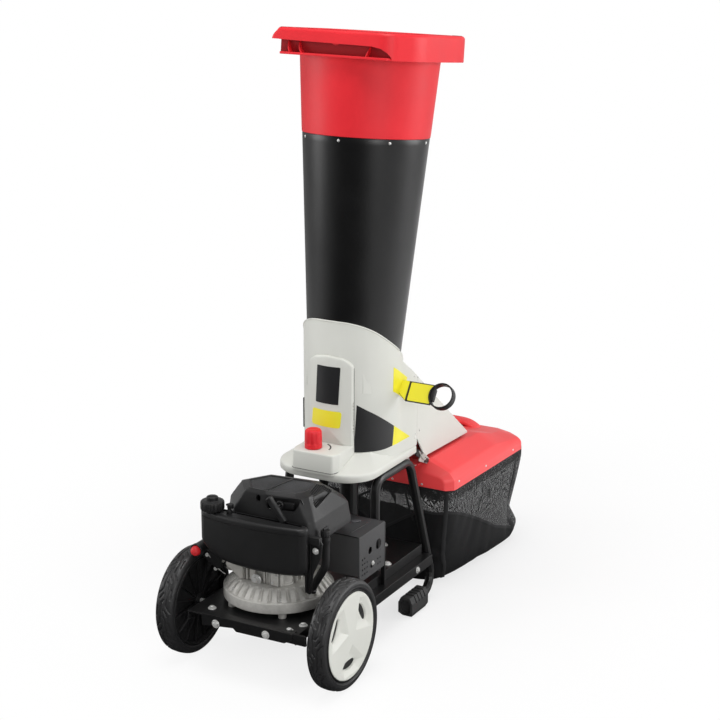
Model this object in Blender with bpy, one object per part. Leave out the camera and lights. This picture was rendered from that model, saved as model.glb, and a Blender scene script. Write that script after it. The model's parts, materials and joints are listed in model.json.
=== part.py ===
"""Garden shredder: petrol engine, belt-driven cutter, tall feed hopper and a catcher bag.

Design frame, in metres: +X to the machine's right, +Y towards the catcher bag, +Z up.
x = 0 is the plane of symmetry, y = 0 the wheel axle and z = 0 the floor. The finished
machine hangs on one empty, which shifts it so that its origin is the middle of its base.
"""
import math
from math import cos, pi, radians, sin, tan

import bmesh
import bpy
import numpy as np
from mathutils import Matrix, Vector

for old in list(bpy.data.objects):
    bpy.data.objects.remove(old, do_unlink=True)

# General fits
SEAT = 0.0003             # gap between two pieces that touch
RUN = 0.0005              # radial clearance of a turning piece
SHEET = 0.003             # folded steel sheet
WALL = 0.0035             # moulded plastic wall

# Wheels and axle
WHEEL_R = 0.125
WHEEL_WIDTH = 0.046
WHEEL_X = 0.1960          # middle of a wheel
RIM_R = 0.1035
HUB_TURN = 60.0           # first pocket of the wheel cover, in degrees
AXLE_R = 0.006
COVER_CROWN = 0.002       # how far the wheel's cover stands proud of the tyre

# Deck
DECK_TOP = 0.150
DECK_HALF = 0.140
DECK_SKIRT = 0.045
DECK_FRONT = -0.105
BAR_LEFT = -0.100
BAR_RIGHT = 0.132
BAR_DEPTH = 0.025

# Engine; its heights go up from the deck and its depths go out from the crankshaft
ENGINE_Y = 0.055
ENGINE_PULLEY_R = 0.034
CRANK_R = 0.0125
SUMP_R = 0.125
SUMP_BOTTOM = DECK_TOP + 0.013
SUMP_TOP = SUMP_BOTTOM + 0.049
FLYWHEEL_R = 0.064
CASE_HALF = 0.064
CASE_FRONT = 0.0695
CASE_BACK = 0.041
CASE_TOP = SUMP_TOP + 0.093
FIN_HALF = 0.056
FIN_PITCH = 0.0088
FIN_COUNT = 7
HEAD_HALF = 0.050
HEAD_DEPTH = 0.022
PLUG_Z = SUMP_TOP + 0.063
COWL_BOTTOM = CASE_TOP + 0.017
COWL_TOP = COWL_BOTTOM + 0.101
# Cowling levels as shares of its height, with its left, right, front and back edges as
# shares of its depth from the crankshaft, and the radius of its corners
COWL_DEPTH = 0.133
COWL_LEVELS = ((0.000, -1.008, 0.977, -0.523, 1.000, 0.052), (0.495, -0.962, 0.940, -0.508, 0.947, 0.050),
               (0.921, -0.692, 0.782, -0.444, 0.541, 0.038), (1.000, -0.549, 0.677, -0.406, 0.391, 0.030))
TANK_BOTTOM = COWL_BOTTOM - 0.066
TANK_TOP = TANK_BOTTOM + 0.114
TANK_LEFT = -0.144
TANK_RIGHT = 0.128
TANK_FRONT = ENGINE_Y - 0.119
TANK_BACK = ENGINE_Y - CASE_FRONT - SEAT
CAP_X = -0.112
CAP_Y = TANK_FRONT + 0.026
CAP_R = 0.027
NECK_R = 0.0165
FILTER_LEFT = -0.160
FILTER_RIGHT = -0.110
FILTER_TOP = SUMP_TOP + 0.088
FILLER_X = 0.146
FILLER_Y = ENGINE_Y - 0.041
FILLER_R = 0.009
FILLER_TOP = SUMP_TOP + 0.128
PRIMER_X = -0.162
PRIMER_Y = ENGINE_Y - 0.085
PRIMER_Z = SUMP_TOP + 0.050
PRIMER_R = 0.0118
REEL_R = 0.045
REEL_CORE = 0.0385
ROPE_X = 0.0408           # the rope leaves the reel along this line
ROPE_Z = COWL_TOP - 0.025
GRIP_Y = ENGINE_Y - 0.0765

# Muffler guard
GUARD_X = DECK_HALF + 0.0115
GUARD_FRONT = ENGINE_Y + 0.101
GUARD_BACK = GUARD_FRONT + 0.120
GUARD_TOP = DECK_TOP + 0.136
GUARD_LOW = DECK_TOP + 0.026
GUARD_INNER = 0.060       # inner edge of the guard's top plate

# Cutter deck and housing, which stand behind the engine
CUTTER_DECK_Z = 0.382     # underside of the cutter deck
CUTTER_DECK_THICK = 0.004
FLANGE_FRONT = ENGINE_Y + 0.159
HOUSING_HALF = 0.118
THROAT_Y = FLANGE_FRONT + HOUSING_HALF + 0.074   # centre of the housing's round front
HOUSING_BACK = THROAT_Y + 0.081
FLANGE_HALF = HOUSING_HALF + 0.006
FLANGE_CORNER = 0.078
FLANGE_HEIGHT = 0.016
DECK_BACK = HOUSING_BACK + 0.001
ROOF_Z = CUTTER_DECK_Z + 0.258    # height of the sloping roof over the throat's centre
ROOF_SLOPE = radians(38.7)
COLLAR_FRONT_Z = ROOF_Z + 0.088
COLLAR_SIDE_Z = ROOF_Z + 0.015
COLUMN_HALF = 0.065
COLUMN_FRONT = THROAT_Y - HOUSING_HALF - 0.009
COLUMN_TOP = ROOF_Z + 0.024
COLUMN_CORNER = 0.058
LEDGE_HALF = 0.056
LEDGE_FRONT = COLUMN_FRONT - 0.059
LEDGE_TOP = CUTTER_DECK_Z + 0.070

# Rails
RAIL_HEIGHT = 0.025
RAIL_WIDTH = 0.0235
RAIL_FRONT = GUARD_FRONT - 0.016
RAIL_TOP = DECK_TOP - 0.025

# Bent hoop on each side: foot, rear leg, top run and front post
HOOP_R = 0.011
HOOP_FOOT_X = DECK_HALF + 0.010
HOOP_TOP_X = HOUSING_HALF + 0.002
POST_X = HOOP_TOP_X - 0.0045
POST_Y = GUARD_BACK + 0.020
LEG_FOOT_Y = HOUSING_BACK + 0.044
LEG_TOP_Y = HOUSING_BACK - 0.030
FOOT_TUBE_Z = 0.028
FOOT_FRONT = LEG_FOOT_Y - 0.147
FOOT_BACK = LEG_FOOT_Y - 0.063
FOOT_HALF = 0.019
FOOT_HEIGHT = 0.051

# Hopper: a cone that leans towards the bag, with a moulded funnel on top
HOPPER_LEAN = math.atan(0.114)
HOPPER_Y = THROAT_Y + 0.0046      # the axis at HOPPER_Z
HOPPER_Z = ROOF_Z + 0.060
HOPPER_R = HOUSING_HALF - 0.004   # outer radius at HOPPER_Z
HOPPER_FLARE = 0.0735     # growth of the radius along the axis
HOPPER_SKIN = 0.0025
TUBE_BOTTOM = -0.090      # along the axis from HOPPER_Z
TUBE_TOP = 0.4445
SPIGOT = 0.040            # length of the funnel's spigot inside the tube
RIM_BOTTOM = 0.618
RIM_TOP = 0.677
RIM_HALF = HOPPER_R + HOPPER_FLARE * RIM_TOP + 0.02124
RIM_CORNER = RIM_HALF - 0.080
RIM_LIP = RIM_HALF - 0.004        # from the axis to the front edge of the lip
LIP_HALF = RIM_HALF - 0.027
LIP_HEIGHT = 0.029
LIP_ROOM = 0.020          # finger room behind the lip

# Catcher bag
HOOD_HALF = 0.200
HOOD_FRONT = HOUSING_BACK + 0.037
HOOD_LENGTH = 0.466
HOOD_BACK = HOOD_FRONT + HOOD_LENGTH
HOOD_TOP_FRONT = CUTTER_DECK_Z - 0.0315
HOOD_TOP_BACK = HOOD_TOP_FRONT - 0.0445
HOOD_LOW_FRONT = HOOD_TOP_FRONT - 0.0685
HOOD_LOW_BACK = HOOD_LOW_FRONT - 0.016
HOOD_BEVEL = 0.014        # how far the hood's bevel leans in
HOOD_LIP_Z = HOOD_TOP_FRONT - 0.0095   # underside of the lip that rests on the two hooks
# Hood stations: a share of its length, a half width and a shoulder as shares of its
# half width, and the top's drop below the line from its front to its back
HOOD_STATIONS = ((0.000, 0.900, 0.56, 0.0280), (0.039, 0.995, 0.64, 0.0030), (0.064, 1.0, 0.66, 0.0),
                 (0.592, 1.0, 0.69, 0.0075), (0.764, 1.0, 0.71, 0.0325), (0.882, 1.0, 0.67, 0.0435),
                 (0.974, 0.80, 0.56, 0.0525), (1.000, 0.74, 0.50, 0.0635))
HANDLE_Y = HOOD_BACK - 0.055
HANDLE_HALF = 0.084
HANDLE_RISE = 0.022
HANDLE_R = 0.008
HOOK_X = HOUSING_HALF - 0.013
BAG_WALL = 0.003
BAG_TUCK = 0.004          # how far the bag reaches up into the hood's skirt
BAG_BULGE = 0.006         # how far the bag's back bulges out behind the hood
# Bag levels: a share of the hood's height, half widths in front and behind as shares of
# its half width, and offsets from the hood's front and back as shares of its length
BAG_LEVELS = ((0.0113, 0.520, 0.710, 0.1266, -0.0258), (0.0451, 0.590, 0.800, 0.1094, 0.0043),
              (0.2256, 0.680, 0.905, 0.0901, BAG_BULGE / HOOD_LENGTH),
              (0.4887, 0.780, 0.855, 0.0601, -0.0300), (0.8647, 0.920, 0.950, 0.0236, -0.0386),
              (1.0000, 0.981, 0.981, 0.0097, -0.0504))

# Discharge flap, hung at the housing's back
FLAP_HALF = FLANGE_HALF + 0.0005
FLAP_SEAM = HOUSING_BACK + 0.0035
FLAP_SEAM_LOW = CUTTER_DECK_Z + 0.034
FLAP_TIP_Y = FLAP_SEAM + 0.2745
FLAP_TIP_Z = HOOD_TOP_FRONT + 0.0005
FLAP_TOE_Y = FLAP_SEAM + 0.0395
FLAP_TOE_Z = FLAP_TIP_Z + 0.0095
FLAP_PIN_R = 0.003
FLAP_BARREL_R = 0.006
BARREL_HALF = 0.057
LUG_WIDTH = 0.014
SHELF_Y = HOUSING_BACK - 0.0045   # the collar is cut away behind this, over the hinge
FLAP_ROOM = 0.0195                # from the roof's edge up to the collar's underside

# Slide gate
GATE_Y = THROAT_Y + 0.004
GATE_Z = ROOF_Z - 0.080
GATE_TILT = radians(34.3)  # its face leans back from upright
GATE_HEIGHT = 0.049
GATE_THICK = 0.004
GATE_INNER = 0.0
GATE_OUTER = HOUSING_HALF + 0.086
RING_R = 0.0310
RING_X = GATE_OUTER + 0.0235
RING_HOLE = 0.0215
RING_DEPTH = 0.018
GATE_SLOT_PLAY = 0.0012
GUIDE_LENGTH = 0.0258

# Control knob
KNOB_R = 0.0178
KNOB_HEIGHT = 0.045
KNOB_X = -0.017
KNOB_Y = LEDGE_FRONT + 0.0215
KNOB_STEM_R = 0.005

# Rotor
ROTOR_Y = THROAT_Y - 0.028
ROTOR_DISC_R = 0.082
ROTOR_DISC_Z = CUTTER_DECK_Z + 0.018
ROTOR_DISC_THICK = 0.008
ROTOR_SHAFT_R = 0.0095
ROTOR_PULLEY_R = 0.050
BEARING_R = 0.0162
BEARING_TUBE_R = 0.0225
BEARING_FLANGE_R = 0.044
PULLEY_Z = DECK_TOP - 0.023
PULLEY_THICK = 0.016
BELT_THICK = 0.008
BELT_DEPTH = 0.006

# The machine's origin is the middle of its base: between the left wheel's cover and the
# gate's ring across, and between the wheels' front and the bag's back along it
SHIFT_X = (WHEEL_X + WHEEL_WIDTH / 2 + COVER_CROWN - RING_X - RING_R) / 2
SHIFT_Y = (WHEEL_R - HOOD_BACK - BAG_BULGE) / 2


def finish(name, colour, roughness, metallic=0.0):
    """A plain material of one colour."""
    material = bpy.data.materials.new(name)
    material.use_nodes = True
    shader = material.node_tree.nodes["Principled BSDF"]
    shader.inputs["Base Color"].default_value = (*colour, 1.0)
    shader.inputs["Roughness"].default_value = roughness
    shader.inputs["Metallic"].default_value = metallic
    return material


RED = finish("red moulding", (0.76, 0.015, 0.025), 0.38)
GREY = finish("light grey moulding", (0.66, 0.67, 0.63), 0.45)
BLACK_PAINT = finish("black powder coat", (0.015, 0.015, 0.016), 0.42, 0.2)
BLACK_PLASTIC = finish("black moulding", (0.03, 0.03, 0.032), 0.5)
TUBE_BLACK = finish("satin black hopper", (0.02, 0.02, 0.02), 0.45)
TYRE = finish("tyre rubber", (0.035, 0.035, 0.038), 0.75)
STEEL = finish("bright steel", (0.62, 0.62, 0.62), 0.28, 1.0)
ALLOY = finish("cast alloy", (0.52, 0.51, 0.49), 0.5, 1.0)
YELLOW = finish("yellow", (0.85, 0.72, 0.03), 0.5)
RUBBER = finish("rubber", (0.03, 0.03, 0.03), 0.8)
MESH_CLOTH = finish("bag cloth", (0.03, 0.03, 0.033), 0.9)

MACHINE = bpy.data.objects.new("machine", None)
MACHINE.location = (SHIFT_X, SHIFT_Y, 0.0)
bpy.context.scene.collection.objects.link(MACHINE)


def link(obj):
    """Put a new object into the scene under the machine's empty."""
    bpy.context.scene.collection.objects.link(obj)
    obj.parent = MACHINE
    return obj


def pivot(name, place):
    """An empty on a joint's axis, which carries the pieces that move together."""
    empty = link(bpy.data.objects.new(name, None))
    empty.location = place
    return empty


def carry(empty, *pieces):
    """Parent the pieces to a joint's empty without moving them."""
    for piece in pieces:
        piece.parent = empty
        piece.matrix_parent_inverse = Matrix.Translation(empty.location).inverted()


def solid(name, points, faces, material, smooth=35.0):
    """A closed mesh with its faces pointing out and its round sides shaded smooth."""
    mesh = bpy.data.meshes.new(name)
    mesh.from_pydata([tuple(map(float, p)) for p in points], [], faces)
    work = bmesh.new()
    work.from_mesh(mesh)
    bmesh.ops.remove_doubles(work, verts=work.verts, dist=1e-6)
    bmesh.ops.recalc_face_normals(work, faces=work.faces)
    work.to_mesh(mesh)
    work.free()
    mesh.materials.append(material)
    mesh.shade_smooth()
    mesh.set_sharp_from_angle(angle=radians(smooth))
    return link(bpy.data.objects.new(name, mesh))


def bake(obj):
    """Replace an object's mesh by what its modifiers make of it."""
    view = bpy.context.evaluated_depsgraph_get()
    mesh = bpy.data.meshes.new_from_object(obj.evaluated_get(view))
    obj.modifiers.clear()
    obj.data = mesh
    return obj


def boolean(obj, tools, operation):
    """Cut, join or intersect an object with each tool, and remove the tools."""
    for tool in tools:
        step = obj.modifiers.new(operation.lower(), "BOOLEAN")
        step.operation = operation
        step.solver = "EXACT"
        step.object = tool
        bake(obj)
        bpy.data.objects.remove(tool, do_unlink=True)
    obj.data.shade_smooth()
    obj.data.set_sharp_from_angle(angle=radians(35))
    return obj


def cut(obj, *tools):
    """Cut the tools out of an object."""
    return boolean(obj, tools, "DIFFERENCE")


def join(obj, *tools):
    """Join the tools to an object as one body."""
    return boolean(obj, tools, "UNION")


def along(axis, a, b, t):
    """A point with coordinates a, b across an axis and t along it."""
    return {"X": (t, a, b), "Y": (a, t, b), "Z": (a, b, t)}[axis]


def loft(name, rings, material, smooth=35.0):
    """A solid through rings of equal count, closed by a flat cap at each end."""
    count = len(rings[0])
    points = [p for ring in rings for p in ring]
    faces = [tuple(range(count)), tuple(range(len(points) - count, len(points)))]
    for level in range(len(rings) - 1):
        low = level * count
        for k in range(count):
            n = (k + 1) % count
            faces.append((low + k, low + n, low + count + n, low + count + k))
    return solid(name, points, faces, material, smooth)


def prism(name, outline, axis, low, high, material):
    """An outline extruded along an axis from low to high."""
    rings = [[along(axis, a, b, t) for a, b in outline] for t in (low, high)]
    return loft(name, rings, material)


def block(name, low, high, material):
    """A box between two corners."""
    (x0, y0, z0), (x1, y1, z1) = low, high
    return prism(name, [(x0, y0), (x1, y0), (x1, y1), (x0, y1)], "Z", z0, z1, material)


def arc(centre, radius, start, end, steps):
    """Points of an arc, from start to end in degrees, both ends included."""
    angles = np.radians(np.linspace(start, end, steps + 1))
    return [(centre[0] + radius * cos(a), centre[1] + radius * sin(a)) for a in angles]


def rounded(x0, x1, y0, y1, front, back, steps=5):
    """A rectangle with its two front (low y) and two back corners rounded."""
    return (arc((x0 + front, y0 + front), front, 180, 270, steps)
            + arc((x1 - front, y0 + front), front, 270, 360, steps)
            + arc((x1 - back, y1 - back), back, 0, 90, steps)
            + arc((x0 + back, y1 - back), back, 90, 180, steps))


def turned(name, profile, material, centre=(0.0, 0.0, 0.0), axis="Z", steps=32, smooth=35.0, wave=None):
    """A profile of (radius, height) turned about an axis.

    A profile that starts and ends on the axis is closed there; any other is a ring,
    whose last point joins its first. wave(angle index, point index) adds to a radius.
    """
    poles = profile[0][0] == 0.0 and profile[-1][0] == 0.0
    points, rows = [], []
    for index, (radius, height) in enumerate(profile):
        row = []
        for k in range(1 if radius == 0.0 else steps):
            angle = 2 * pi * k / steps
            r = radius + (wave(k, index) if wave and radius else 0.0)
            row.append(len(points))
            a, b, t = r * sin(angle), -r * cos(angle), height
            points.append(Vector(along(axis, a, b, t)) + Vector(centre))
        rows.append(row)
    faces = []
    pairs = list(zip(rows, rows[1:])) + ([] if poles else [(rows[-1], rows[0])])
    for first, second in pairs:
        for k in range(steps):
            n = (k + 1) % steps
            corners = [first[k % len(first)], first[n % len(first)],
                       second[n % len(second)], second[k % len(second)]]
            faces.append(tuple(dict.fromkeys(corners)))
    return solid(name, points, faces, material, smooth)


def rod(name, radius, low, high, material, centre=(0.0, 0.0), axis="Z", steps=16):
    """A round bar along an axis; centre holds its place on the other two axes."""
    outline = arc(centre, radius, 0, 360, steps)[:-1]
    return prism(name, outline, axis, low, high, material)


def bent(name, corners, bends, radius, material, resolution=3, bend_steps=6):
    """A round tube along straight runs whose corners are rounded by arcs."""
    corners = [Vector(c) for c in corners]
    path = [corners[0]]
    for before, here, after, bend in zip(corners, corners[1:], corners[2:], bends):
        back, ahead = (before - here).normalized(), (after - here).normalized()
        half = back.angle(ahead) / 2
        reach = bend / tan(half)
        middle = here + (back + ahead).normalized() * (bend / sin(half))
        first, last = here + back * reach - middle, here + ahead * reach - middle
        for k in range(bend_steps + 1):
            path.append(middle + first.slerp(last, k / bend_steps) * (
                first.length + (last.length - first.length) * k / bend_steps) / first.slerp(
                last, k / bend_steps).length)
    path.append(corners[-1])
    return wire(name, path, radius, material, resolution)


def wire(name, path, radius, material, resolution=3, closed=False):
    """A curve with a round section and filled ends, turned into a mesh."""
    curve = bpy.data.curves.new(name, "CURVE")
    curve.dimensions = "3D"
    curve.bevel_depth = radius
    curve.bevel_resolution = resolution
    curve.use_fill_caps = not closed
    line = curve.splines.new("POLY")
    line.points.add(len(path) - 1)
    for point, place in zip(line.points, path):
        point.co = (*place, 1.0)
    line.use_cyclic_u = closed
    guide = link(bpy.data.objects.new(name + " route", curve))
    view = bpy.context.evaluated_depsgraph_get()
    mesh = bpy.data.meshes.new_from_object(guide.evaluated_get(view))
    points = [v.co.copy() for v in mesh.vertices]
    faces = [tuple(p.vertices) for p in mesh.polygons]
    bpy.data.objects.remove(guide, do_unlink=True)
    return solid(name, points, faces, material, 40.0)


def mirrored(outline):
    """An outline followed by its mirror image across the second axis."""
    return outline + [(-a, b) for a, b in reversed(outline)]


# Places along the leaning hopper axis

def hopper_frame():
    """Matrix from hopper coordinates (across, back, along the axis) to the design frame."""
    lean = Matrix.Rotation(-HOPPER_LEAN, 4, "X")
    return Matrix.Translation((0.0, HOPPER_Y, HOPPER_Z)) @ lean


def hopper_radius(along_axis):
    """Outer radius of the hopper's cone."""
    return HOPPER_R + HOPPER_FLARE * along_axis


def tilt_hopper(obj):
    """Move a piece made in hopper coordinates to its place."""
    obj.data.transform(hopper_frame())
    return obj


# Frame

def leg_place(z):
    """Centre of the rear leg at a height, on its straight stretch."""
    share = (z - FOOT_TUBE_Z) / (CUTTER_DECK_Z - HOOP_R - SEAT - FOOT_TUBE_Z)
    return (HOOP_FOOT_X + (HOOP_TOP_X - HOOP_FOOT_X) * share,
            LEG_FOOT_Y + (LEG_TOP_Y - LEG_FOOT_Y) * share)


def make_deck():
    """Folded deck with side skirts, which carries the engine and the axle."""
    w, t, low = DECK_HALF, SHEET, DECK_TOP - DECK_SKIRT
    outline = [(-w, low), (-w, DECK_TOP), (w, DECK_TOP), (w, low), (w - t, low),
               (w - t, DECK_TOP - t), (t - w, DECK_TOP - t), (t - w, low)]
    deck = prism("deck", outline, "Y", DECK_FRONT, DECK_BACK, BLACK_PAINT)
    below, above = DECK_TOP - 0.010, DECK_TOP + 0.010
    nose, nose_top = DECK_FRONT + 0.060, DECK_TOP - 0.022
    cut(deck,
        rod("crank hole", CRANK_R + 0.006, below, above, STEEL, (0.0, ENGINE_Y)),
        rod("shaft hole", ROTOR_SHAFT_R + 0.003, below, above, STEEL, (0.0, ROTOR_Y)),
        rod("axle hole", AXLE_R + SEAT, -WHEEL_X, WHEEL_X, STEEL, (0.0, WHEEL_R), "X"),
        prism("nose", [(DECK_FRONT - 0.01, low - 0.01), (nose + 0.015, low - 0.01), (nose, nose_top),
                       (DECK_FRONT - 0.01, nose_top)], "X", -WHEEL_X, WHEEL_X, STEEL))
    pan_half = DECK_HALF - SHEET - SEAT
    pan_low = low + 0.0005
    pan = prism("belt_guard", [(-pan_half, pan_low), (-pan_half, pan_low + 0.008),
                               (SHEET - pan_half - 0.001, pan_low + 0.008),
                               (SHEET - pan_half - 0.001, pan_low + 0.002),
                               (pan_half - SHEET + 0.001, pan_low + 0.002),
                               (pan_half - SHEET + 0.001, pan_low + 0.008),
                               (pan_half, pan_low + 0.008), (pan_half, pan_low)],
                "Y", ENGINE_Y - 0.043, DECK_BACK - 0.004, BLACK_PAINT)
    return deck, pan


def make_front_crossbar():
    """Stiffening bar across the front edge, stepped along its lower edge."""
    top = DECK_TOP + SEAT + SHEET
    low, step = DECK_TOP - BAR_DEPTH, 0.009
    outline = [(BAR_LEFT, low), (-0.019, low + step), (-0.011, low + step - 0.007),
               (BAR_RIGHT - 0.020, low + step - 0.006), (BAR_RIGHT, low + step + 0.006),
               (BAR_RIGHT, top), (BAR_LEFT, top)]
    bar = prism("front_crossbar", outline, "Y", DECK_FRONT - SEAT - SHEET, DECK_FRONT - SEAT, BLACK_PAINT)
    return join(bar, block("lip", (BAR_LEFT, DECK_FRONT - SEAT - SHEET, top - SHEET),
                           (BAR_RIGHT, DECK_FRONT + 0.018, top), BLACK_PAINT))


def make_side(side, name):
    """One side of the frame: angle rail, bent hoop and its ribbed rubber foot."""
    inner, outer = DECK_HALF + SEAT, DECK_HALF + SEAT + RAIL_WIDTH
    low, top = RAIL_TOP - RAIL_HEIGHT, RAIL_TOP
    outline = [(inner, top - SHEET), (outer - SHEET, top - SHEET), (outer - SHEET, low), (outer, low),
               (outer, top), (inner, top)]
    back = leg_place(top)[1] - (HOOP_R + SEAT) * 1.03
    prism(name + "_rail", [(side * a, b) for a, b in outline], "Y", RAIL_FRONT, back, BLACK_PAINT)

    run_z = CUTTER_DECK_Z - HOOP_R - SEAT
    bent(name + "_frame_hoop",
         [(side * HOOP_FOOT_X, FOOT_FRONT + 0.030, FOOT_TUBE_Z),
          (side * HOOP_FOOT_X, LEG_FOOT_Y, FOOT_TUBE_Z),
          (side * HOOP_TOP_X, LEG_TOP_Y, run_z), (side * POST_X, POST_Y, run_z),
          (side * POST_X, POST_Y, DECK_TOP + SEAT)],
         (0.045, 0.034, 0.030), HOOP_R, BLACK_PAINT)

    x, half = side * HOOP_FOOT_X, FOOT_HALF
    hexagon = [(x - half, 0.012), (x - half * 0.62, 0.0), (x + half * 0.62, 0.0), (x + half, 0.012),
               (x + half, FOOT_HEIGHT - 0.014), (x + half * 0.62, FOOT_HEIGHT),
               (x - half * 0.62, FOOT_HEIGHT), (x - half, FOOT_HEIGHT - 0.014)]
    foot = prism(name + "_foot", hexagon, "Y", FOOT_FRONT, FOOT_BACK, RUBBER)
    core = [(x + (a - x) * 0.72, FOOT_HEIGHT / 2 + (b - FOOT_HEIGHT / 2) * 0.72) for a, b in hexagon]
    toe = prism("toe", [(FOOT_FRONT - 0.01, -0.01), (FOOT_FRONT + 0.020, -0.01),
                        (FOOT_FRONT - 0.01, 0.022)],
                "X", x - 0.03, x + 0.03, RUBBER)
    cut(foot, toe, prism("hollow", core, "Y", FOOT_FRONT - 0.01, FOOT_FRONT + 0.012, RUBBER),
        rod("socket", HOOP_R + SEAT, FOOT_FRONT + 0.028, FOOT_BACK + 0.01, RUBBER, (x, FOOT_TUBE_Z), "Y"))
    for k in range(4):
        y = FOOT_FRONT + 0.018 + 0.015 * k
        groove = prism("groove", rib_frame(x, half), "Y", y, y + 0.006, RUBBER)
        cut(foot, groove)


def rib_frame(x, half):
    """Upper band outside the foot's shoulders, which leaves ribs when it is cut away."""
    low, high, out = FOOT_HEIGHT - 0.0185, FOOT_HEIGHT + 0.01, half + 0.01
    inner = [(x - half + 0.0022, low), (x - half + 0.0022, FOOT_HEIGHT - 0.0150),
             (x - half * 0.58, FOOT_HEIGHT - 0.0022), (x + half * 0.58, FOOT_HEIGHT - 0.0022),
             (x + half - 0.0022, FOOT_HEIGHT - 0.0150), (x + half - 0.0022, low)]
    return [(x - out, low)] + inner + [(x + out, low), (x + out, high), (x - out, high)]


def make_guard():
    """Muffler guard: a folded plate with a pattern of holes, and the flat post behind it."""
    x, t = GUARD_X, 0.002
    outline = [(GUARD_INNER, GUARD_TOP - t), (x - t, GUARD_TOP - t), (x - t, GUARD_LOW), (x, GUARD_LOW),
               (x, GUARD_TOP), (GUARD_INNER, GUARD_TOP)]
    guard = prism("muffler_guard", outline, "Y", GUARD_FRONT, GUARD_BACK, BLACK_PAINT)
    # Each hole: back from the guard's front, up from its lower edge, and its radius
    holes = [(0.090, 0.064, 0.0125), (0.051, 0.062, 0.0085), (0.058, 0.023, 0.0065)]
    holes += [(0.014 + 0.011 * column, 0.014 + 0.0125 * row, 0.0028)
              for column in range(3) for row in range(4 - column // 2)]
    holes += [(0.087 + 0.011 * column, 0.016 + 0.0125 * row, 0.0028)
              for column in range(2) for row in range(2)]
    for back, up, radius in holes:
        steps = 14 if radius > 0.005 else 6
        cut(guard, rod("hole", radius, x - 0.01, x + 0.01, STEEL,
                       (GUARD_FRONT + back, GUARD_LOW + up), "X", steps))
    front = block("front", (GUARD_INNER + t, GUARD_FRONT, GUARD_LOW + 0.014),
                  (x - 0.0005, GUARD_FRONT + t, GUARD_TOP - 0.0005), BLACK_PAINT)
    join(guard, front)
    post = block("guard_post", (x - 0.0105, GUARD_BACK + SEAT, RAIL_TOP + SEAT),
                 (x, GUARD_BACK + 0.0045, GUARD_TOP - 0.004), BLACK_PAINT)
    return guard, post


# Wheels

def make_wheel(side, name):
    """Tyre and one-piece rim with its three-lobed outer cover, on a joint at the axle."""
    half = WHEEL_WIDTH / 2
    face = WHEEL_X + half

    def out(profile):
        return [(r, side * x) for r, x in profile]

    tyre = turned(name + "_tyre", out([
        (RIM_R + SEAT, face - 0.0035), (0.109, face - 0.0008), (0.1155, face - 0.0005),
        (0.1215, face - 0.006),
        (WHEEL_R, face - 0.0135), (WHEEL_R, face - WHEEL_WIDTH + 0.0135),
        (0.1215, face - WHEEL_WIDTH + 0.006),
        (0.1155, face - WHEEL_WIDTH + 0.0005), (0.109, face - WHEEL_WIDTH + 0.0008),
        (RIM_R + SEAT, face - WHEEL_WIDTH + 0.0035)]), TYRE, (0.0, 0.0, WHEEL_R), "X", 40, 50)
    hub = turned(name + "_wheel_hub", out([
        (0.0, face - 0.006), (AXLE_R + RUN, face - 0.006), (AXLE_R + RUN, face - 0.0445),
        (0.019, face - 0.0445),
        (0.021, face - 0.016), (0.085, face - 0.011), (0.089, face - 0.0445), (RIM_R, face - 0.0445),
        (RIM_R, face - 0.002), (0.0985, face + 0.0008), (0.060, face - 0.0010), (0.0, face + COVER_CROWN)]),
        GREY, (0.0, 0.0, WHEEL_R), "X", 40)
    for k in range(3):
        turn = radians(120 * k + HUB_TURN)
        wedge = [(-0.027, 0.070), (-0.020, 0.081), (0.0, 0.0855), (0.020, 0.081), (0.027, 0.070),
                 (0.010, 0.040), (0.0, 0.034), (-0.010, 0.040)]
        wedge = [(a * cos(turn) - b * sin(turn), WHEEL_R + a * sin(turn) + b * cos(turn)) for a, b in wedge]
        low, high = sorted((side * (face - 0.005), side * (face + 0.01)))
        cut(hub, prism("pocket", wedge, "X", low, high, GREY))
        slot = [(-0.0035, 0.050), (-0.006, 0.076), (0.006, 0.076), (0.0035, 0.050)]
        slot = [(a * cos(turn) - b * sin(turn), WHEEL_R + a * sin(turn) + b * cos(turn)) for a, b in slot]
        low, high = sorted((side * (face - 0.03), side * (face + 0.01)))
        cut(hub, prism("slot", slot, "X", low, high, GREY))
    axis = pivot(name + " wheel axis", (side * WHEEL_X, 0.0, WHEEL_R))
    carry(axis, tyre, hub)


# Housing

def roof_z(y, inset=0.0):
    """Height of the sloping roof line at y, lowered square to itself by an inset."""
    return ROOF_Z - (y - THROAT_Y) * tan(ROOF_SLOPE) - inset / cos(ROOF_SLOPE)


def plan(half, back, steps=10):
    """Housing plan: straight sides with a round front of the same half width."""
    return arc((0.0, THROAT_Y), half, 180, 360, 2 * steps) + [(half, back), (-half, back)]


def flange_plan(half, front, corner, steps=6):
    """Flange plan: a rectangle with two well rounded front corners."""
    return rounded(-half, half, front, HOUSING_BACK, corner, 0.002, steps)


def side_profile(inset, back):
    """Side outline of the housing's box: floor, back, sloping roof and front."""
    low, front, brow = CUTTER_DECK_Z - 0.082, COLUMN_FRONT - 0.039, ROOF_Z + 0.018 - inset
    return [(front, low), (back, low), (back, roof_z(back, inset)), (THROAT_Y, roof_z(THROAT_Y, inset)),
            (THROAT_Y - 0.066, brow), (front, brow)]


def make_cutter_deck():
    """Steel plate that closes the housing's underside and carries the bearings."""
    outline = flange_plan(FLANGE_HALF - 0.0055, FLANGE_FRONT + 0.0095, FLANGE_CORNER - 0.006)
    outline = [(x, min(y, HOUSING_BACK - 0.004)) for x, y in outline]
    deck = prism("cutter_deck", outline, "Z", CUTTER_DECK_Z, CUTTER_DECK_Z + CUTTER_DECK_THICK, BLACK_PAINT)
    return cut(deck, rod("shaft hole", ROTOR_SHAFT_R + 0.002, CUTTER_DECK_Z - 0.01,
                         CUTTER_DECK_Z + 0.02, STEEL, (0.0, ROTOR_Y)))


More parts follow.
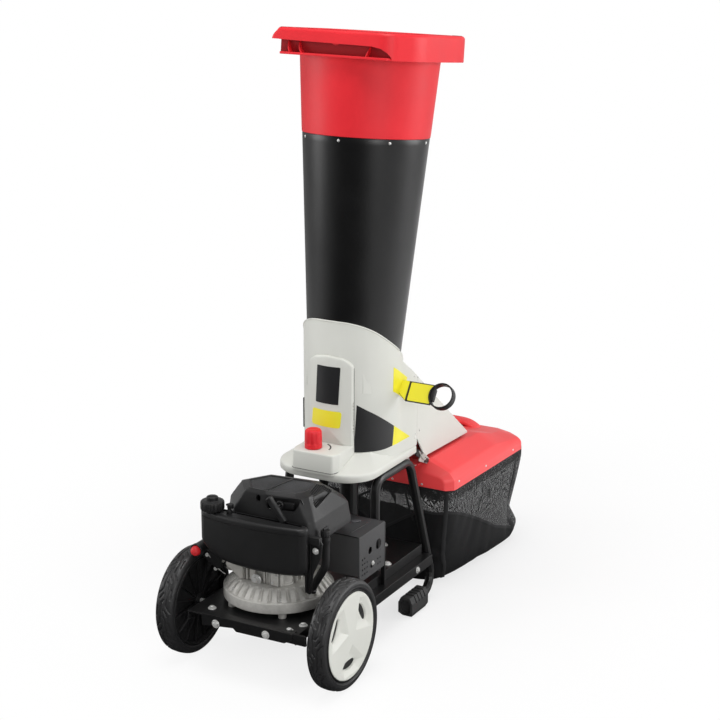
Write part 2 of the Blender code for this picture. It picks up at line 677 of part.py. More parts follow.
def make_housing():
    """Moulded housing: flange, round throat, hopper collar, control column and ledge."""
    base, wide = CUTTER_DECK_Z, RIM_HALF
    high, shelf_z = ROOF_Z + 0.060, roof_z(FLAP_SEAM) + FLAP_ROOM
    rings = []
    for up, half, front in ((0.0, FLANGE_HALF - 0.002, 0.004), (FLANGE_HEIGHT, FLANGE_HALF, 0.0),
                            (FLANGE_HEIGHT + 0.004, FLANGE_HALF - 0.001, 0.002),
                            (0.058, HOUSING_HALF - 0.012, 0.068)):
        rings.append([(x, y, base + up) for x, y in flange_plan(half, FLANGE_FRONT + front, FLANGE_CORNER)])
    shell = loft("housing_shell", rings, GREY)

    body = prism("body", plan(HOUSING_HALF, HOUSING_BACK), "Z", base + 0.02, high, GREY)
    boolean(body, [prism("profile", side_profile(0.0, HOUSING_BACK), "X", -wide, wide, GREY)], "INTERSECT")
    collar = tilt_hopper(turned("collar", [
        (0.0, -0.14), (hopper_radius(-0.14) + 0.009, -0.14), (hopper_radius(0.06) + 0.0055, 0.06),
        (0.0, 0.06)],
        GREY, steps=44))
    # The collar's top edge, as depths behind the hopper's axis and heights
    edge = [(-0.4, COLLAR_FRONT_Z + 0.002), (-0.1106, COLLAR_FRONT_Z + 0.002),
            (-0.0856, COLLAR_FRONT_Z - 0.006), (-0.0606, COLLAR_FRONT_Z - 0.026), (0.0144, COLLAR_SIDE_Z),
            (0.1294, COLLAR_SIDE_Z - 0.105), (0.29, base - 0.08), (0.49, base - 0.08)]
    edge = [(HOPPER_Y + y, z) for y, z in edge]
    sky = ROOF_Z + 0.4
    trim = prism("collar top", [(edge[0][0], sky)] + edge + [(edge[-1][0], sky)], "X", -wide, wide, GREY)
    cut(collar, trim, block("under", (-wide, SHELF_Y, base - 0.08), (wide, SHELF_Y + 0.3, shelf_z), GREY))
    corner = COLUMN_HALF - COLUMN_CORNER
    arch = [(-COLUMN_HALF, base + 0.03), (COLUMN_HALF, base + 0.03)]
    arch += arc((corner, COLUMN_TOP - COLUMN_CORNER), COLUMN_CORNER, 0, 90, 6)
    arch += arc((-corner, COLUMN_TOP - COLUMN_CORNER), COLUMN_CORNER, 90, 180, 6)
    column = prism("column", arch, "Y", COLUMN_FRONT, THROAT_Y - 0.04, GREY)
    ledge = prism("ledge", [(LEDGE_FRONT, base + 0.012), (COLUMN_FRONT + 0.03, base + 0.012),
                            (COLUMN_FRONT + 0.03, LEDGE_TOP), (LEDGE_FRONT + 0.004, LEDGE_TOP),
                            (LEDGE_FRONT, LEDGE_TOP - 0.008)], "X", -LEDGE_HALF, LEDGE_HALF, GREY)
    join(shell, body, collar, column, ledge)

    inner = prism("inner", plan(HOUSING_HALF - WALL, HOUSING_BACK + 0.02), "Z", base - 0.01, high, GREY)
    floor, roof = base - 0.082, ROOF_Z - 0.032
    inner_profile = [(y, min(z, roof)) for y, z in side_profile(WALL, HOUSING_BACK + 0.02)]
    inner_profile[0], inner_profile[1] = (COLUMN_FRONT - 0.039, floor), (HOUSING_BACK + 0.02, floor)
    boolean(inner, [prism("profile", inner_profile, "X", -wide, wide, GREY)], "INTERSECT")
    throat_r, seat = hopper_radius(TUBE_BOTTOM) - HOPPER_SKIN - 0.001, TUBE_BOTTOM - SEAT
    bore = turned("bore", [(0.0, -0.13), (throat_r, -0.13), (throat_r, seat + 0.002), (0.0, seat + 0.002)],
                  GREY, steps=44)
    cut(bore, block("shelf", (-wide, SHELF_Y - WALL - HOPPER_Y, -0.2), (wide, wide, seat), GREY))
    join(bore, turned("socket", [(0.0, seat), (hopper_radius(seat) + SEAT, seat),
                                 (hopper_radius(0.09) + SEAT, 0.09), (0.0, 0.09)], GREY, steps=44))
    cut(shell, inner, tilt_hopper(bore))

    recess = flange_plan(FLANGE_HALF - 0.005, FLANGE_FRONT + 0.009, FLANGE_CORNER - 0.005)
    recess = [(x, y + (0.02 if y > HOUSING_BACK - 0.01 else 0.0)) for x, y in recess]
    room = loft("room", [
        [(x, y + (0.02 if y > HOUSING_BACK - 0.01 else 0.0), z) for x,
         y in flange_plan(half, front, FLANGE_CORNER)]
        for z, half, front in ((base - 0.01, FLANGE_HALF - 0.009, FLANGE_FRONT + 0.013),
                               (base + FLANGE_HEIGHT - 0.0005, FLANGE_HALF - 0.009, FLANGE_FRONT + 0.013),
                               (base + 0.050, HOUSING_HALF - 0.0165, FLANGE_FRONT + 0.080))], GREY)
    cut(shell, room, prism("recess", recess, "Z", base - 0.01, base + CUTTER_DECK_THICK + SEAT, GREY))
    well = prism("well", [(WALL - COLUMN_HALF, base + 0.02), (COLUMN_HALF - WALL, base + 0.02),
                          (COLUMN_HALF - WALL, COLUMN_TOP - 0.062),
                          (COLUMN_HALF - 0.03, COLUMN_TOP - 0.017),
                          (0.03 - COLUMN_HALF, COLUMN_TOP - 0.017),
                          (WALL - COLUMN_HALF, COLUMN_TOP - 0.062)],
                 "Y", COLUMN_FRONT + WALL, COLUMN_FRONT + 0.051, GREY)
    cut(well, rod("throat wall", HOUSING_HALF + 0.0006, base, high, GREY, (0.0, THROAT_Y), steps=40))
    cut(shell, well, block("ledge well", (WALL - LEDGE_HALF, LEDGE_FRONT + WALL, base + 0.001),
                           (LEDGE_HALF - WALL, COLUMN_FRONT + 0.006, LEDGE_TOP - 0.010), GREY))
    cut(shell, rod("knob hole", KNOB_STEM_R + RUN, LEDGE_TOP - 0.02, LEDGE_TOP + 0.01, GREY,
                   (KNOB_X, KNOB_Y)))
    cut(shell, gate_solid("gate slot", HOUSING_HALF - 0.038, GATE_OUTER, GATE_SLOT_PLAY))
    for side in (-1, 1):
        lug_x = sorted((side * (BARREL_HALF + 0.001), side * (BARREL_HALF + 0.001 + LUG_WIDTH)))
        lug = rod("lug", FLAP_BARREL_R, *lug_x, GREY, flap_pin(), "X", 12)
        web = prism("web", [(flap_pin()[0] - 0.016, roof_z(flap_pin()[0] - 0.016) - 0.002),
                            (HOUSING_BACK - 0.0005, roof_z(HOUSING_BACK) - 0.002),
                            (HOUSING_BACK - 0.0005, flap_pin()[1]),
                            (flap_pin()[0] - 0.004, flap_pin()[1] + 0.0045)],
                    "X", *lug_x, GREY)
        join(shell, web, lug)
    reach = BARREL_HALF + LUG_WIDTH + 0.019
    return cut(shell, rod("pin hole", FLAP_PIN_R + SEAT, -reach, reach, GREY, flap_pin(), "X", 12))


def flap_pin():
    """The flap's hinge axis, as (y, z): just above the roof's rear edge."""
    return FLAP_SEAM - 0.0005, roof_z(FLAP_SEAM) + FLAP_BARREL_R + 0.0045


def gate_solid(name, low, high, grow=0.0):
    """The gate's plate between two places in x, grown on its long faces by grow."""
    up = Vector((0.0, sin(GATE_TILT), cos(GATE_TILT)))
    across = Vector((0.0, -cos(GATE_TILT), sin(GATE_TILT)))
    centre = Vector((0.0, GATE_Y, GATE_Z))
    ring = []
    for a, b in ((-1, -1), (1, -1), (1, 1), (-1, 1)):
        ring.append(centre + up * a * (GATE_HEIGHT / 2 + grow) + across * b * (GATE_THICK / 2 + grow))
    return loft(name, [[(x, p.y, p.z) for p in ring] for x in (low, high)], YELLOW)


def make_gate():
    """Slide gate, its ring handle, and the guide inside the housing wall."""
    plate = gate_solid("slide_gate", GATE_INNER, GATE_OUTER)
    frame = Matrix.Translation((RING_X, GATE_Y, GATE_Z)) @ Matrix.Rotation(pi / 2 - GATE_TILT, 4, "X")
    ring = turned("gate_ring", [(RING_HOLE, -RING_DEPTH / 2), (RING_R - 0.002, -RING_DEPTH / 2),
                                (RING_R, -RING_DEPTH / 2 + 0.002), (RING_R, RING_DEPTH / 2 - 0.002),
                                (RING_R - 0.002, RING_DEPTH / 2), (RING_HOLE, RING_DEPTH / 2)],
                  BLACK_PLASTIC, steps=32)
    ring.data.transform(frame)
    cut(ring, gate_solid("tongue", HOUSING_HALF + 0.03, GATE_OUTER + SEAT, SEAT))
    seat = HOUSING_HALF - WALL - 0.0022
    guide = gate_solid("gate_guide", seat - GUIDE_LENGTH, seat, 0.0045)
    cut(guide, gate_solid("gate way", 0.0, GATE_OUTER, GATE_SLOT_PLAY / 2))
    axis = pivot("gate slide", (RING_X, GATE_Y, GATE_Z))
    carry(axis, plate, ring)
    return guide


def make_knob():
    """Fluted control knob on the ledge, on a stem through it."""
    z = LEDGE_TOP + SEAT
    lobes = 9
    steps = lobes * 4

    def flute(k, index):
        return -0.0012 if 2 <= index <= 4 and k % 4 == 0 else 0.0

    knob = turned("control_knob", [
        (0.0, z - 0.014), (KNOB_STEM_R, z - 0.014), (KNOB_STEM_R, z), (KNOB_R, z), (KNOB_R, z + 0.010),
        (KNOB_R - 0.0006, z + KNOB_HEIGHT - 0.004), (KNOB_R - 0.004, z + KNOB_HEIGHT),
        (0.0, z + KNOB_HEIGHT)],
        RED, (KNOB_X, KNOB_Y, 0.0), steps=steps, wave=lambda k, i: flute(k, i - 1))
    carry(pivot("knob axis", (KNOB_X, KNOB_Y, z)), knob)


def make_flap():
    """Discharge flap: sloping roof and two cheeks, hung from a pin at the roof's edge."""
    toe = (FLAP_TOE_Y, FLAP_TOE_Z)
    outline = [(FLAP_SEAM, FLAP_SEAM_LOW), toe, (FLAP_TIP_Y, FLAP_TIP_Z), (FLAP_TIP_Y, FLAP_TIP_Z + 0.004),
               (FLAP_SEAM, roof_z(FLAP_SEAM))]
    flap = prism("discharge_flap", outline, "X", -FLAP_HALF, FLAP_HALF, GREY)
    low = FLAP_TIP_Z - 0.05
    hollow = [(FLAP_SEAM - 0.05, low), (FLAP_TIP_Y - 0.003, low), (FLAP_TIP_Y - 0.003, FLAP_TIP_Z + 0.0005),
              (FLAP_SEAM, roof_z(FLAP_SEAM, WALL)), (FLAP_SEAM - 0.05, roof_z(FLAP_SEAM, WALL))]
    cut(flap, prism("hollow", hollow, "X", WALL - FLAP_HALF, FLAP_HALF - WALL, GREY))
    pin_y, pin_z = flap_pin()
    web = prism("web", [(FLAP_SEAM + 0.0003, roof_z(FLAP_SEAM) - 0.003),
                        (FLAP_SEAM + 0.012, roof_z(FLAP_SEAM + 0.012) - 0.002),
                        (pin_y + 0.005, pin_z + 0.003), (pin_y + 0.0015, pin_z - 0.003)],
                "X", -BARREL_HALF, BARREL_HALF, GREY)
    barrel = rod("barrel", FLAP_BARREL_R, -BARREL_HALF, BARREL_HALF, GREY, (pin_y, pin_z), "X", 12)
    join(flap, web, barrel)
    reach = BARREL_HALF + LUG_WIDTH + 0.003
    cut(flap, rod("pin hole", FLAP_PIN_R + SEAT, -reach, reach, GREY, (pin_y, pin_z), "X", 12))
    rod("flap_hinge_pin", FLAP_PIN_R, -reach, reach, STEEL, (pin_y, pin_z), "X", 12)
    carry(pivot("flap axis", (0.0, pin_y, pin_z)), flap)


# Hopper

def make_hopper_tube():
    """Rolled sheet cone between the housing's collar and the funnel."""
    outer_low, outer_high = hopper_radius(TUBE_BOTTOM), hopper_radius(TUBE_TOP)
    return tilt_hopper(turned("hopper_tube", [
        (outer_low - HOPPER_SKIN, TUBE_BOTTOM), (outer_low, TUBE_BOTTOM), (outer_high, TUBE_TOP),
        (outer_high - HOPPER_SKIN, TUBE_TOP)], TUBE_BLACK, steps=48))


def rim_outline(inset, lip):
    """Plan of the rim round the hopper's axis: rounded back, straight front lip."""
    half, corner = RIM_HALF - inset, RIM_CORNER - inset
    right = arc((half - corner, half - corner), corner, 90, 0, 8) + [(half, -0.085)]
    right += arc((half - 0.055, -0.085), 0.055, 0, -50, 4)
    right += [(LIP_HALF - inset * 0.6, -lip + inset + 0.012),
              (LIP_HALF - 0.010 - inset * 0.6, -lip + inset)]
    return mirrored(right)


def make_funnel():
    """Moulded funnel: spigot, cone, and a hollow rim whose front lip is the carrying grip."""
    outline = rim_outline(0.0, RIM_LIP)
    rings = [[(a, b, t) for a, b in rim_outline(inset, RIM_LIP)]
             for t, inset in ((RIM_BOTTOM, 0.0), (RIM_TOP - 0.006, 0.0), (RIM_TOP, 0.005))]
    rim = loft("hopper_funnel", rings, RED)
    hollow = prism("hollow", rim_outline(WALL, RIM_LIP), "Z", RIM_BOTTOM - 0.01, RIM_TOP - WALL, RED)
    cut(rim, hollow)
    wall = -RIM_LIP + LIP_ROOM
    lip_cut = block("lip", (-LIP_HALF - 0.05, -RIM_LIP - 0.01, RIM_BOTTOM - 0.02),
                    (LIP_HALF + 0.05, wall, RIM_TOP - LIP_HEIGHT), RED)
    cut(rim, lip_cut)
    wall_half = LIP_HALF - 0.0245
    join(rim, block("wall", (-wall_half, wall, RIM_BOTTOM), (wall_half, wall + WALL, RIM_TOP - 0.002), RED))
    for k in range(-2, 3):
        x = 0.367 * LIP_HALF * k
        join(rim, block("rib", (x - 0.0015, -RIM_LIP + 0.002, RIM_TOP - LIP_HEIGHT + 0.006),
                        (x + 0.0015, wall + 0.0015, RIM_TOP - 0.002), RED))
    spigot = hopper_radius(TUBE_TOP - SPIGOT) - HOPPER_SKIN - SEAT
    cone = turned("cone", [
        (0.0, TUBE_TOP - SPIGOT), (spigot, TUBE_TOP - SPIGOT), (spigot + 0.0027, TUBE_TOP + SEAT),
        (hopper_radius(TUBE_TOP) + 0.001, TUBE_TOP + SEAT),
        (hopper_radius(RIM_TOP) + 0.0005, RIM_TOP - 0.001),
        (0.0, RIM_TOP - 0.001)], RED, steps=48)
    join(rim, cone)
    bore = turned("bore", [
        (0.0, TUBE_TOP - SPIGOT - 0.01), (spigot - WALL - 0.0007, TUBE_TOP - SPIGOT - 0.01),
        (spigot - WALL + 0.0022, TUBE_TOP),
        (hopper_radius(RIM_TOP) - WALL, RIM_TOP - 0.012), (hopper_radius(RIM_TOP) + 0.003, RIM_TOP + 0.01),
        (0.0, RIM_TOP + 0.01)], RED, steps=48)
    cut(rim, bore)
    return tilt_hopper(rim)


# Cutter and its drive

def pulley(name, radius, y, bore):
    """V-belt pulley with a shaft bore."""
    half = PULLEY_THICK / 2
    low, high = PULLEY_Z - half, PULLEY_Z + half
    root = radius - BELT_DEPTH - 0.002
    return turned(name, [(bore, low), (radius, low), (radius, low + 0.0025), (root, PULLEY_Z - 0.003),
                         (root, PULLEY_Z + 0.003), (radius, high - 0.0025), (radius, high), (bore, high)],
                  STEEL, (0.0, y, 0.0), steps=26)


def make_rotor():
    """Rotor: shaft, pulley, disc with throwing vanes, and two blades on the disc."""
    top = ROTOR_DISC_Z
    shaft = rod("rotor_shaft", ROTOR_SHAFT_R, PULLEY_Z - 0.0115, top - SEAT, STEEL, (0.0, ROTOR_Y),
                steps=20)
    wheel = pulley("rotor_pulley", ROTOR_PULLEY_R, ROTOR_Y, ROTOR_SHAFT_R + SEAT)
    disc = turned("rotor_disc", [(0.0, top), (ROTOR_DISC_R, top), (ROTOR_DISC_R, top + ROTOR_DISC_THICK),
                                 (0.022, top + ROTOR_DISC_THICK), (0.020, top + ROTOR_DISC_THICK + 0.006),
                                 (0.0, top + ROTOR_DISC_THICK + 0.007)], STEEL, (0.0, ROTOR_Y,
                                 0.0), steps=40)
    blades = []
    for k in range(4):
        turn = Matrix.Translation((0.0, ROTOR_Y, 0.0)) @ Matrix.Rotation(radians(90 * k + 20), 4, "Z")
        vane = block("vane", (0.034, -0.002, top - 0.0095), (ROTOR_DISC_R - 0.003, 0.002,
                                                             top + 0.001), STEEL)
        vane.data.transform(turn)
        join(disc, vane)
    for k in range(2):
        turn = Matrix.Translation((0.0, ROTOR_Y, 0.0)) @ Matrix.Rotation(radians(180 * k), 4, "Z")
        low = top + ROTOR_DISC_THICK + SEAT
        edge = [(-0.006, low), (0.022, low), (0.016, low + 0.006), (-0.006, low + 0.006)]
        blade = prism("cutter_blade_%d" % (k + 1), edge, "X", 0.0, 0.052, STEEL)
        blade.data.transform(Matrix.Translation((0.026, 0.0, 0.0)))
        for place in (0.040, 0.064):
            cut(blade, rod("bolt hole", 0.0032, low - 0.01, low + 0.02, STEEL, (place, 0.004), steps=10))
        blade.data.transform(turn)
        blades.append(blade)
    carry(pivot("rotor axis", (0.0, ROTOR_Y, top)), shaft, wheel, disc, *blades)


def make_bearings():
    """Bearing tube between the two decks, and the two bearings in it."""
    low, high = DECK_TOP + SEAT, CUTTER_DECK_Z - SEAT
    turned("bearing_housing", [
        (BEARING_R + SEAT, low), (BEARING_FLANGE_R, low), (BEARING_FLANGE_R, low + 0.006),
        (BEARING_TUBE_R, low + 0.010), (BEARING_TUBE_R, high - 0.010), (BEARING_FLANGE_R, high - 0.006),
        (BEARING_FLANGE_R, high), (BEARING_R + SEAT, high)],
        BLACK_PAINT, (0.0, ROTOR_Y, 0.0), steps=20)
    for name, z in (("lower_bearing", low + 0.012), ("upper_bearing", high - 0.026)):
        turned(name, [(ROTOR_SHAFT_R + SEAT, z), (BEARING_R, z), (BEARING_R, z + 0.014),
                      (ROTOR_SHAFT_R + SEAT, z + 0.014)], STEEL, (0.0, ROTOR_Y, 0.0), steps=24)


def make_belt():
    """V-belt: the band between two offsets of the outline that wraps both pulleys."""
    def wrap(grow):
        big = ROTOR_PULLEY_R - BELT_DEPTH - 0.0015 + grow
        small = ENGINE_PULLEY_R - BELT_DEPTH - 0.0015 + grow
        lean = math.degrees(math.asin((big - small) / (ROTOR_Y - ENGINE_Y)))
        return (arc((0.0, ROTOR_Y), big, -lean, 180 + lean, 16)
                + arc((0.0, ENGINE_Y), small, 180 + lean, 360 - lean, 12))
    half = BELT_THICK / 2
    rings = [[(x, y, PULLEY_Z + z) for x, y in wrap(grow)]
             for grow, z in ((0.0, -0.0026), (BELT_DEPTH, -half + 0.0002),
                             (BELT_DEPTH, half - 0.0002), (0.0, 0.0026))]
    count = len(rings[0])
    points = [p for ring in rings for p in ring]
    faces = []
    for ring in range(4):
        low, high = ring * count, (ring + 1) % 4 * count
        faces += [(low + k, low + (k + 1) % count, high + (k + 1) % count, high + k) for k in range(count)]
    return solid("drive_belt", points, faces, RUBBER)


# Engine

def make_crank():
    """Crankshaft with the engine pulley below and the flywheel on top."""
    shaft = rod("crankshaft", CRANK_R, PULLEY_Z - 0.0115, COWL_BOTTOM + 0.038, STEEL, (0.0, ENGINE_Y),
                steps=20)
    wheel = pulley("engine_pulley", ENGINE_PULLEY_R, ENGINE_Y, CRANK_R + SEAT)
    low = COWL_BOTTOM + 0.006
    fly = turned("flywheel", [(CRANK_R + SEAT, low), (FLYWHEEL_R, low), (FLYWHEEL_R, low + 0.010),
                              (FLYWHEEL_R - 0.012, low + 0.016), (0.030, low + 0.018),
                              (CRANK_R + SEAT, low + 0.018)],
                 ALLOY, (0.0, ENGINE_Y, 0.0), steps=28)
    carry(pivot("crank axis", (0.0, ENGINE_Y, PULLEY_Z)), shaft, wheel, fly)


def make_sump():
    """Cast sump with cooling ribs round its shoulder and lugs down to the deck."""
    steps = 44
    ribbed = (4, 5, 6)

    def ribs(k, index):
        return -0.0035 if index in ribbed and k % 2 else 0.0

    sump = turned("engine_sump", [
        (CRANK_R + RUN, SUMP_BOTTOM), (SUMP_R - 0.004, SUMP_BOTTOM), (SUMP_R, SUMP_BOTTOM + 0.003),
        (SUMP_R, SUMP_BOTTOM + 0.016), (SUMP_R - 0.006, SUMP_BOTTOM + 0.019),
        (SUMP_R - 0.013, SUMP_TOP - 0.016),
        (SUMP_R - 0.024, SUMP_TOP - 0.003), (SUMP_R - 0.028, SUMP_TOP), (SUMP_R - 0.036, SUMP_TOP),
        (SUMP_R - 0.020, SUMP_BOTTOM + 0.016), (SUMP_R - 0.020, SUMP_BOTTOM + 0.006),
        (CRANK_R + RUN, SUMP_BOTTOM + 0.006)],
        ALLOY, (0.0, ENGINE_Y, 0.0), steps=steps, wave=ribs, smooth=30)
    for angle in (-55, -125, 55, 125):
        x = (SUMP_R - 0.012) * cos(radians(angle))
        y = ENGINE_Y + (SUMP_R - 0.012) * sin(radians(angle))
        join(sump, rod("lug", 0.0095, DECK_TOP + SEAT, SUMP_BOTTOM + 0.004, ALLOY, (x, y), steps=10))
    return join(sump, rod("filler boss", FILLER_R + 0.003, SUMP_BOTTOM + 0.008, SUMP_TOP - 0.012, ALLOY,
                          (FILLER_X - 0.038, FILLER_Y + 0.002), steps=12))


def make_engine_core():
    """Crankcase, finned cylinder, head, plug cap, muffler and air filter box."""
    base, wall = SUMP_TOP + SEAT, 0.008
    front, rear = ENGINE_Y - CASE_FRONT, ENGINE_Y + CASE_BACK
    case = prism("crankcase", rounded(-CASE_HALF, CASE_HALF, front, rear, 0.020, 0.006, 3), "Z", base,
                 CASE_TOP, ALLOY)
    cut(case, block("room", (wall - CASE_HALF, front + wall, base - 0.01),
                    (CASE_HALF - wall, rear - wall, CASE_TOP - 0.010), ALLOY),
        rod("crank bore", CRANK_R + RUN, base - 0.01, CASE_TOP + 0.01, ALLOY, (0.0, ENGINE_Y)))

    root, fin, high = rear + SEAT, FIN_PITCH * 0.364, COWL_BOTTOM - SEAT
    neck = FIN_HALF * 0.607
    comb = [(neck, root)]
    for k in range(FIN_COUNT):
        y = root + FIN_PITCH * (k + 0.4)
        comb += [(neck, y), (FIN_HALF, y), (FIN_HALF, y + fin), (neck, y + fin)]
    back = root + FIN_PITCH * (FIN_COUNT + 0.4)
    comb += [(neck, back)]
    prism("cylinder_block", mirrored(comb), "Z", SUMP_TOP + 0.016, high, ALLOY)
    head = prism("cylinder_head", rounded(-HEAD_HALF, HEAD_HALF, back + SEAT, back + HEAD_DEPTH,
                                          0.004, 0.008, 2),
                 "Z", SUMP_TOP + 0.012, high, ALLOY)
    for k in range(-2, 3):
        x = HEAD_HALF * 0.36 * k
        cut(head, block("fin gap", (x - 0.005, back + 0.010, SUMP_TOP),
                        (x + 0.005, back + 0.04, high + 0.01),
                        ALLOY))
    plug_y = back + 0.010 + SEAT
    plug = rod("spark_plug_cap", 0.0042, plug_y, plug_y + 0.028, RUBBER, (0.0, PLUG_Z), "Y", 12)
    join(plug, block("boot", (-0.0085, plug_y + 0.020, PLUG_Z - 0.013),
                     (0.0085, plug_y + 0.036, PLUG_Z + 0.013), RUBBER))
    muffler = prism("muffler", rounded(GUARD_INNER + 0.006, GUARD_X - 0.006, GUARD_FRONT + 0.020,
                                       GUARD_BACK - 0.012, 0.010, 0.010, 3),
                    "Z", GUARD_TOP - 0.086, GUARD_TOP - 0.010, BLACK_PAINT)
    join(muffler, block("port", (HEAD_HALF + SEAT, back + 0.004, SUMP_TOP + 0.026),
                        (GUARD_INNER + 0.010, back + HEAD_DEPTH - 0.0005, SUMP_TOP + 0.050), BLACK_PAINT))
    filter_box = prism("air_filter_box", rounded(FILTER_LEFT, FILTER_RIGHT, ENGINE_Y - 0.049,
                                                 ENGINE_Y + 0.037,
                                                 0.010, 0.010, 3),
                       "Z", SUMP_TOP + 0.006, FILTER_TOP, BLACK_PLASTIC)
    join(filter_box, block("carburettor", (FILTER_RIGHT - 0.005, ENGINE_Y - 0.035, SUMP_TOP + 0.014),
                           (-CASE_HALF - SEAT, ENGINE_Y + 0.011, SUMP_TOP + 0.056), ALLOY),
         rod("primer seat", PRIMER_R + 0.0027, PRIMER_Y - 0.004, ENGINE_Y - 0.035, BLACK_PLASTIC,
             (PRIMER_X, PRIMER_Z), "Y", 20))
    cut(filter_box, rod("primer well", PRIMER_R + RUN, PRIMER_Y - 0.010, PRIMER_Y + 0.005, BLACK_PLASTIC,
                        (PRIMER_X, PRIMER_Z), "Y", 20))
    bulb = turned("primer_bulb", [(0.0, 0.0), (PRIMER_R, 0.0), (PRIMER_R, -0.008),
                                  (PRIMER_R - 0.002, -0.013),
                                  (0.0050, -0.0165), (0.0, -0.0175)], RED, (PRIMER_X, PRIMER_Y,
                                  PRIMER_Z), "Y",
                  20, 60)
    carry(pivot("primer slide", (PRIMER_X, PRIMER_Y, PRIMER_Z)), bulb)


def cowl_ring(level, grow=0.0, rise=0.0):
    """One level of the cowling: foot, belt line, shoulder and crown."""
    share, left, right, front, back, corner = COWL_LEVELS[level]
    plan_line = rounded(COWL_DEPTH * left - grow, COWL_DEPTH * right + grow,
                        ENGINE_Y + COWL_DEPTH * front - grow, ENGINE_Y + COWL_DEPTH * back + grow,
                        corner + grow, corner + grow, 4)
    z = COWL_BOTTOM + share * (COWL_TOP - COWL_BOTTOM) + rise
    return [(x, y, z) for x, y in plan_line]


def make_cowling():
    """Blower cowling over the flywheel, with its side grille and the starter's recess."""
    wall = 0.003
    cowl = loft("cowling", [cowl_ring(k) for k in range(4)], BLACK_PLASTIC, 28)
    drops = (-0.01, 0.0, -0.0035, -0.0032)
    cut(cowl, loft("inner", [cowl_ring(k, -wall, drop) for k, drop in enumerate(drops)], BLACK_PLASTIC))
    back = ENGINE_Y + COWL_DEPTH - wall / 2
    join(cowl, block("baffle", (-0.078, back - 0.0625, COWL_BOTTOM), (0.078, back, COWL_BOTTOM + wall),
                     BLACK_PLASTIC))
    for k in range(5):
        y = ENGINE_Y + 0.010 + 0.014 * k
        cut(cowl, block("grille slot", (COWL_DEPTH * 0.64, y, COWL_BOTTOM + 0.030),
                        (COWL_DEPTH * 1.35, y + 0.007, COWL_BOTTOM + 0.064), BLACK_PLASTIC))
    return cut(cowl, rod("rope eye", 0.006, GRIP_Y - 0.01, ENGINE_Y - 0.025, BLACK_PLASTIC,
                         (ROPE_X, ROPE_Z), "Y", 12))


def tank_ring(up, inset, left_cut, right_cut):
    """One level of the fuel tank: a bulged front, a flat back and round ends."""
    x0, x1 = TANK_LEFT + inset + left_cut, TANK_RIGHT - inset - right_cut
    front, back = TANK_FRONT + inset, TANK_BACK - min(inset, 0.004)
    middle, reach = (x0 + x1) / 2, (x1 - x0) / 2 - 0.010
    # The front bows: its middle stands ahead of its ends by the sagitta of this arc
    radius = (reach ** 2 + 0.016 ** 2) / 0.032
    lean = math.degrees(math.asin(reach / radius))
    bow = arc((middle, front + radius), radius, 270 - lean, 270 + lean, 10)
    right = arc((x1 - 0.012, back - 0.012), 0.012, 0, 90, 3)
    left = arc((x0 + 0.012, back - 0.012), 0.012, 90, 180, 3)
    z = TANK_BOTTOM + up
    return [(x, y, z) for x, y in [(x0 + 0.002, front + 0.024)] + bow + [(x1 - 0.002, front + 0.024)]
            + right + left]


def make_tank():
    """Fuel tank across the engine's front, cut away low at its left end, with its cap."""
    height = TANK_TOP - TANK_BOTTOM
    levels = ((0.0, 0.012, 0.044, 0.006), (0.004, 0.004, 0.038, 0.004), (0.012, 0.0, 0.028, 0.003),
              (0.036, 0.0, 0.003, 0.0), (height - 0.014, 0.0, 0.0, 0.0), (height - 0.005, 0.003, 0.0, 0.0),
              (height, 0.010, 0.0, 0.0))
    tank = loft("fuel_tank", [tank_ring(*level) for level in levels], BLACK_PLASTIC)
    join(tank, rod("neck", NECK_R, TANK_TOP - 0.01, TANK_TOP + 0.010, BLACK_PLASTIC, (CAP_X, CAP_Y),
                   steps=20))
    cut(tank, rod("filler bore", NECK_R - 0.004, TANK_TOP - 0.045, TANK_TOP + 0.02, BLACK_PLASTIC,
                  (CAP_X, CAP_Y), steps=20))
    low = TANK_TOP + 0.0022

    cap = turned("fuel_cap", [
        (0.0, low + 0.010), (NECK_R + RUN, low + 0.010), (NECK_R + RUN, low), (CAP_R, low),
        (CAP_R, low + 0.020),
        (CAP_R - 0.003, low + 0.0235), (0.0, low + 0.0240)], BLACK_PLASTIC, (CAP_X, CAP_Y, 0.0), steps=28,
        wave=lambda k, i: -0.0018 if i in (3, 4) and k % 4 == 0 else 0.0)
    join(cap, prism("tab", rounded(CAP_X - 0.012, CAP_X + 0.012, CAP_Y - 0.006, CAP_Y + 0.006, 0.003,
                                   0.003, 2),
                    "Z", low + 0.022, low + 0.031, BLACK_PLASTIC))
    carry(pivot("cap axis", (CAP_X, CAP_Y, low)), cap)


